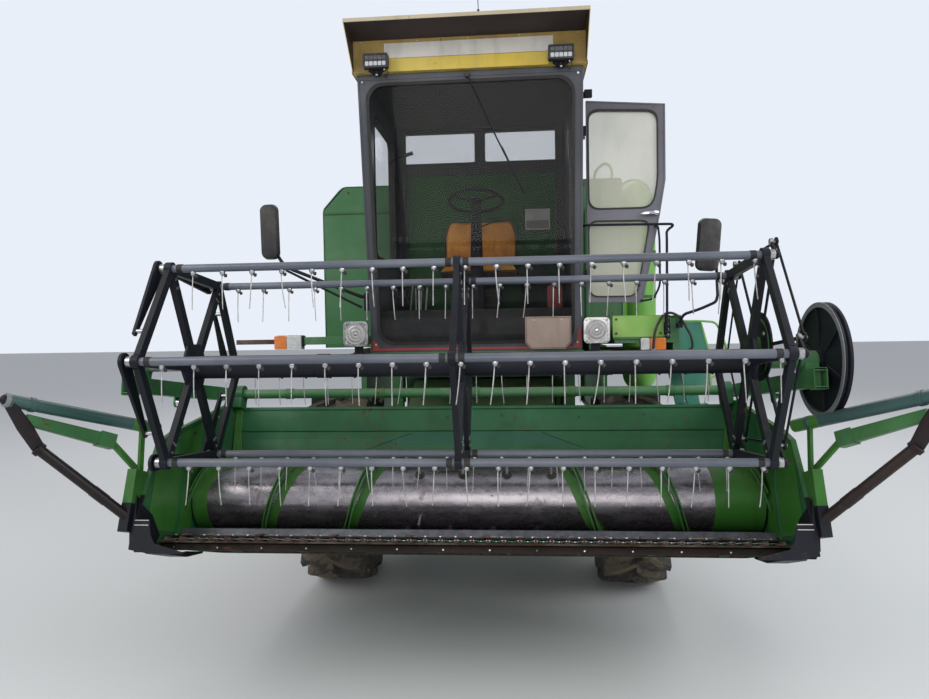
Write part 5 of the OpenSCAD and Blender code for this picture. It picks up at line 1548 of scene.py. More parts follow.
    def indicators(self) -> None:
        """Right: green bar, white and orange lamp and a rusty outer bar; left: lamp under the lime board."""
        y = CAB_FRONT + 30
        bar = Solid()
        bar.add(block(-1136, -671, y - 12, y + 12, 1797, 1847), GREEN)
        bar.add(block(-1580, -1313, y - 8, y + 10, 1803, 1834), RUSTY)
        bar.add(block(-1150, -1120, y - 16, y + 16, 1790, 1856), BLACK)
        bar.add(hexagon_heads([(-1136, y - 16, 1838), (-1136, y - 16, 1806), (-700, y - 12, 1822)], 8, 6, 1,
                              -1), RUSTY)
        bar.make("indicator_bar", "machine", Slot.RUSTY, ("indicator_arms",), bevel=0.0015)
        lamps = Solid()
        for x0, x1, z0, z1, y0, y1, finish in ((-1313, -1233, 1769, 1857, y - 38, y + 30, AMBER),
                                               (-1230, -1137, 1769, 1857, y - 38, y + 30, CLEAR),
                                               (1026, 1079, 1736, 1810, -886, -862, CLEAR),
                                               (1083, 1178, 1736, 1810, -886, -862, AMBER)):
            middle = ((x0 + x1) / 2, 0, (z0 + z1) / 2)
            lamps.add(shifted(plate(rounded(x1 - x0, z1 - z0, 9, 3), y0, y1, 1), *middle), finish)
            count = int((z1 - z0) / 9)
            for k in range(count):
                z = z0 + 6 + k * (z1 - z0 - 12) / (count - 1)
                lamps.add(block(x0 + 6, x1 - 6, y0 - 1.6, y0 + 1, z - 2, z + 2), finish)
        lamps.boxes(BLACK_PLASTIC, (-1316, -1135, y + 28, y + 38, 1767, 1859),
                    (1023, 1181, -863, -850.5, 1734, 1812))
        lamps.make("indicator_lamps", "machine", Slot.LAMP, bevel=0.0015)

    def mirror(self, solid: Solid, centre: tuple, width: float, height: float, lean: float) -> None:
        """A mirror: a bulged rounded case that faces forwards, and its glass on the back.

        Args:
            solid: the solid that it joins.
            centre: middle of the glass.
            width: across the case.
            height: over the case.
            lean: how far its top leans to +X, in degrees.
        """
        outline = rounded(width, height, 38, 6)
        rings = [(1.0, 11), (1.0, -8), (0.97, -20), (0.86, -31), (0.6, -35)]
        points = np.concatenate([np.stack([outline[:, 0] * k, 0 * outline[:, 0] + d, outline[:, 1] * k], 1)
                                 for k, d in rings])
        n = len(outline)
        rim = (len(rings) - 1) * n
        faces = wall_faces(len(rings), n) + [list(range(n))[::-1], list(range(rim, rim + n))]
        for shape, finish in (((points, faces), BLACK_PLASTIC),
                              (plate(rounded(width - 16, height - 16, 30, 6), 10.5, 12.5, 1), MIRROR),
                              (frame_strip(rounded(width + 4, height + 4, 40, 6), 8, 4, 12), SEAL)):
            solid.add(shifted(turned(shape, lean, (0, 0, 0), "Y"), *centre), finish)

    def mirrors(self) -> None:
        """Both mirrors with their bent tubes and clamps."""
        y = CAB_FRONT - 120
        right = Solid()
        self.mirror(right, (1415, y, 2366), 132, 312, 4.5)
        right.add(tube([(1262, -880, 1885), (1275, -900, 1950), (1364, y, 1981), (1458, y, 2022),
                        (1469, y + 2, 2060), (1469, y + 16, 2140), (1466, y + 19, 2300)], 9, 12, bend=40),
                  BLACK)
        right.add(tube([(1466, y + 19, 2296), (1440, y + 19, 2316)], 8, 12), BLACK)
        right.boxes(BLACK, (1420, 1454, y + 12, y + 28, 2296, 2336), (1250, 1279, -891, -840.5, 1870, 1899))
        right.make("mirror_left_side", "machine", Slot.PLASTIC, ("mirrors",), bevel=0.0008)
        left = Solid()
        self.mirror(left, (-1281, y, 2515), 110, 342, -1.0)
        left.add(tube([(-690, -840, 2100), (-728, -850, 2100), (-1190, y, 2294), (-1262, y + 16, 2400),
                       (-1275, y + 16, 2560)], 11, 12, bend=50), BLACK)
        left.add(tube([(-728, -848, 2032), (-1190, y + 10, 2274)], 8, 12), BLACK)
        left.add(block(-712, -671, -862, -820, 2010, 2122), BLACK)
        left.make("mirror_right_side", "machine", Slot.PLASTIC, bevel=0.0008)

    def rails(self) -> None:
        """Hand rail, the lime board with a darker green strip along its lower edge as painted shadow, and the
        bracket with the hose.
        """
        y = CAB_FRONT - 70
        rail = Solid()
        rail.add(tube([(671, -880, 2508), (700, y, 2510), (1212, y, 2503), (1226, y + 24, 2496),
                       (1186, y + 28, 2466), (1182, y, 2420), (1180, y, 1834)], 8, 14, bend=26), BLACK)
        for z in (1889, 1849):
            rail.add(tube([(1181, y, z), (1181, -851, z)], 9, 12), BLACK)
        rail.add(block(1170, 1210, -860, -850.5, 1830, 1905), BLACK)
        rail.make("hand_rails", "machine", Slot.BLACK, ("handrails",))
        board = Solid()
        board.boxes(LIME, (858, 1211, -857, -851, 1803, 1950), (858, 1211, -857, -836, 1946, 1951))
        # Darker green strip on the board's lower edge: painted shadow.
        board.add(block(858, 1211, -862, -856, 1803, 1818), GREEN_WORN)
        board.add(hexagon_heads([(x, -857, z) for x in (880, 1150) for z in (1840, 1928)], 8, 6, 1, -1),
                  RUSTY)
        board.make("front_board", "machine", Slot.GREEN, bevel=0.0015)
        bracket = Solid()
        bracket.add(block(1176, 1206, -872, -857, 1806, 1948), BLACK)
        bracket.add(hexagon_heads([(1191, -872, z) for z in (1826, 1860, 1894, 1928)], 9, 7, 1, -1), CHROME)
        bracket.add(tube([(1100, -890, 1742), (1110, -884, 1860), (1165, -880, 1955), (1209, -880, 1966),
                          (1262, -884, 1940), (1330, -890, 1820), (1342, -880, 1742), (1290, -860, 1720)], 8,
                         12, bend=70), HOSE)
        bracket.add(tube([(1100, -890, 1742), (1100, -860, 1728)], 11, 12), CLAMP)
        bracket.make("hose_bracket", "machine", Slot.BLACK, bevel=0.0006)

    def windows(self) -> None:
        """Seals round the back panes and the side pane."""
        seal = Solid()
        for s in (-1, 1):
            seal.add(shifted(frame_strip(rounded(598, 248, 34), 12, 8, 53), s * 315, 0, CAB_TOP - 160), SEAL)
        points, faces = frame_strip(rounded(712, 912, 66), 12, -674, -626, 0)
        seal.add((points + (0, -480, CAB_TOP - 600), faces), SEAL)
        seal.make("window_seals", "machine", Slot.PLASTIC, smooth=60)

    def linings(self) -> None:
        """Dark linings: under the roof, round the rear panes, in the rear corners and under the screen."""
        solid = Solid()
        solid.boxes(LINING, (-628, 628, -1030, 6, CAB_TOP - 24, CAB_TOP - 4), (-628, 628, -2, 8, 3040, 3128),
                    (-628, 628, -2, 8, 3372, 3388), (-560, -628, -30, 8, 1784, 3388),
                    (560, 628, -30, 8, 1784, 3388), (-40, 40, -6, 8, 3128, 3374),
                    (-632, 632, -800, -770, 1784, 2010))
        solid.make("cab_lining", "machine", Slot.PLASTIC, bevel=0.004)

    def back_wall(self) -> None:
        """Green back wall, darkened as painted shade inside the cab: a sheet with one sharp crease across it
        and three soft bulges, and a placard.
        """
        wall = Solid()
        x, z = np.meshgrid(np.linspace(-558, 558, 25), np.linspace(1790, 3038, 25), indexing="ij")
        y = 2 - 16 * np.clip(1 - np.abs(z - 2783) / 30, 0, 1) - 6 * np.sin((x + 558) / 1116 * np.pi * 3) ** 2
        # Dark green of the back wall: painted shade inside the cab.
        wall.add(bent(np.stack([x, y, z], -1), 4.0), CAB_WALL_PAINTED_SHADE)
        wall.make("cab_back_wall", "machine", Slot.GREEN)
        small = Solid()
        small.boxes(PLACARD, (332, 516, -38, -34, 2612, 2766))
        small.boxes(PLACARD_GREY, (340, 508, -40, -37, 2622, 2680))
        small.make("placard", "machine", Slot.PLASTIC, bevel=0.0006)

    def column(self) -> None:
        """Steering column in its cover, with the stalk, two pedals and the tilted wheel."""
        column = Solid()
        column.add(carried([(0, -655, 1792), (0, -600, 2300), (0, -568, 2700)], rounded(58, 84, 18),
                           (1, 0, 0), [1.5, 1.0, 0.8]), BLACK)
        stalk = (150, -640, 2600)
        column.add(tube([(24, -590, 2560), stalk], 5, 8), BLACK)
        column.add(lathe([(0, 3.0), (4, 9.0), (22, 10.0), (28, 4.0)], stalk, 12), BLACK_PLASTIC)
        column.boxes(RUSTY, (-250, -60, -660, -600, 1782, 1800), (90, 190, -640, -560, 1782, 1796))
        hub_y, hub_z, rim, spoke, tilt = -560, 2740.0, 178, 176, -15
        a = np.linspace(0, 2 * np.pi, 65)[:-1]
        circle = np.stack([rim * np.cos(a), hub_y + rim * np.sin(a), np.full(64, hub_z)], 1)
        wheel = [carried(circle, ring(13, 12), (0, 0, 1), loop=True)]
        wheel += [strap((0, hub_y, hub_z - 4), (spoke * math.cos(t), hub_y + spoke * math.sin(t), hub_z), 20,
                        7, (0, 0, 1)) for t in np.radians((90, 210, 330))]
        boss = [(-24, 26.0), (-16, 42.0), (12, 40.0), (20, 22.0), (21, 2.0)]
        wheel.append(lathe([(hub_z + z, r) for z, r in boss], (0, hub_y, 0), 24, axis=2))
        for shape in wheel:
            column.add(turned(shape, tilt, (0, hub_y, hub_z)), BLACK)
        column.make("column_cover", "machine", Slot.PLASTIC, ("steering_column",), bevel=0.002, smooth=40)

    def levers(self) -> None:
        """Four control levers out of their box, and the knobs and cords at the side and under the roof."""
        levers = Solid()
        for k, (x, y, lean) in enumerate(((-424, -585, 0.03), (-392, -588, 0.0), (-360, -584, 0.02),
                                          (-470, -560, 0.05))):
            top = (x + 8 * k, y + 40, 2170 + 24 * (k % 2))
            levers.add(tube([(x, y, 1850), (x + 4, y + 10 + 300 * lean, 2000), top], 5.5, 10, bend=60), TINE)
        levers.boxes(LINING, (-500, -330, -640, -540, 1800, 1856))
        levers.make("lever_rods", "machine", Slot.WORN, ("control_levers",))
        knobs = Solid()
        for x in (-580, -536, -492):
            knobs.add(lathe([(2488, 6.0), (2494, 15.0), (2508, 19.0), (2524, 17.0), (2534, 6.0), (2536, 1.0)],
                            (x, -429, 0), 16, axis=2), BLACK_PLASTIC)
            knobs.add(lathe([(2112, 20.0), (2134, 17.0), (2150, 11.0), (2154, 10.5)], (x, -401, 0), 14,
                            axis=2), SEAL)
        knobs.add(tube([(-600, -500, 3030), (-536, -500, 3063), (-432, -500, 3093)], 7, 10), BLACK)
        knobs.add(tube([(-500, -500, 3073), (-432, -500, 3093)], 13, 12), BLACK_PLASTIC)
        knobs.make("lever_knobs", "machine", Slot.PLASTIC)

    def floor(self) -> None:
        """Ribbed floor mat, and the cupboard with a red canister by the door."""
        mat = Solid()
        x, y = np.meshgrid(np.linspace(-610, 610, 123), np.linspace(-770, -10, 3), indexing="ij")
        mat.add(bent(np.stack([x, y, 1786 + 3 * (np.arange(123) % 2)[:, None] + 0 * y], -1), -5.0), SEAL)
        mat.make("floor_mat", "machine", Slot.PLASTIC, smooth=20)
        box = Solid()
        box.boxes(LINING, (300, 500, -60, -34, 1786, 2350))
        box.add(shifted(plate(rounded(110, 170, 30), -90, -40, 1), 530, -240, 2100), RED)
        box.make("cab_cupboard", "machine", Slot.PLASTIC, bevel=0.004)


@dataclass
class Seat:
    """Driver's seat: crowned cushions with sewn channels over a bellows.

    Attributes:
        width: across the seat.
    """
    width: float = 0.548

    def cushion(self, depth: float, thick: float, rows: int = 34, cols: int = 42,
                round_top: bool = False) -> Array:
        """Upper skin of a cushion over its flat plan, in metres from its middle.

        Crown = thick * (1 - |u|^4)(1 - |v|^4) to the power 0.45, less a narrow dip at each sewn channel.

        Args:
            depth: size along v.
            thick: height of the crown.
            rows: points along u.
            cols: points along v.
            round_top: whether the far corners are rounded off widely.
        Returns:
            Grid of (x, v, height).
        """
        u, v = np.meshgrid(np.linspace(-1, 1, cols), np.linspace(-1, 1, rows), indexing="ij")
        crown = ((1 - np.abs(u) ** 4) * (1 - np.abs(v) ** 4)) ** 0.45
        dips = sum(np.exp(-((u - c) / 0.035) ** 2) for c in (-0.42, 0.0, 0.42))
        inner = np.clip(1.35 - np.abs(v) * 1.35, 0, 1) ** 0.5
        height = thick * (crown - 0.16 * dips * inner * crown)
        narrow = 1 - (0.2 * np.clip(v, 0, 1) ** 3 if round_top else 0.0)
        return np.stack([u * self.width / 2 * narrow, v * depth / 2, height], -1)

    def pad(self, name: str, depth: float, thick: float, spin: float, middle: tuple, round_top: bool) -> None:
        """One closed pad: the crowned skin above, a flat skin below, joined round the rim.

        Args:
            name: piece name.
            depth: size along the pad.
            thick: height of its crown.
            spin: how far it is tipped up about X, in degrees.
            middle: where its underside's middle lies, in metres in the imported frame.
            round_top: whether the far corners are rounded off widely.
        """
        top = self.cushion(depth, thick, round_top=round_top)
        low = top.copy()
        low[..., 2] = -thick * 0.18 * (top[..., 2] / thick)
        cols, rows = top.shape[:2]
        n = cols * rows
        rim = [*range(0, rows), *range(2 * rows - 1, n, rows), *range(n - 2, n - rows - 1, -1),
               *range(n - 2 * rows, 0, -rows)]
        merge = {n + i: i for i in rim}
        points = np.concatenate([top.reshape(-1, 3), low.reshape(-1, 3)])
        faces = sheet_faces(cols, rows) + [[merge.get(i + n, i + n) for i in f[::-1]]
                                           for f in sheet_faces(cols, rows)]
        keep = np.ones(len(points), bool)
        keep[list(merge)] = False
        number = np.cumsum(keep) - 1
        shape = turned((points[keep], [[int(number[i]) for i in f] for f in faces]), spin, (0, 0, 0))
        solid = Solid(Place.WORLD)
        solid.add(shifted(shape, *middle), VINYL)
        piece = solid.make(name, "machine", Slot.VINYL, ("seat_cushion",), smooth=180)
        self.fill(piece)
        self.piping(name, shape, middle, rim)

    def piping(self, name: str, shape: Shape, middle: tuple, rim: list) -> None:
        """A welt sewn round the rim of a pad, following its edge points.

        Args:
            name: the pad's name.
            shape: the pad as turned.
            middle: where it stands.
            rim: numbers of its edge points.
        """
        path = shape[0][rim][::2] * 0.994 + middle
        solid = Solid(Place.WORLD)
        solid.add(carried(path, ring(0.0042, 8), (0.11, 0.93, 0.35), loop=True), PIPING)
        solid.make(f"{name}_welt", "machine", Slot.VINYL)

    def fill(self, piece: bpy.types.Object) -> None:
        """Lets the pad settle as cloth under its own pressure, moving no point by more than 12 mm.

        Args:
            piece: the pad.
        """
        before = np.empty(len(piece.data.vertices) * 3)
        piece.data.vertices.foreach_get("co", before)
        cloth = piece.modifiers.new("cloth", "CLOTH")
        cloth.settings.use_pressure = True
        cloth.settings.uniform_pressure_force = 4.0
        cloth.settings.effector_weights.gravity = 0.0
        cloth.settings.quality = 6
        for number in range(1, 16):
            bpy.context.scene.frame_set(number)
        settled = piece.evaluated_get(bpy.context.evaluated_depsgraph_get())
        after = np.empty(len(before))
        settled.data.vertices.foreach_get("co", after)
        piece.modifiers.remove(cloth)
        bpy.context.scene.frame_set(1)
        move = (after - before).reshape(-1, 3)
        far = np.linalg.norm(move, axis=1, keepdims=True)
        move *= np.minimum(1.0, 0.012 / np.maximum(far, 1e-9))
        piece.data.vertices.foreach_set("co", (before.reshape(-1, 3) + move).ravel())
        piece.data.update()

    def build(self) -> None:
        """Builds both cushions and the bellows under them."""
        self.pad("seat_pad", 0.352, 0.062, 0, (0, -0.24 + AXLE_Y, 2.282), False)
        self.pad("seat_back_pad", 0.33, 0.05, 90, (0, -0.032 + AXLE_Y, 2.52), True)
        solid = Solid()
        for k in range(9):
            z = 1783 + k * 50
            w = 158 if k % 2 else 140
            solid.add(carried([(0, -220, z), (0, -220, z + 26), (0, -220, z + 50)],
                              rounded(2 * w, 2 * w - 40, 40), (0, 1, 0), [1.0, 0.9 if k % 2 else 1.1, 1.0]),
                      SEAL)
        solid.boxes(BLACK, (-262, 262, -405, -70, 2236, 2266), (-240, 240, -34, -22, 2290, 2640))
        solid.make("seat_bellows", "machine", Slot.BLACK, ("seat_base",), bevel=0.002)


@dataclass
class Door:
    """The open door: its pressed frame, panes, seals, hinge leaves, handle and grab rail.

    Measures are taken along the door from its hinge and up from its lower edge.

    Attributes:
        x: where the door's inner edge lies.
        y: plane of the door.
        z: its lower edge.
        width: across the door.
        height: over the door.
        bar: height of the bar between the panes.
    """
    x: float = 706.0
    y: float = -850.0
    z: float = 2030.0
    width: float = 480.0
    height: float = 1250.0
    bar: float = 555.0

    def build(self) -> None:
        """Builds the door."""
        w, h, bar = self.width, self.height, self.bar
        knee = (w - 40, bar - 17)
        upper = np.array([(0, bar + 4), (w - 37, bar + 4), (w, 752), (w, h - 36), (0, h)], float)
        lower = np.array([(0, 8), (w - 143, 0), knee, (w - 37, bar + 4), (0, bar + 4)], float)
        top_hole = self.softened(np.array([(8, 579), (w - 78, 579), (w - 43, 740), (w - 43, h - 68),
                                           (8, h - 50)], float), 72)
        low_hole = self.softened(np.array([(8, 38), (w - 176, 36), (w - 92, bar - 45), (8, bar - 41)], float),
                                 60)
        frame_piece = Solid()
        seals = Solid()
        glass = Solid()
        for outer, hole in ((upper, top_hole), (lower, low_hole)):
            frame_piece.add(self.stood(pane_frame(outer, hole, -13, 13)), DOOR_GREY)
            inner = hole.mean(0) + (hole - hole.mean(0)) * 0.965
            seals.add(self.stood(pane_frame(hole, inner, -17, 17)), SEAL)
            # The panes' pale cream cover is a painted reflection.
            glass.add(self.stood(plate(hole.mean(0) + (hole - hole.mean(0)) * 0.985, -3, 3, 1)), DOOR_PANE_PAINTED_REFLECTION)
        for a, b in (((w - 4, 752), (w - 4, h - 36)), ((w - 4, h - 40), (4, h - 4)), (knee, (w - 4, 752)),
                     ((w - 147, 4), knee)):
            frame_piece.add(self.stood(strap((a[0], -13, a[1]), (b[0], -13, b[1]), 9, 6, (0, 1, 0))),
                            DOOR_GREY)
        for z in (150, h - 210):
            frame_piece.add(self.stood(block(-19, 8, -9, 9, z + 0.5, z + 59.5)), BLACK)
        frame_piece.make("door_frame", "door", Slot.GREY, ("cab_door",), bevel=0.0015)
        seals.make("door_seals", "door", Slot.PLASTIC, smooth=60)
        glass.make("door_panes", "door", Slot.GLASS, ("door_glass",))
        self.fittings()

    def stood(self, shape: Shape) -> Shape:
        """A shape of the door's own frame, stood where the door hangs."""
        return shifted(shape, self.x, self.y, self.z)

    @staticmethod
    def softened(corners: Array, radius: float, steps: int = 7) -> Array:
        """An outline with each corner rounded: a curve from one side to the next, pulled by the corner.

        Args:
            corners: corner points, anticlockwise.
            radius: how far from the corner the curve starts.
            steps: points in each curve.
        Returns:
            Points of the rounded outline.
        """
        before = unit(np.roll(corners, 1, 0) - corners) * radius
        after = unit(np.roll(corners, -1, 0) - corners) * radius
        t = np.linspace(0, 1, steps)[None, :, None]
        start, end, mid = (corners + before)[:, None], (corners + after)[:, None], corners[:, None]
        return ((1 - t) ** 2 * start + 2 * t * (1 - t) * mid + t ** 2 * end).reshape(-1, 2)

    def fittings(self) -> None:
        """Handle, grab rail and the stop that holds the door open."""
        metal = Solid()
        metal.add(carried([(1030, -880, 2574), (1060, -886, 2577), (1110, -884, 2580), (1140, -872, 2582)],
                          rounded(14, 22, 6), (0, 0, 1), [0.3, 1.0, 1.1, 0.8]), CHROME)
        metal.add(lathe([(-864, 17.0), (-876, 15.0), (-880, 4.0)], (1128, 0, 2580), 20, axis=1), CHROME)
        metal.make("door_handle", "door", Slot.CHROME, bevel=0.001)
        grab = Solid()
        grab.add(tube([(1118, -864, 2500), (1136, -878, 2496), (1144, -880, 2420), (1145, -880, 2130),
                       (1104, -880, 2050), (1050, -876, 2042), (1030, -864, 2042)], 6.5, 12, bend=34), BLACK)
        grab.make("door_grab_rail", "door", Slot.BLACK)
        head = Solid()
        head.boxes(BLACK, (696, 744, -884, -866, 3296, 3345), (671, 740, -866, -846, 3300, 3338))
        head.make("door_stop", "machine", Slot.BLACK, bevel=0.003)


# Header


@dataclass
class HeaderTrim:
    """Folds, plates, bolts, knife and shoes of the header's trough.

    Measures are millimetres in the header's own frame: x, back from the knife, square to that.

    Attributes:
        half: half of the trough's width.
        depth: how far the trough's back wall lies behind the knife.
        wall: height of the back wall; not used.
        opening: half of the feeder's mouth.
    """
    half: float = 1560.0
    depth: float = 755.0
    wall: float = 850.0
    opening: float = 480.0

    def build(self) -> None:
        """Builds the header's trim."""
        self.back()
        self.ends()
        self.floor()
        self.knife()
        self.shoes()

    def back(self) -> None:
        """Back wall: rolled top edge, stepped fold, slanted plates beside the mouth, posts and bolts."""
        b, h = self.depth, self.half
        solid = Solid(Place.HEADER)
        step = [(b, 852), (b - 14, 848), (b - 14, 712), (b - 12, 704), (b - 5, 702), (b - 3, 560), (b, 560)]
        solid.add(plate(step, -h + 3, h - 3), GREEN_HEADER)
        solid.add(plate([(b - 22, 842), (b - 22, 860), (b + 14, 860), (b + 14, 842), (b + 4, 850),
                         (b - 8, 850)], -h + 3, h - 3), GREEN_HEADER)
        mouth = [(830, 26), (830, 540), (795, 554), (410, 697), (-410, 697), (-795, 554), (-830, 540),
                 (-830, 26), (-self.opening - 2, 26), (-self.opening - 2, 562), (self.opening + 2, 562),
                 (self.opening + 2, 26)]
        solid.add(plate(mouth, b - 9, b - 2.5, 1), TEAL_PANEL)
        for s in (-1, 1):
            edge = [(s * 408, b - 11, 694), (s * 795, b - 11, 551), (s * 828, b - 11, 60)]
            solid.add(strap(edge[0], edge[1], 8, 5, (0, 1, 0)), TEAL_PANEL)
            solid.add(strap(edge[1], edge[2], 8, 5, (0, 1, 0)), TEAL_PANEL)
            solid.add(block(s * self.opening, s * (self.opening + 16), b - 60, b - 2, 24, 560), GREEN_HEADER)
            solid.add(strap((s * 1528, b - 14, 540), (s * 1540, b - 16, 930), 44, 26, (0, 1, 0)),
                      GREEN_FLIGHT)
            solid.add(strap((s * 1500, b - 30, 560), (s * 1528, b - 16, 700), 30, 10, (0, 1, 0)),
                      GREEN_FLIGHT)
        solid.add(block(-self.opening - 8, self.opening + 8, b - 52, b - 2, 560, 584), GREEN_HEADER)
        solid.make("header_back", "header", Slot.GREEN, bevel=0.003)
        bolts = Solid(Place.HEADER)
        places = [(x, b - 14, u) for x, u in ((-1180, 786), (-700, 800), (-180, 790), (160, 798), (640, 786),
                                              (1040, 800), (1290, 776))]
        bolts.add(hexagon_heads(places, 7, 4, 1, -1), RUSTY)
        edge = [(s * (self.opening + 60 + 110 * k), b - 8, 90 + 60 * j) for s in (-1, 1) for k in range(5)
                for j in (0, 7)]
        bolts.add(hexagon_heads(edge, 8, 5, 1, -1), RUSTY)
        bolts.make("header_bolts", "header", Slot.GREEN)

    def ends(self) -> None:
        """End sheets: bent rims, inner panels in a lighter green as painted light on their inner faces, worn
        edges, bosses and stiffeners outside.
        """
        h = self.half
        rim = [(-250, -40), (-272, 40), (-228, 195), (-150, 468), (-40, 538), (620, 853), (758, 853)]
        solid = Solid(Place.HEADER)
        for s in (-1, 1):
            x = s * (h + 4)
            for k, ((b0, u0), (b1, u1)) in enumerate(zip(rim, rim[1:])):
                solid.add(strap((x, b0, u0), (x, b1, u1), 10, 26), BLACK if k < 2 else GREEN_WORN)
            # The inner panels wear the lighter flight green: painted light on the end sheets' inner faces.
            panel = [(-150, 440), (-40, 505), (300, 668), (300, 40), (-150, 40)]
            solid.add(plate(panel, s * (h - 3), s * (h - 1)), GREEN_FLIGHT)
            fold = [(20, 520), (120, 300), (120, 24), (136, 24), (136, 306), (38, 528)]
            solid.add(plate(fold, s * (h - 14), s * (h - 1)), GREEN_HEADER)
            for k, (b, u) in enumerate(((-100, 380), (0, 470), (210, 590), (480, 740), (690, 780),
                                        (690, 520))):
                solid.add(hexagon_heads([(s * (h - 1), b, u)], 10, 7, 0, -s), CLAMP if k % 2 else RUSTY)
                solid.add(hexagon_heads([(s * (h + 8), b, u)], 11, 8, 0, s), RUSTY)
            web = [(200, 20), (560, 20), (560, 60), (240, 60), (240, 560), (200, 540)]
            solid.add(plate(web, s * (h + 8), s * (h + 20)), GREEN_HEADER)
            solid.add(lathe([(s * (h + 8), 95.0), (s * (h + 22), 92.0), (s * (h + 30), 60.0),
                             (s * (h + 46), 44.0), (s * (h + 50), 10.0)], AUGER_AXIS, 32), GREEN_HEADER)
            bolts = around((s * (h + 14), *AUGER_AXIS[1:]), 76, 6)
            solid.add(hexagon_heads(bolts, 10, 12, 0, s), CLAMP)
        solid.make("header_end_trim", "header", Slot.GREEN, bevel=0.002)

    def floor(self) -> None:
        """Trough floor: worn grey strip behind the knife, curved pan under the auger in near black as painted
        shadow, and its ribs.
        """
        solid = Solid(Place.HEADER)
        solid.add(plate([(66, 14), (192, 16), (206, 62), (216, 66), (216, 70), (203, 66), (189, 19),
                         (66, 17)], -self.half + 6, self.half - 6), STRIP_STEEL)
        # The pan's flat front, near black: painted shadow under the drum.
        solid.add(plate([(212, 62), (352, 24), (352, 29), (214, 66)], -self.half + 6, self.half - 6),
                  PAN_PAINTED_SHADE)
        a = np.linspace(-0.33, 0.75, 15)
        x, t = np.meshgrid(np.linspace(-self.half + 4, self.half - 4, 41), a, indexing="ij")
        (_, back, up), radius = AUGER_AXIS, 258.0
        pan = np.stack([x, back + radius * np.sin(t), up - radius * np.cos(t) + 14], -1)
        # The curved pan, near black: painted shadow under the drum.
        solid.add(bent(pan, 3.0), PAN_PAINTED_SHADE)
        solid.make("header_pan", "header", Slot.WORN, smooth=50)
        under = Solid(Place.HEADER)
        for x in np.linspace(-1400, 1400, 8):
            under.add(plate([(40, -40), (700, -40), (700, -8), (40, -8)], x - 6, x + 6), GREEN_HEADER)
        under.make("header_ribs", "header", Slot.GREEN, bevel=0.001)

    def knife(self) -> None:
        """Cutter bar: rusty lip with bolts, a near-black plate on a beam's front face as painted shadow,
        straw bits, sharp sections on the knife and hold-down clips.
        """
        lip = Solid(Place.HEADER)
        h = self.half
        # Near-black plate over the beam's front face below the lip: painted shadow.
        lip.add(plate([(711, -46), (714.7, -46), (714.7, -1), (711, -1)], -h + 3, h - 3), RUST_BROWN_AND_SHADE)
        lip.add(plate([(-18, -54), (8, -54), (16, -30), (60, -14), (60, -8), (-2, -22)], -h + 14, h - 14),
                RUST_BROWN_AND_SHADE)
        lip.add(plate([(54, -49), (59.6, -49), (59.6, -4), (54, -4)], -h + 3, h - 3), RUST_BROWN_AND_SHADE)
        lip.add(plate([(8, 12), (66, 20), (66, 24), (8, 17)], -h + 14, h - 14), RUST_BROWN_AND_SHADE)
        xs = np.arange(-h + 60, h - 50, 76.2)
        lip.add(hexagon_heads([(x, 38, 21) for x in xs], 9, 7, 2), CLAMP)
        lip.add(hexagon_heads([(x + 20, -8, -40) for x in xs[::3]], 5, 5, 1, -1), CLAMP)
        for x in xs[1::5]:
            lip.add(plate([(-34, 18), (40, 26), (40, 32), (-30, 25)], x - 17, x + 17), RUSTY)
        rng = np.random.default_rng(41)
        for _ in range(70):
            x, b = rng.uniform(-h + 60, h - 60), rng.uniform(-10, 90)
            angle, length = rng.uniform(0, math.pi), rng.uniform(18, 60)
            end = (x + length * math.cos(angle), b + 0.4 * length * math.sin(angle), 24 + rng.uniform(0, 8))
            lip.add(tube([(x, b, 24), end], 1.4, 5), STRAW)
        lip.make("cutter_lip", "header", Slot.RUSTY, bevel=0.0012)
        blades = Solid(Place.HEADER)
        section = plate([(-36.5, -13), (-9, -76), (9, -76), (36.5, -13), (36.5, 10), (-36.5, 10)], 3.6, 4.6,
                        2)
        places = [((i - 19.5) * 76.2, 0, 0) for i in range(1, 39)]
        blades.add(many(section, places), KNIFE)
        blades.add(many(lathe([(4.4, 1.5), (4.4, 6.0), (6.6, 5.0), (7.4, 1.5)], (0, 0, 0), 10, axis=2),
                        [(x + dx, -2, 0) for x, _, _ in places for dx in (-18, 18)]), CLAMP)
        blades.make("knife_sections", "sickle", Slot.WORN, bevel=0.0004)

    def shoes(self) -> None:
        """Black skid shoes and corner plates under the front corners, with white lines on their noses."""
        solid = Solid(Place.HEADER)
        for s in (-1, 1):
            x0, x1 = s * (self.half - 95), s * (self.half + 4)
            sole = [(-190, -46), (-120, -76), (120, -84), (300, -60), (300, -50), (120, -72), (-118, -64),
                    (-182, -38)]
            solid.add(plate(sole, x0, x1), BLACK)
            corner = [(-252, -46), (-210, -72), (-60, -68), (40, -44), (40, 40), (-120, 130), (-262, 190),
                      (-278, 40)]
            solid.add(plate(corner, s * (self.half + 8), s * (self.half + 12)), BLACK)
            solid.add(plate([(-250, -44), (-60, -44), (-20, 20), (-120, 110), (-252, 160), (-274, 40)],
                            s * (self.half - 5), s * (self.half - 1)), BLACK)
            nose = [(1562, 196), (1549, 76), (1482, 76), (1464, 6), (1440, -34), (1300, -70), (1300, -80),
                    (1470, -78), (1562, -62)]
            solid.add(plate([(s * x, u) for x, u in nose], -284, -277, 1), BLACK)
            for u in (72, 50):
                solid.add(block(s * 1480, s * 1550, -287, -283.5, u - 2, u + 2), SIGN)
            solid.add(hexagon_heads([(s * (self.half + 12), b, -20) for b in (-230, -130, -40)], 10, 7, 0, s),
                      RUSTY)
        solid.make("skid_shoes", "header", Slot.BLACK, bevel=0.002)


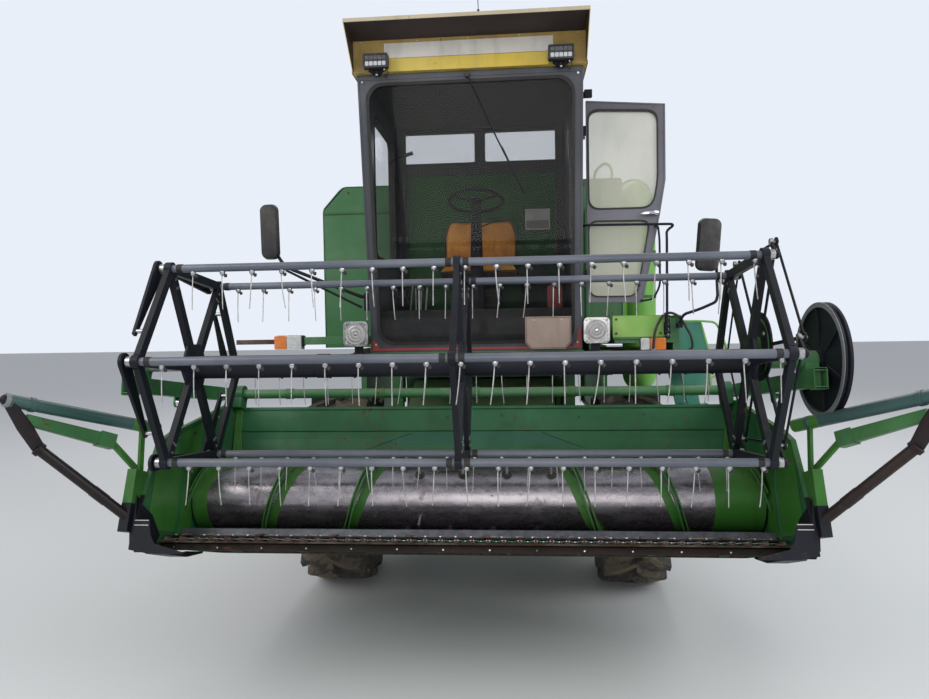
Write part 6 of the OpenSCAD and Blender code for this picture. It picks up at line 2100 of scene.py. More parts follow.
@dataclass
class AugerTrim:
    """Green helical bands, end sleeves and retracting fingers on the table auger.

    Attributes:
        drum: radius of the drum.
        flight: radius of the flights.
        pitch: advance in one turn.
        start: where the flights end near the middle.
        end: where they end at the sheets.
    """
    drum: float = 180.0
    flight: float = 245.0
    pitch: float = 460.0
    start: float = 480.0
    end: float = 1542.0

    def helix(self, hand: int, inner: float, outer: float, low: float, high: float) -> Shape:
        """A helical band: (x(t), b - r sin(t), u + r cos(t)), with x growing by the pitch each turn.

        Args:
            hand: side of the drum, -1 or 1.
            inner: inner radius.
            outer: outer radius.
            low: where the band starts along X, from the helix.
            high: where it ends.
        Returns:
            Points and faces.
        """
        turns = (self.end - self.start) / self.pitch
        t = np.linspace(0, 2 * np.pi * turns, int(56 * turns))
        x = self.start + t / (2 * np.pi) * self.pitch
        _, back, up = AUGER_AXIS
        rings = []
        for r, dx in ((inner, low), (outer, low), (outer, high), (inner, high)):
            rings.append(np.stack([hand * (x + dx), back - r * np.sin(t), up + r * np.cos(t)], 1))
        points = np.stack(rings, 1).reshape(-1, 3)
        faces = wall_faces(len(t), 4) + [[0, 1, 2, 3], [len(points) - 4 + i for i in (3, 2, 1, 0)]]
        return points, faces

    def build(self) -> None:
        """Builds bands, rings and finger guides."""
        solid = Solid(Place.HEADER)
        for hand in (-1, 1):
            solid.add(self.helix(hand, self.drum - 0.5, self.drum + 2.5, -46, 4), GREEN_FLIGHT)
            solid.add(self.helix(hand, self.flight - 10, self.flight + 1.5, -1.5, 7), GREEN_WORN)
        for x0, x1 in ((-self.end - 2, -1466.0), (1288.0, self.end + 2)):
            solid.add(collar(x0, x1, self.drum, self.drum + 4, AUGER_AXIS, 56, closed=True), GREEN_FLIGHT)
        solid.make("auger_bands", "table_auger", Slot.GREEN, smooth=40)
        fingers = Solid(Place.HEADER)
        for k in range(12):
            x, a = -440 + 80 * k, 0.9 + k * 2 * math.pi / 3 + 0.25
            along = np.array([0, math.sin(a), math.cos(a)])
            foot = np.array([x, *AUGER_AXIS[1:]]) + along * (self.drum - 3)
            fingers.add(tube([foot, foot + along * 10], 26, 16, (1, 0, 0)), BLACK_PLASTIC)
            fingers.add(tube([foot, foot + along * 16], 15, 12, (1, 0, 0)), BLACK_PLASTIC)
            fingers.add(tube([foot, foot + along * 92], 7, 10, (1, 0, 0)), TINE)
        fingers.make("auger_fingers", "table_auger", Slot.WORN, smooth=40)


@dataclass
class Divider:
    """One crop divider: upper tube with a nose, worn channel, folded shoe, lower pipe and straps.

    Attributes:
        sign: -1 for the machine's right, 1 for its left.
        x0: where the frame starts outside the end sheet.
    """
    sign: int
    x0: float = 1568.3

    def at(self, x: float, back: float, up: float) -> Array:
        """A point of the header's frame, on this divider's side."""
        return np.array([self.sign * x, back, up], float)

    @property
    def base(self) -> Array:
        """Where the upper tube leaves the end sheet."""
        return self.at(self.x0 + 14, -146, 540)

    @property
    def tip(self) -> Array:
        """The upper tube's nose."""
        return self.at(1920, -788, 535)

    @property
    def knee(self) -> Array:
        """Where the shoe meets the lower pipe."""
        return self.at(1860, -610, 352)

    @property
    def foot(self) -> Array:
        """Where the lower pipe leaves the end sheet."""
        return self.at(self.x0 + 24, -290, 90)

    @property
    def bracket(self) -> Array:
        """Where the straps meet."""
        return self.at(self.x0 + 24, -230, 300)

    def build(self) -> None:
        """Builds the divider as one piece."""
        solid = Solid(Place.HEADER)
        self.pipes(solid)
        self.straps(solid)
        self.plates(solid)
        solid.make("divider_left" if self.sign > 0 else "divider_right", "header", Slot.BLACK,
                   ("crop_dividers",), bevel=0.0015, smooth=50)

    def pipes(self, solid: Solid) -> None:
        """Upper tube with its collars and nose, lower pipe, and the folded shoe between their ends.

        Args:
            solid: the solid that they join.
        """
        base, tip, knee, foot = self.base, self.tip, self.knee, self.foot
        ref, upright = (0, 0.3, 1), (0, 0, 1)
        out, low = unit(tip - base), unit(knee - foot)
        solid.add(carried([base, base + (tip - base) * 0.55, tip], ring(30, 20), ref, [1, 1, 0.93]),
                  STEEL_BLUE)
        solid.add(tube([tip - out * 6, tip + out * 12], 31, 20, ref), PALE_RIM)
        solid.add(carried([tip + out * 8, tip + out * 22, tip + out * 30], ring(24, 20), ref, [1, 0.75, 0.3]),
                  BLACK)
        solid.add(tube([base - out, base + out * 150], 30.8, 20, ref), GREEN_FLIGHT)
        for t in (0.12, 0.86):
            centre = base + (tip - base) * t
            solid.add(tube([centre - out * 12, centre + out * 12], 32.5, 20, ref), STEEL_BLUE)
        solid.add(tube([foot, knee], 24, 18, upright), PIPE_BROWN)
        solid.add(tube([foot + low * 120, foot + low * 200], 26, 18, upright), PIPE_BROWN)
        fold = [(13, -30), (13, 30), (-4, 40), (-13, 30), (-13, -30), (-4, -40)]
        solid.add(carried([tip, knee + (tip - knee) * 0.45, knee], fold, (1, 0, 0), [0.7, 1.0, 0.85]), SHOE)
        solid.add(carried([knee - low * 10, knee + low * 12], ring(32, 16), upright), SHOE)

    def straps(self, solid: Solid) -> None:
        """Straps from the bracket to the tube, the foot and the worn channel, which ends free.

        Args:
            solid: the solid that they join.
        """
        bracket, channel, upright = self.bracket, self.at(self.x0 + 130, -330, 438), (0, 0, 1)
        start = self.tip + (self.knee - self.tip) * 0.35
        run = unit(channel - start)
        solid.add(strap(bracket, self.base + (self.tip - self.base) * 0.12, 38, 14), GREEN_FLIGHT)
        solid.add(strap(self.foot + (0, 40, 20), bracket, 44, 14), GREEN_FLIGHT)
        solid.add(strap(bracket, channel - run * 10, 36, 13), GREEN_FLIGHT)
        solid.add(carried([start + run * 28, channel - run * 26], rounded(40, 64, 8), upright, [0.75, 1.0]),
                  GREEN_WORN)
        lips = [(24, -36), (24, 36), (18, 36), (18, -30), (-18, -30), (-18, 36), (-24, 36), (-24, -36)]
        solid.add(carried([channel - run * 80, channel + run * 4], lips, upright), GREEN_WORN)
        solid.add(hexagon_heads([channel - run * 60 + (self.sign * 20, 0, 0)], 9, 8, 0, self.sign), CLAMP)

    def plates(self, solid: Solid) -> None:
        """Plates on the end sheet with their bolts, three springs and a white latch.

        Args:
            solid: the solid that they join.
        """
        s, x = self.sign, self.sign * self.x0
        face = x + s * 45
        solid.boxes(GREEN_FLIGHT, (x + s, x + s * 47, -306, -158, 150, 312))
        solid.boxes(BLACK, (x + s, x + s * 48, -308, -156, 18, 152))
        solid.add(hexagon_heads([(face, b, u) for b in (-280, -186) for u in (50, 160, 280)], 11, 9, 0, s),
                  CLAMP)
        spring = [(0, 18.0), (5, 18.0), (6, 9.0), (16, 8.0)]
        for b, u in ((-236, 250), (-250, 200), (-215, 160)):
            solid.add(lathe([(face + s * a, r) for a, r in spring], (0, b, u), 12), CHROME)
        solid.add(strap((face + s * 5, -270, 232), (face + s * 5, -205, 150), 16, 6), SIGN)


@dataclass
class ArmTrim:
    """Reel arms' open ends and pins, the bands on the cross tube and the star's bearing.

    Attributes:
        pivot: where the arms swing, back and square in the header's frame.
        end: where an arm's middle line ends.
        x: distance of an arm's middle from the centre line.
    """
    pivot: tuple = (700.0, 940.0)
    end: tuple = (-299.0, 726.0)
    x: float = 1625.0

    def build(self) -> None:
        """Builds the arm trim."""
        solid = Solid(Place.HEADER)
        pivot, end, upright = np.array(self.pivot), np.array(self.end), (0, 0, 1)
        run = unit(end - pivot)
        last = end + run * 110
        for s in (-1, 1):
            x = s * self.x
            path = [(x, *(last - run * 58)), (x, *(last + run * 2.5))]
            outer, inner = (carried(path, section, upright)[0].reshape(2, -1, 3)
                            for section in (rounded(62, 100, 7, 3), rounded(54, 92, 5, 3)))
            mouth = np.concatenate([outer[0], outer[1], inner[1], inner[0]])
            solid.add((mouth, wall_faces(4, outer.shape[1], loop=True)), GREEN_WORN)
            for t in (180, 420, 660):
                spot = pivot + run * t
                solid.add(carried([(x, *(spot - run * 22)), (x, *(spot + run * 22))], rounded(63, 83, 4, 2),
                                  upright), GREEN_WORN)
            for spot, r in ((self.pivot, 46.0), ((-299.0, 821.0), 40.0)):
                boss = [(29, r), (38, r), (40, 22.0), (47, 20.0), (48, 3.0)]
                solid.add(lathe([(x + s * a, b) for a, b in boss], (0, *spot), 28), GREEN_WORN)
                solid.add(lathe([(x + s * 46, 13.0), (x + s * 56, 12.0), (x + s * 57, 2.0)], (0, *spot), 6),
                          CLAMP)
        for x in np.linspace(-1200, 1200, 5):
            solid.add(collar(x - 24, x + 24, 31.0, 34.0, (0, *self.pivot), 28, closed=True), GREEN_WORN)
        solid.make("arm_trim", "arms", Slot.GREEN, bevel=0.0012)
        self.bearing()

    def bearing(self) -> None:
        """The eccentric that the control star's ring rolls on: two discs and five bolts."""
        solid = Solid(Place.WORLD)
        centre, x = joint_place("control_star_spin"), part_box("control_star")[0].x
        for low, high in ((-0.0072, -0.0043), (0.0123, 0.015)):
            solid.add(collar(x + low, x + high, 0.052, 0.131, (0, *centre[1:]), 48, closed=True), BLACK)
        for spot in around((0, *centre[1:]), 0.108, 5):
            solid.add(lathe([(x - 0.007, 0.002), (x - 0.007, 0.011), (x - 0.013, 0.01), (x - 0.014, 0.002)],
                            spot, 10), CLAMP)
        solid.make("star_bearing", "arms", Slot.BLACK)


@dataclass
class CylinderTrim:
    """Glands, wipers and hose ends of the two header cylinders and the two reel cylinders."""

    def gland(self, solid: Solid, start: Array, end: Array, radius: float, mouth: float) -> None:
        """A gland nut at a barrel's mouth, a port with its hose end and a weld bead at its foot.

        Args:
            solid: the solid that it joins.
            start: middle of the barrel's eye.
            end: middle of the rod's eye.
            radius: outer radius of the barrel.
            mouth: distance from start to the mouth.
        """
        run = unit(end - start)
        a, b = start + run * (mouth - 26), start + run * (mouth - 1)
        solid.add(tube([a, b], radius + 3.5, 8, (1, 0, 0)), CLAMP)
        foot = start + run * 75
        solid.add(tube([foot - run * 5, foot + run * 5], radius + 2.5, 24, (1, 0, 0)), BLACK)
        up = unit(np.cross(run, (1.0, 0, 0)))
        up = up if up[2] > 0 else -up
        port = start + run * 110 + up * (radius - 2)
        solid.add(tube([port, port + up * 22], 12, 12, (1, 0, 0)), CLAMP)
        solid.add(tube([port + up * 20, port + up * 40 - run * 6, port + up * 46 - run * 60], 8, 12,
                       (1, 0, 0), 20), HOSE)

    def build(self) -> None:
        """Builds the glands."""
        header = Solid(Place.HEADER)
        arm = ArmTrim()
        pivot = np.array(arm.pivot)
        run = unit(np.array(arm.end) - pivot)
        pin = pivot + run * 600 + 70 * np.array([-run[1], run[0]])
        for x in (-arm.x, arm.x):
            self.gland(header, np.array([x, 300, 300]), np.array([x, *pin]), 24, 310)
        header.make("reel_cylinder_glands", "reel_cylinders", Slot.BLACK, smooth=40)
        lifting = Solid()
        for x in (-350.0, 350.0):
            self.gland(lifting, np.array([x, -170, 590]), np.array([x, -930, 570]), 45, 436)
        lifting.make("lift_cylinder_glands", "lift_cylinders", Slot.BLACK, smooth=40)


# Body


@dataclass
class TankTrim:
    """Grain tank: rounded shoulder, pressed ribs, flanges, rivets and the lid's handles.

    Attributes:
        right: half-width on the machine's right.
        left: half-width on its left.
        front: front wall.
        rear: rear wall.
        low: underside.
        top: top of the tank.
    """
    right: float = 1240.0
    left: float = 1060.0
    front: float = 110.0
    rear: float = 1800.0
    low: float = 1750.3
    top: float = 3000.0

    def outline(self) -> list:
        """The tank's section: square on the left, a wide shoulder on the right, its corners rounded off."""
        r = self.right
        return [(-r, self.low), (self.left, self.low), (self.left, self.top - 20),
                (self.left - 6, self.top - 6), (self.left - 20, self.top), (-r + 190, self.top),
                (-r + 160, self.top - 6), (-r + 130, self.top - 30), (-r + 30, self.top - 140),
                (-r + 8, self.top - 165), (-r, self.top - 195)]

    def build(self) -> None:
        """Builds the tank's trim."""
        self.walls()
        self.hoop()
        self.lid()

    def walls(self) -> None:
        """End flanges, pressed ribs on all four walls, two seams and the rivets at front and rear."""
        solid = Solid()
        o = np.array(self.outline())
        grow = np.array([(x + math.copysign(5, x), z + (5 if z > 2500 else 0)) for x, z in o])
        for y in (self.front - 6, self.rear - 34):
            solid.add(banded(grow, o, y, y + 40, 1), GREEN)
        for y in np.linspace(430, 1480, 4):
            for x0, x1 in ((-self.right - 10, -self.right + 1), (self.left - 1, self.left + 10)):
                rib = [(y - 26, self.low + 60), (y + 26, self.low + 60), (y + 16, self.low + 74),
                       (y + 16, self.top - 250), (y, self.top - 226), (y - 16, self.top - 250),
                       (y - 16, self.low + 74)]
                solid.add(plate(rib, x0, x1), GREEN)
        for x in (-870, -500, 500, 800):
            for y0, y1 in ((self.front - 12, self.front + 1), (self.rear - 1, self.rear + 12)):
                rib = [(x - 24, self.low + 50), (x + 24, self.low + 50), (x + 14, self.low + 66),
                       (x + 14, self.top - 240), (x, self.top - 216), (x - 14, self.top - 240),
                       (x - 14, self.low + 66)]
                solid.add(plate(rib, y0, y1, 1), GREEN)
        solid.add(strap((-self.right - 4, self.front - 7, 2800), (-700, self.front - 7, 2800), 16, 6,
                        (0, 1, 0)), GREEN_WORN)
        solid.add(block(-self.right, -670, self.front - 9, self.front - 5, 1800, 1812), GREEN_WORN)
        rivets = [(x, self.front - 6, z) for z in (self.low + 24, self.top - 40)
                  for x in range(-1040, 1041, 130)]
        solid.add(hexagon_heads(rivets, 7, 4, 1, -1), RUSTY)
        solid.add(hexagon_heads([(x, self.rear + 6, z) for x, _, z in rivets], 7, 4, 1), RUSTY)
        solid.make("tank_ribs", "machine", Slot.GREEN, bevel=0.0025)

    def hoop(self) -> None:
        """The lime hoop on the tank's front corner."""
        rails = Solid()
        rails.add(tube([(1010, 250, 3001), (1010, 250, 3120), (960, 300, 3166), (900, 420, 3130),
                        (895, 560, 3001)], 11, 12, bend=50), LIME)
        rails.make("tank_hoop", "machine", Slot.GREEN)

    def lid(self) -> None:
        """The filling lid's ribs, handle and hinges, riding with it."""
        lid = Solid()
        for x in np.linspace(-600, 600, 5):
            rib = np.array([(x - 40, 0), (x + 40, 0), (x + 24, 9), (x - 24, 9)])
            lid.add(plate([(a, self.top + 15.5 + b) for a, b in rib], self.front + 240, self.rear - 220, 1),
                    GREEN)
        lid.add(tube([(-120, 420, 3012), (-120, 420, 3046), (120, 420, 3046), (120, 420, 3012)], 8, 12,
                     bend=18), BLACK)
        for x in (-500, 0, 500):
            lid.add(block(x - 38, x + 38, self.rear - 230, self.rear - 190, 3015.5, 3021), GREEN_WORN)
            lid.add(hexagon_heads([(x + dx, self.rear - 210, 3021) for dx in (-22, 22)], 8, 5, 2), CLAMP)
        lid.make("tank_lid_trim", "lid", Slot.GREEN, bevel=0.002)


@dataclass
class SideTrim:
    """Side shields, belts and pulleys behind them, elevator, fan grilles and frame bolts."""

    def build(self) -> None:
        """Builds both sides."""
        self.shields()
        self.drives()
        self.elevator()
        self.frame_details()

    def shields(self) -> None:
        """Shields: rolled rims, pressed diagonal and lengthwise swages, slots drawn as black blocks that
        paint the shade in their openings, and latches.
        """
        solid = Solid()
        for s, x in ((-1, 1120.0), (1, 1020.0)):
            gy, gz = np.meshgrid(np.linspace(826, 2874, 90), np.linspace(1046, 1694, 30), indexing="ij")
            swage = sum(np.exp(-(((gz - z0) / 14) ** 2)) for z0 in (1180, 1370, 1560))
            ends = np.clip(np.minimum(gy - 900, 2800 - gy) / 60, 0, 1)
            skin = np.stack([s * (x + 1.2 + 9 * swage * ends), gy, gz], -1)
            solid.add(bent(skin, -2.5 if s < 0 else 2.5), GREEN)
            # Slots drawn as black blocks on the closed sheet: painted shade in the openings.
            solid.add(many(block(s * x, s * (x + 4), -26, 26, -8, 8),
                           [(0, y, z) for y in range(2420, 2800, 90) for z in (1270, 1465)]), BLACK)
            outline = rounded(2100, 700, 30, 4) + (1850, 1370)
            solid.add(frame_strip(outline, 18, s * (x - 2), s * (x + 8), 0), GREEN_WORN)
            for y in (1100, 2600):
                solid.add(lathe([(s * x, 22.0), (s * (x + 9), 20.0), (s * (x + 11), 12.0),
                                 (s * (x + 18), 9.0)], (0, y, 1680), 20), BLACK_PLASTIC)
        solid.make("shield_pressings", "machine", Slot.GREEN, bevel=0.001, smooth=50)

    def pulley(self, solid: Solid, x: float, y: float, z: float, radius: float, s: int) -> None:
        """A grooved pulley with a dished web and a hub, on a shaft out of the body.

        Args:
            solid: the solid that it joins.
            x: where its inner face lies.
            y: middle of the shaft.
            z: height of the shaft.
            radius: radius of its rim.
            s: side of the machine.
        """
        profile = [(0, 24.0), (0, radius * 0.45), (8, radius * 0.8), (0, radius - 6), (0, radius),
                   (8, radius), (16, radius - 12), (24, radius), (32, radius), (32, radius - 8),
                   (20, radius * 0.8), (16, radius * 0.45), (30, 40.0), (42, 38.0), (42, 24.0)]
        solid.add(lathe([(s * (x + a), r) for a, r in profile], (0, y, z), 40, closed=True), RUSTY)
        solid.add(lathe([(s * (x - 40), 22.0), (s * (x + 48), 22.0), (s * (x + 50), 4.0)], (0, y, z), 16),
                  WORN)

    def belt(self, solid: Solid, x: float, wheels: list, s: int) -> None:
        """A belt round two pulleys: two arcs joined by the outer tangents.

        Args:
            solid: the solid that it joins.
            x: its middle plane.
            wheels: two of (y, z, radius).
            s: side of the machine.
        """
        (y0, z0, r0), (y1, z1, r1) = wheels
        base, gap = math.atan2(z1 - z0, y1 - y0), math.hypot(y1 - y0, z1 - z0)
        lean = math.acos((r0 - r1) / gap)
        path = []
        for y, z, r, a0, a1 in ((y0, z0, r0, base + lean, base + 2 * math.pi - lean),
                                (y1, z1, r1, base - lean, base + lean)):
            a = np.linspace(a0, a1, 24)
            path.append(np.stack([np.full(24, s * x), y + r * np.cos(a), z + r * np.sin(a)], 1))
        solid.add(carried(np.concatenate(path), [(5, -8), (5, 8), (-5, 6), (-5, -6)], (1, 0, 0), loop=True),
                  BELT)

    def drives(self) -> None:
        """Belt drives on both sides of the body, in the gap behind the shields."""
        solid = Solid()
        runs = ((1, ((1100, 1290, 180), (1950, 1440, 120)), ((1950, 1440, 90), (2600, 1290, 150))),
                (-1, ((620, 1200, 130), (1030, 1500, 100)), ((2050, 1320, 170), (2650, 1500, 100))))
        for s, *belts in runs:
            for k, (one, two) in enumerate(belts):
                x = 640.0 + 46 * k
                for y, z, r in (one, two):
                    self.pulley(solid, x, y, z, r, s)
                self.belt(solid, x + 16, [one, two], s)
        solid.make("belt_drives", "machine", Slot.RUSTY, smooth=40)

    def elevator(self) -> None:
        """Grain elevator: flanged joints, inspection door, lower bearing and the fan's grilles."""
        solid = Solid()
        start, end, fan = np.array([1500.0, 640.0]), np.array([1350.0, 1700.0]), (0, 760, 640)
        run = unit(end - start)
        x = -740.0
        for t in (60, 380, 700, 1000):
            spot = start + run * t
            solid.add(carried([(x, *(spot - run * 9)), (x, *(spot + run * 9))], rounded(272, 128, 4, 2),
                              (1, 0, 0)), GREEN_WORN)
        spot = start + run * 210
        solid.add(carried([(x - 62, *(spot - run * 90)), (x - 62, *(spot + run * 90))], rounded(190, 8, 3, 2),
                          (1, 0, 0)), GREEN)
        solid.add(lathe([(-800, 70.0), (-808, 66.0), (-814, 30.0), (-826, 24.0), (-827, 4.0)], (0, 1500, 640),
                        28), BLACK)
        for s in (-1, 1):
            for r in (40, 75, 110):
                solid.add(collar(s * 501, s * 505, r - 3.0, r + 3.0, fan, 36, closed=True), BLACK)
            hub = (s * 503, *fan[1:])
            for tip in around(hub, 122, 6):
                solid.add(strap(hub, tip, 6, 4), BLACK)
            solid.add(lathe([(s * 500, 215.0), (s * 500, 221.0), (s * 486, 221.0), (s * 486, 206.0)], fan, 48,
                            closed=True), GREEN_WORN)
        solid.make("elevator_trim", "machine", Slot.GREEN, bevel=0.0012, smooth=40)

    def frame_details(self) -> None:
        """Bolt rows and upright straps on the body's sides, and bolts on the front axle."""
        solid = Solid()
        for s in (-1, 1):
            bolts = [(s * 600, y, z) for y in range(560, 2950, 220) for z in (1690, 1060)]
            solid.add(hexagon_heads(bolts, 10, 6, 0, s), RUSTY)
            for y in (850, 1750, 2350, 2940):
                solid.add(block(s * 600, s * 606, y - 12, y + 12, 1040, 1740), GREEN_WORN)
        for x in range(-620, 621, 155):
            solid.add(hexagon_heads([(x, -81, z) for z in (735, 860)], 11, 8, 1, -1), RUSTY)
        solid.make("frame_bolts", "machine", Slot.GREEN)


@dataclass
class EngineTrim:
    """Engine cover with its louvres and screen, stacks, straw hood and tail lamps.

    Attributes:
        screen_at: middle of the radiator screen, as y and z.
        stack_at: axis of the exhaust stack, as x and y.
        cleaner_at: axis of the air cleaner.
    """
    screen_at: tuple = (2450, 2350)
    stack_at: tuple = (300, 2250, 0)
    cleaner_at: tuple = (-300, 2650, 0)

    def build(self) -> None:
        """Builds the engine deck and the rear."""
        self.louvres()
        self.screen()
        self.stacks()
        self.hood()

    def louvres(self) -> None:
        """Hooded louvres on the cover's side and rear, its top flange, two swages and a catch."""
        solid = Solid()
        for z in range(2120, 2561, 110):
            slat = [(0, z + 66), (26, z + 40), (30, z + 12), (26, z + 12), (22, z + 38), (0, z + 60)]
            solid.add(plate([(560 + a, b) for a, b in slat], 2114, 2786, 1), GREEN)
            solid.add(plate([(2900 + a, b) for a, b in slat], -306, 306), GREEN)
        outline = rounded(1120, 900, 24, 4) + (0, 2450)
        solid.add(frame_strip(outline, 14, 2716, 2726, 2), GREEN_WORN)
        for x in (-300, 0):
            solid.add(plate([(x - 20, 2720), (x + 20, 2720), (x + 12, 2728), (x - 12, 2728)], 2060, 2840, 1),
                      GREEN)
        solid.add(block(-40, 40, 1990, 2000, 2300, 2420), BLACK)
        solid.make("cover_louvres", "machine", Slot.GREEN, bevel=0.0015)

    def screen(self) -> None:
        """Radiator screen: fine rings and spokes in a frame, with a hub."""
        y, z = self.screen_at
        centre = (0, y, z)
        screen = Solid()
        for r in np.arange(30, 311, 14):
            screen.add(collar(-698, -695.5, r - 1.2, r + 1.2, centre, 56, closed=True), BLACK)
        middle = (-694.5, y, z)
        for tip in around(middle, 309, 24):
            screen.add(strap(middle, tip, 3, 2), BLACK)
        screen.add(collar(-703, -668, 324.0, 308.0, centre, 56, closed=True), GREEN_WORN)
        screen.add(lathe([(-712, 6.0), (-708, 40.0), (-694, 44.0)], centre, 24), RUSTY)
        screen.make("radiator_screen", "machine", Slot.GREEN, smooth=40)

    def stacks(self) -> None:
        """Exhaust stack with its skirt, guard and rim, and the air cleaner's cap, rings and clamps."""
        stack, pipe, cleaner = Solid(), self.stack_at, self.cleaner_at
        stack.add(lathe([(2720, 80.0), (2728, 78.0), (2734, 47.0), (2742, 46.5)], pipe, 32, axis=2), RUSTY)
        stack.add(lathe([(2900, 45.5), (2908, 56.0), (3160, 56.0), (3168, 45.5)], pipe, 32, True, 2), RUSTY)
        stack.add(lathe([(3326, 46.0), (3326, 49.0), (3341, 49.0), (3341, 46.0), (3336, 38.5), (3332, 38.5)],
                        pipe, 32, True, 2), RUSTY)
        stack.add(lathe([(3176, 60.0), (3184, 104.0), (3190, 96.0), (3204, 40.0), (3208, 4.0)], cleaner, 40,
                        axis=2), BLACK)
        for z in (3070, 3110, 3150):
            stack.add(lathe([(z, 105.0), (z + 3, 108.0), (z + 9, 108.0), (z + 12, 105.0)], cleaner, 40, True,
                            2), BLACK)
        for z in (2790, 3030):
            stack.add(collar(z, z + 14, 60.0, 63.5, cleaner, 32, True, 2), CLAMP)
        stack.make("stack_trim", "machine", Slot.BLACK, smooth=40)

    def hood(self) -> None:
        """Straw hood: swages, flanged seams, bolts, tail lamps, reflectors and the hanging curtain."""
        solid = Solid()
        seams, half, reach = (3040, 3700, 4380), 640.0, 4700.0
        for s in (-1, 1):
            x = s * half
            for z in (1350, 1600, 1850):
                solid.add(plate([(3060, z - 14), (4400, z - 14), (4420, z), (4400, z + 14), (3060, z + 14),
                                 (3040, z)], x, x + s * 8), GREEN)
            for y in seams:
                solid.add(block(x, x + s * 5, y - 12, y + 12, 1100, 1960), GREEN_WORN)
            bolts = [(x + s * 5, y, z) for y in seams for z in range(1160, 1950, 130)]
            solid.add(hexagon_heads(bolts, 9, 6, 0, s), RUSTY)
        solid.make("hood_swages", "machine", Slot.GREEN, bevel=0.0015)
        rear = Solid()
        for s in (-1, 1):
            for k, finish in enumerate((RED_LENS, AMBER)):
                x0, x1 = sorted((s * (600 - 92 * k), s * (520 - 92 * k)))
                rear.add(shifted(plate(rounded(x1 - x0, 92, 12, 4), reach - 3, reach + 24, 1), (x0 + x1) / 2,
                                 0, 1700), finish)
            x0, x1 = s * 612, s * 418
            rear.add(block(x0, x1, reach - 8, reach + 2, 1644, 1756), BLACK_PLASTIC)
            rear.add(lathe([(reach, 36.0), (reach + 6, 36.0), (reach + 7, 30.0)], (s * 570, 0, 1560), 24,
                           axis=1), RED_LENS)
        for x in range(-600, 601, 120):
            rear.add(hexagon_heads([(x, reach, 1215)], 9, 6, 1), RUSTY)
        top, drop = 1186, 286
        x, z = np.meshgrid(np.linspace(-620, 620, 81), np.linspace(top, top - drop, 12), indexing="ij")
        wave = 10 * np.sin(x / 55) * (top - z) / drop
        rear.add(bent(np.stack([x, reach - 16 + wave * 0.6, z], -1), 5.0), SEAL)
        rear.make("hood_rear", "machine", Slot.PLASTIC, bevel=0.001, smooth=50)


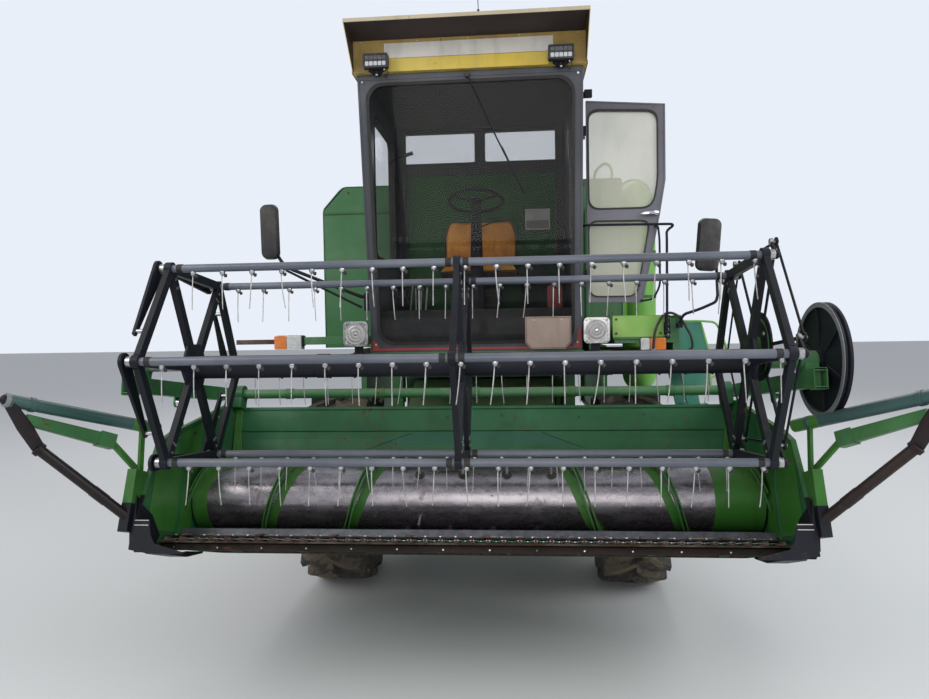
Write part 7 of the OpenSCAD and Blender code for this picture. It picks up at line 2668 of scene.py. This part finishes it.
@dataclass
class DeckTrim:
    """Tread of the deck and steps, ladder guard, unloading auger's flanges and the feeder's bolts.

    Attributes:
        level: height of the deck.
        step: the top step's inner end, then how far each step stands out beyond the one above.
        drop: how far each step lies below the one above.
    """
    level: int = 1900
    step: tuple = (1370, 50)
    drop: int = 260

    def build(self) -> None:
        """Builds every piece of the trim."""
        self.deck()
        self.auger()
        self.feeder()

    def deck(self) -> None:
        """Chequered tread on the deck, toothed steps, kick boards and the ladder's lime hoop and panel."""
        solid = Solid()
        bar = plate([(-13, -3), (0, -4.5), (13, -3), (13, 3), (0, 4.5), (-13, 3)], 0, 2.2, 2)
        points, faces = bar
        turn = np.array([[math.cos(0.8), -math.sin(0.8), 0], [math.sin(0.8), math.cos(0.8), 0], [0, 0, 1]])
        level, (inner, out), drop = self.level, self.step, self.drop
        spots = [(715 + 34 * i, -820 + 34 * j, level) for i in range(17) for j in range(26)]
        solid.add(many((points @ turn.T, faces), spots[::2]), WORN)
        solid.add(many((points @ turn, faces), spots[1::2]), WORN)
        boards = ((697, 702, -836, 56, level, level + 36), (1274, 1280, -836, -560, level, level + 50))
        solid.boxes(GREEN, *boards)
        for i in range(5):
            x0, x1, z = inner + out * i, 1550 + 48 * i, 1585 - drop * i
            teeth = [(x, y, z) for x in (x0 + 12, x1 - 12) for y in range(-515, -180, 26)]
            solid.add(many(plate([(-6, 0), (6, 0), (3, 7), (-3, 7)], -4, 4, 1), teeth), TEAL)
        solid.make("deck_tread", "machine", Slot.GREEN)
        ladder = Solid()
        ladder.add(tube([(1440, -132, 1905), (1450, -132, 1914), (1581, -132, 1912), (1686, -132, 1903),
                         (1728, -132, 1816), (1763, -132, 1700), (1800, -132, 1560), (1640, -138, 1500)], 8,
                        12, bend=36), LIME)
        panel = [(1433, 1900), (1581, 1898), (1629, 1717), (1650, 1440), (1500, 1440), (1467, 1719)]
        ladder.add(plate(panel, -138.5, -134.5, 1), TEAL)
        for (x0, z0), (x1, z1) in zip(panel[:4], panel[1:4]):
            ladder.add(strap((x0, -137, z0), (x1, -137, z1), 12, 8, (0, 1, 0)), LIME if x0 > 1560 else TEAL)
        for y in (-545, -155):
            for k in range(5):
                spot = (inner + out * k, y, 1572 - drop * k)
                ladder.add(hexagon_heads([(spot[0] + dx, y + (-15 if y < -300 else 15), spot[2])
                                          for dx in (30, 110)], 8, 6, 1, -1 if y < -300 else 1), RUSTY)
        ladder.make("ladder_guard", "machine", Slot.GREEN)

    def auger(self) -> None:
        """Unloading auger: bolted flanges along the tube, the spout's rim and bands on the turret."""
        solid = Solid()
        x, pivot_y, elbow = 1225.0, 350, 220
        z, start = 2720 + 0.3 + elbow, pivot_y + elbow
        along, upright = (x, 0, z), (x, pivot_y, 0)
        for y in (start + 8, start + 1000, start + 2050):
            solid.add(collar(y - 7, y + 7, 125.0, 148.0, along, 40, True, 1), GREEN_WORN)
            solid.add(hexagon_heads(around((x, y + 7, z), 137, 8, 1), 9, 7, 1), CLAMP)
        spout = start + 3090
        solid.add(lathe([(spout, 125.0), (spout, 131.0), (spout + 14, 131.0), (spout + 14, 118.0)], along, 40,
                        True, 1), BLACK)
        solid.add(collar(2730, 2746, 125.0, 140.0, upright, 40, True, 2), GREEN_WORN)
        solid.make("unloading_bands", "swing_auger", Slot.GREEN, bevel=0.001, smooth=40)
        fixed = Solid()
        fixed.add(collar(2690, 2712, 130.0, 142.0, upright, 40, True, 2), GREEN_WORN)
        for height in (1700, 2100, 2450):
            fixed.add(collar(height, height + 22, 130.0, 134.0, upright, 40, True, 2), GREEN_WORN)
        fixed.make("turret_bands", "machine", Slot.GREEN, bevel=0.001, smooth=40)

    def feeder(self) -> None:
        """Bolt rows on the feeder house's sides, riding with the header."""
        solid = Solid()
        cos, sin = math.cos(TILT), math.sin(TILT)
        places = [(-KNIFE_REACH + b * cos + u * sin, KNIFE_HEIGHT - b * sin + u * cos)
                  for b in (820, 900) for u in (90, 250, 410, 550)]
        for s in (-1, 1):
            solid.add(hexagon_heads([(s * 520, *place) for place in places], 9, 6, 0, s), RUSTY)
        solid.make("feeder_bolts", "header", Slot.GREEN)


# Stage


@dataclass
class Studio:
    """Pale floor, soft light and the camera at the photograph's angle.

    Attributes:
        eye: where the camera stands.
        yaw: turn of its view to the right of +Y, in degrees, negative to the left.
        pitch: how far it looks down.
        roll: how far the picture leans.
        focal: focal length in pixels.
        picture: width of the picture in pixels.
    """
    eye: tuple = (0.28, -6.332, 1.892)
    yaw: float = 4.61
    pitch: float = 1.82
    roll: float = -0.93
    focal: float = 688.1
    picture: int = 929

    def camera(self) -> None:
        """Places the camera: its axes are right, up and backwards of the view."""
        yaw, pitch, roll = (math.radians(a) for a in (self.yaw, self.pitch, self.roll))
        ahead = np.array([-math.sin(yaw) * math.cos(pitch), math.cos(yaw) * math.cos(pitch),
                          -math.sin(pitch)])
        right = np.array([math.cos(yaw), math.sin(yaw), 0.0])
        up = np.cross(right, ahead)
        level = right * math.cos(roll) + up * math.sin(roll)
        rise = up * math.cos(roll) - right * math.sin(roll)
        data = bpy.data.cameras.new("camera")
        data.sensor_fit, data.sensor_width = "HORIZONTAL", 36.0
        data.lens = self.focal * 36.0 / self.picture
        data.clip_end = 200
        camera = bpy.data.objects.new("camera", data)
        turn = Matrix(np.stack([level, rise, -ahead], 1).tolist()).to_4x4()
        camera.matrix_world = Matrix.Translation(self.eye) @ turn
        bpy.context.scene.collection.objects.link(camera)
        bpy.context.scene.camera = camera

    def floor(self) -> None:
        """A pale floor that the picture's pale backdrop runs into."""
        mesh = bpy.data.meshes.new("floor")
        mesh.from_pydata([(-60, -60, 0), (60, -60, 0), (60, 60, 0), (-60, 60, 0)], [], [(0, 1, 2, 3)])
        piece = bpy.data.objects.new("floor", mesh)
        bpy.context.scene.collection.objects.link(piece)
        w = Wiring("floor")
        w.set(Base_Color=(0.62, 0.62, 0.61), Roughness=0.9)
        mesh.materials.append(w.made)

    def light(self) -> None:
        """Soft overcast light: a pale world and four broad lamps."""
        world = bpy.data.worlds.new("studio")
        bpy.context.scene.world = world
        world.use_nodes = True
        tree = world.node_tree
        back = tree.nodes["Background"]
        back.inputs["Color"].default_value = (0.86, 0.91, 1.0, 1)
        path = tree.nodes.new("ShaderNodeLightPath")
        strength = tree.nodes.new("ShaderNodeMapRange")
        strength.inputs["To Min"].default_value = 0.62
        strength.inputs["To Max"].default_value = 0.95
        seen = tree.nodes.new("ShaderNodeMath")
        seen.operation = "MAXIMUM"
        tree.links.new(path.outputs["Is Camera Ray"], seen.inputs[0])
        tree.links.new(path.outputs["Is Transmission Ray"], seen.inputs[1])
        tree.links.new(seen.outputs[0], strength.inputs["Value"])
        tree.links.new(strength.outputs["Result"], back.inputs["Strength"])
        lamps = (((-7.0, -8.0, 7.5), 6.0, 430.0, (1.0, 0.98, 0.95)),
                 ((8.5, -6.0, 6.5), 5.5, 560.0, (0.94, 0.97, 1.0)),
                 ((0.5, 7.5, 8.0), 6.0, 420.0, (1.0, 1.0, 1.0)),
                 ((0.3, -9.5, 2.8), 4.0, 95.0, (1.0, 0.97, 0.93)))
        for number, (spot, size, power, colour) in enumerate(lamps):
            data = bpy.data.lights.new(f"lamp_{number}", "AREA")
            data.size, data.energy, data.color = size, power, colour
            lamp = bpy.data.objects.new(f"lamp_{number}", data)
            lamp.matrix_world = Matrix.Translation(spot) @ aimed(np.array([0.0, 0.0, 1.3]) - np.array(spot))
            bpy.context.scene.collection.objects.link(lamp)

    def build(self) -> None:
        """Sets the whole stage."""
        self.camera()
        self.floor()
        self.light()
        bpy.context.scene.view_settings.view_transform = "Standard"


def aimed(way: Array) -> Matrix:
    """The turn that points a lamp along a direction."""
    return Vector(way.tolist()).to_track_quat("-Z", "Y").to_matrix().to_4x4()


def wheels() -> list[Wheel]:
    """The four wheels."""
    made = []
    for side, name in ((1, "left"), (-1, "right")):
        made.append(Wheel(f"front_wheel_{name}", f"{name}_front_wheel", f"front_wheel_{name}_roll", 0.71,
                          0.48, 0.34, 0.095, 0.045, side))
        made.append(Wheel(f"rear_wheel_{name}", f"{name}_rear_wheel", f"rear_wheel_{name}_roll", 0.42, 0.29,
                          0.2, 0.06, 0.025, side, lugs=0, depth=0.016))
    return made


def main() -> None:
    """Builds the stage and every sub-assembly in order."""
    logging.basicConfig(level=logging.INFO, format="%(message)s")
    Studio().build()
    dress_nodes()
    for part in (Reel(), *wheels(), Roof(), CabTrim(), Seat(), Door(), HeaderTrim(), AugerTrim(),
                 Divider(-1), Divider(1), ArmTrim(), CylinderTrim(), TankTrim(),
                 SideTrim(), EngineTrim(), DeckTrim()):
        part.build()


if __name__ == "__main__":
    main()
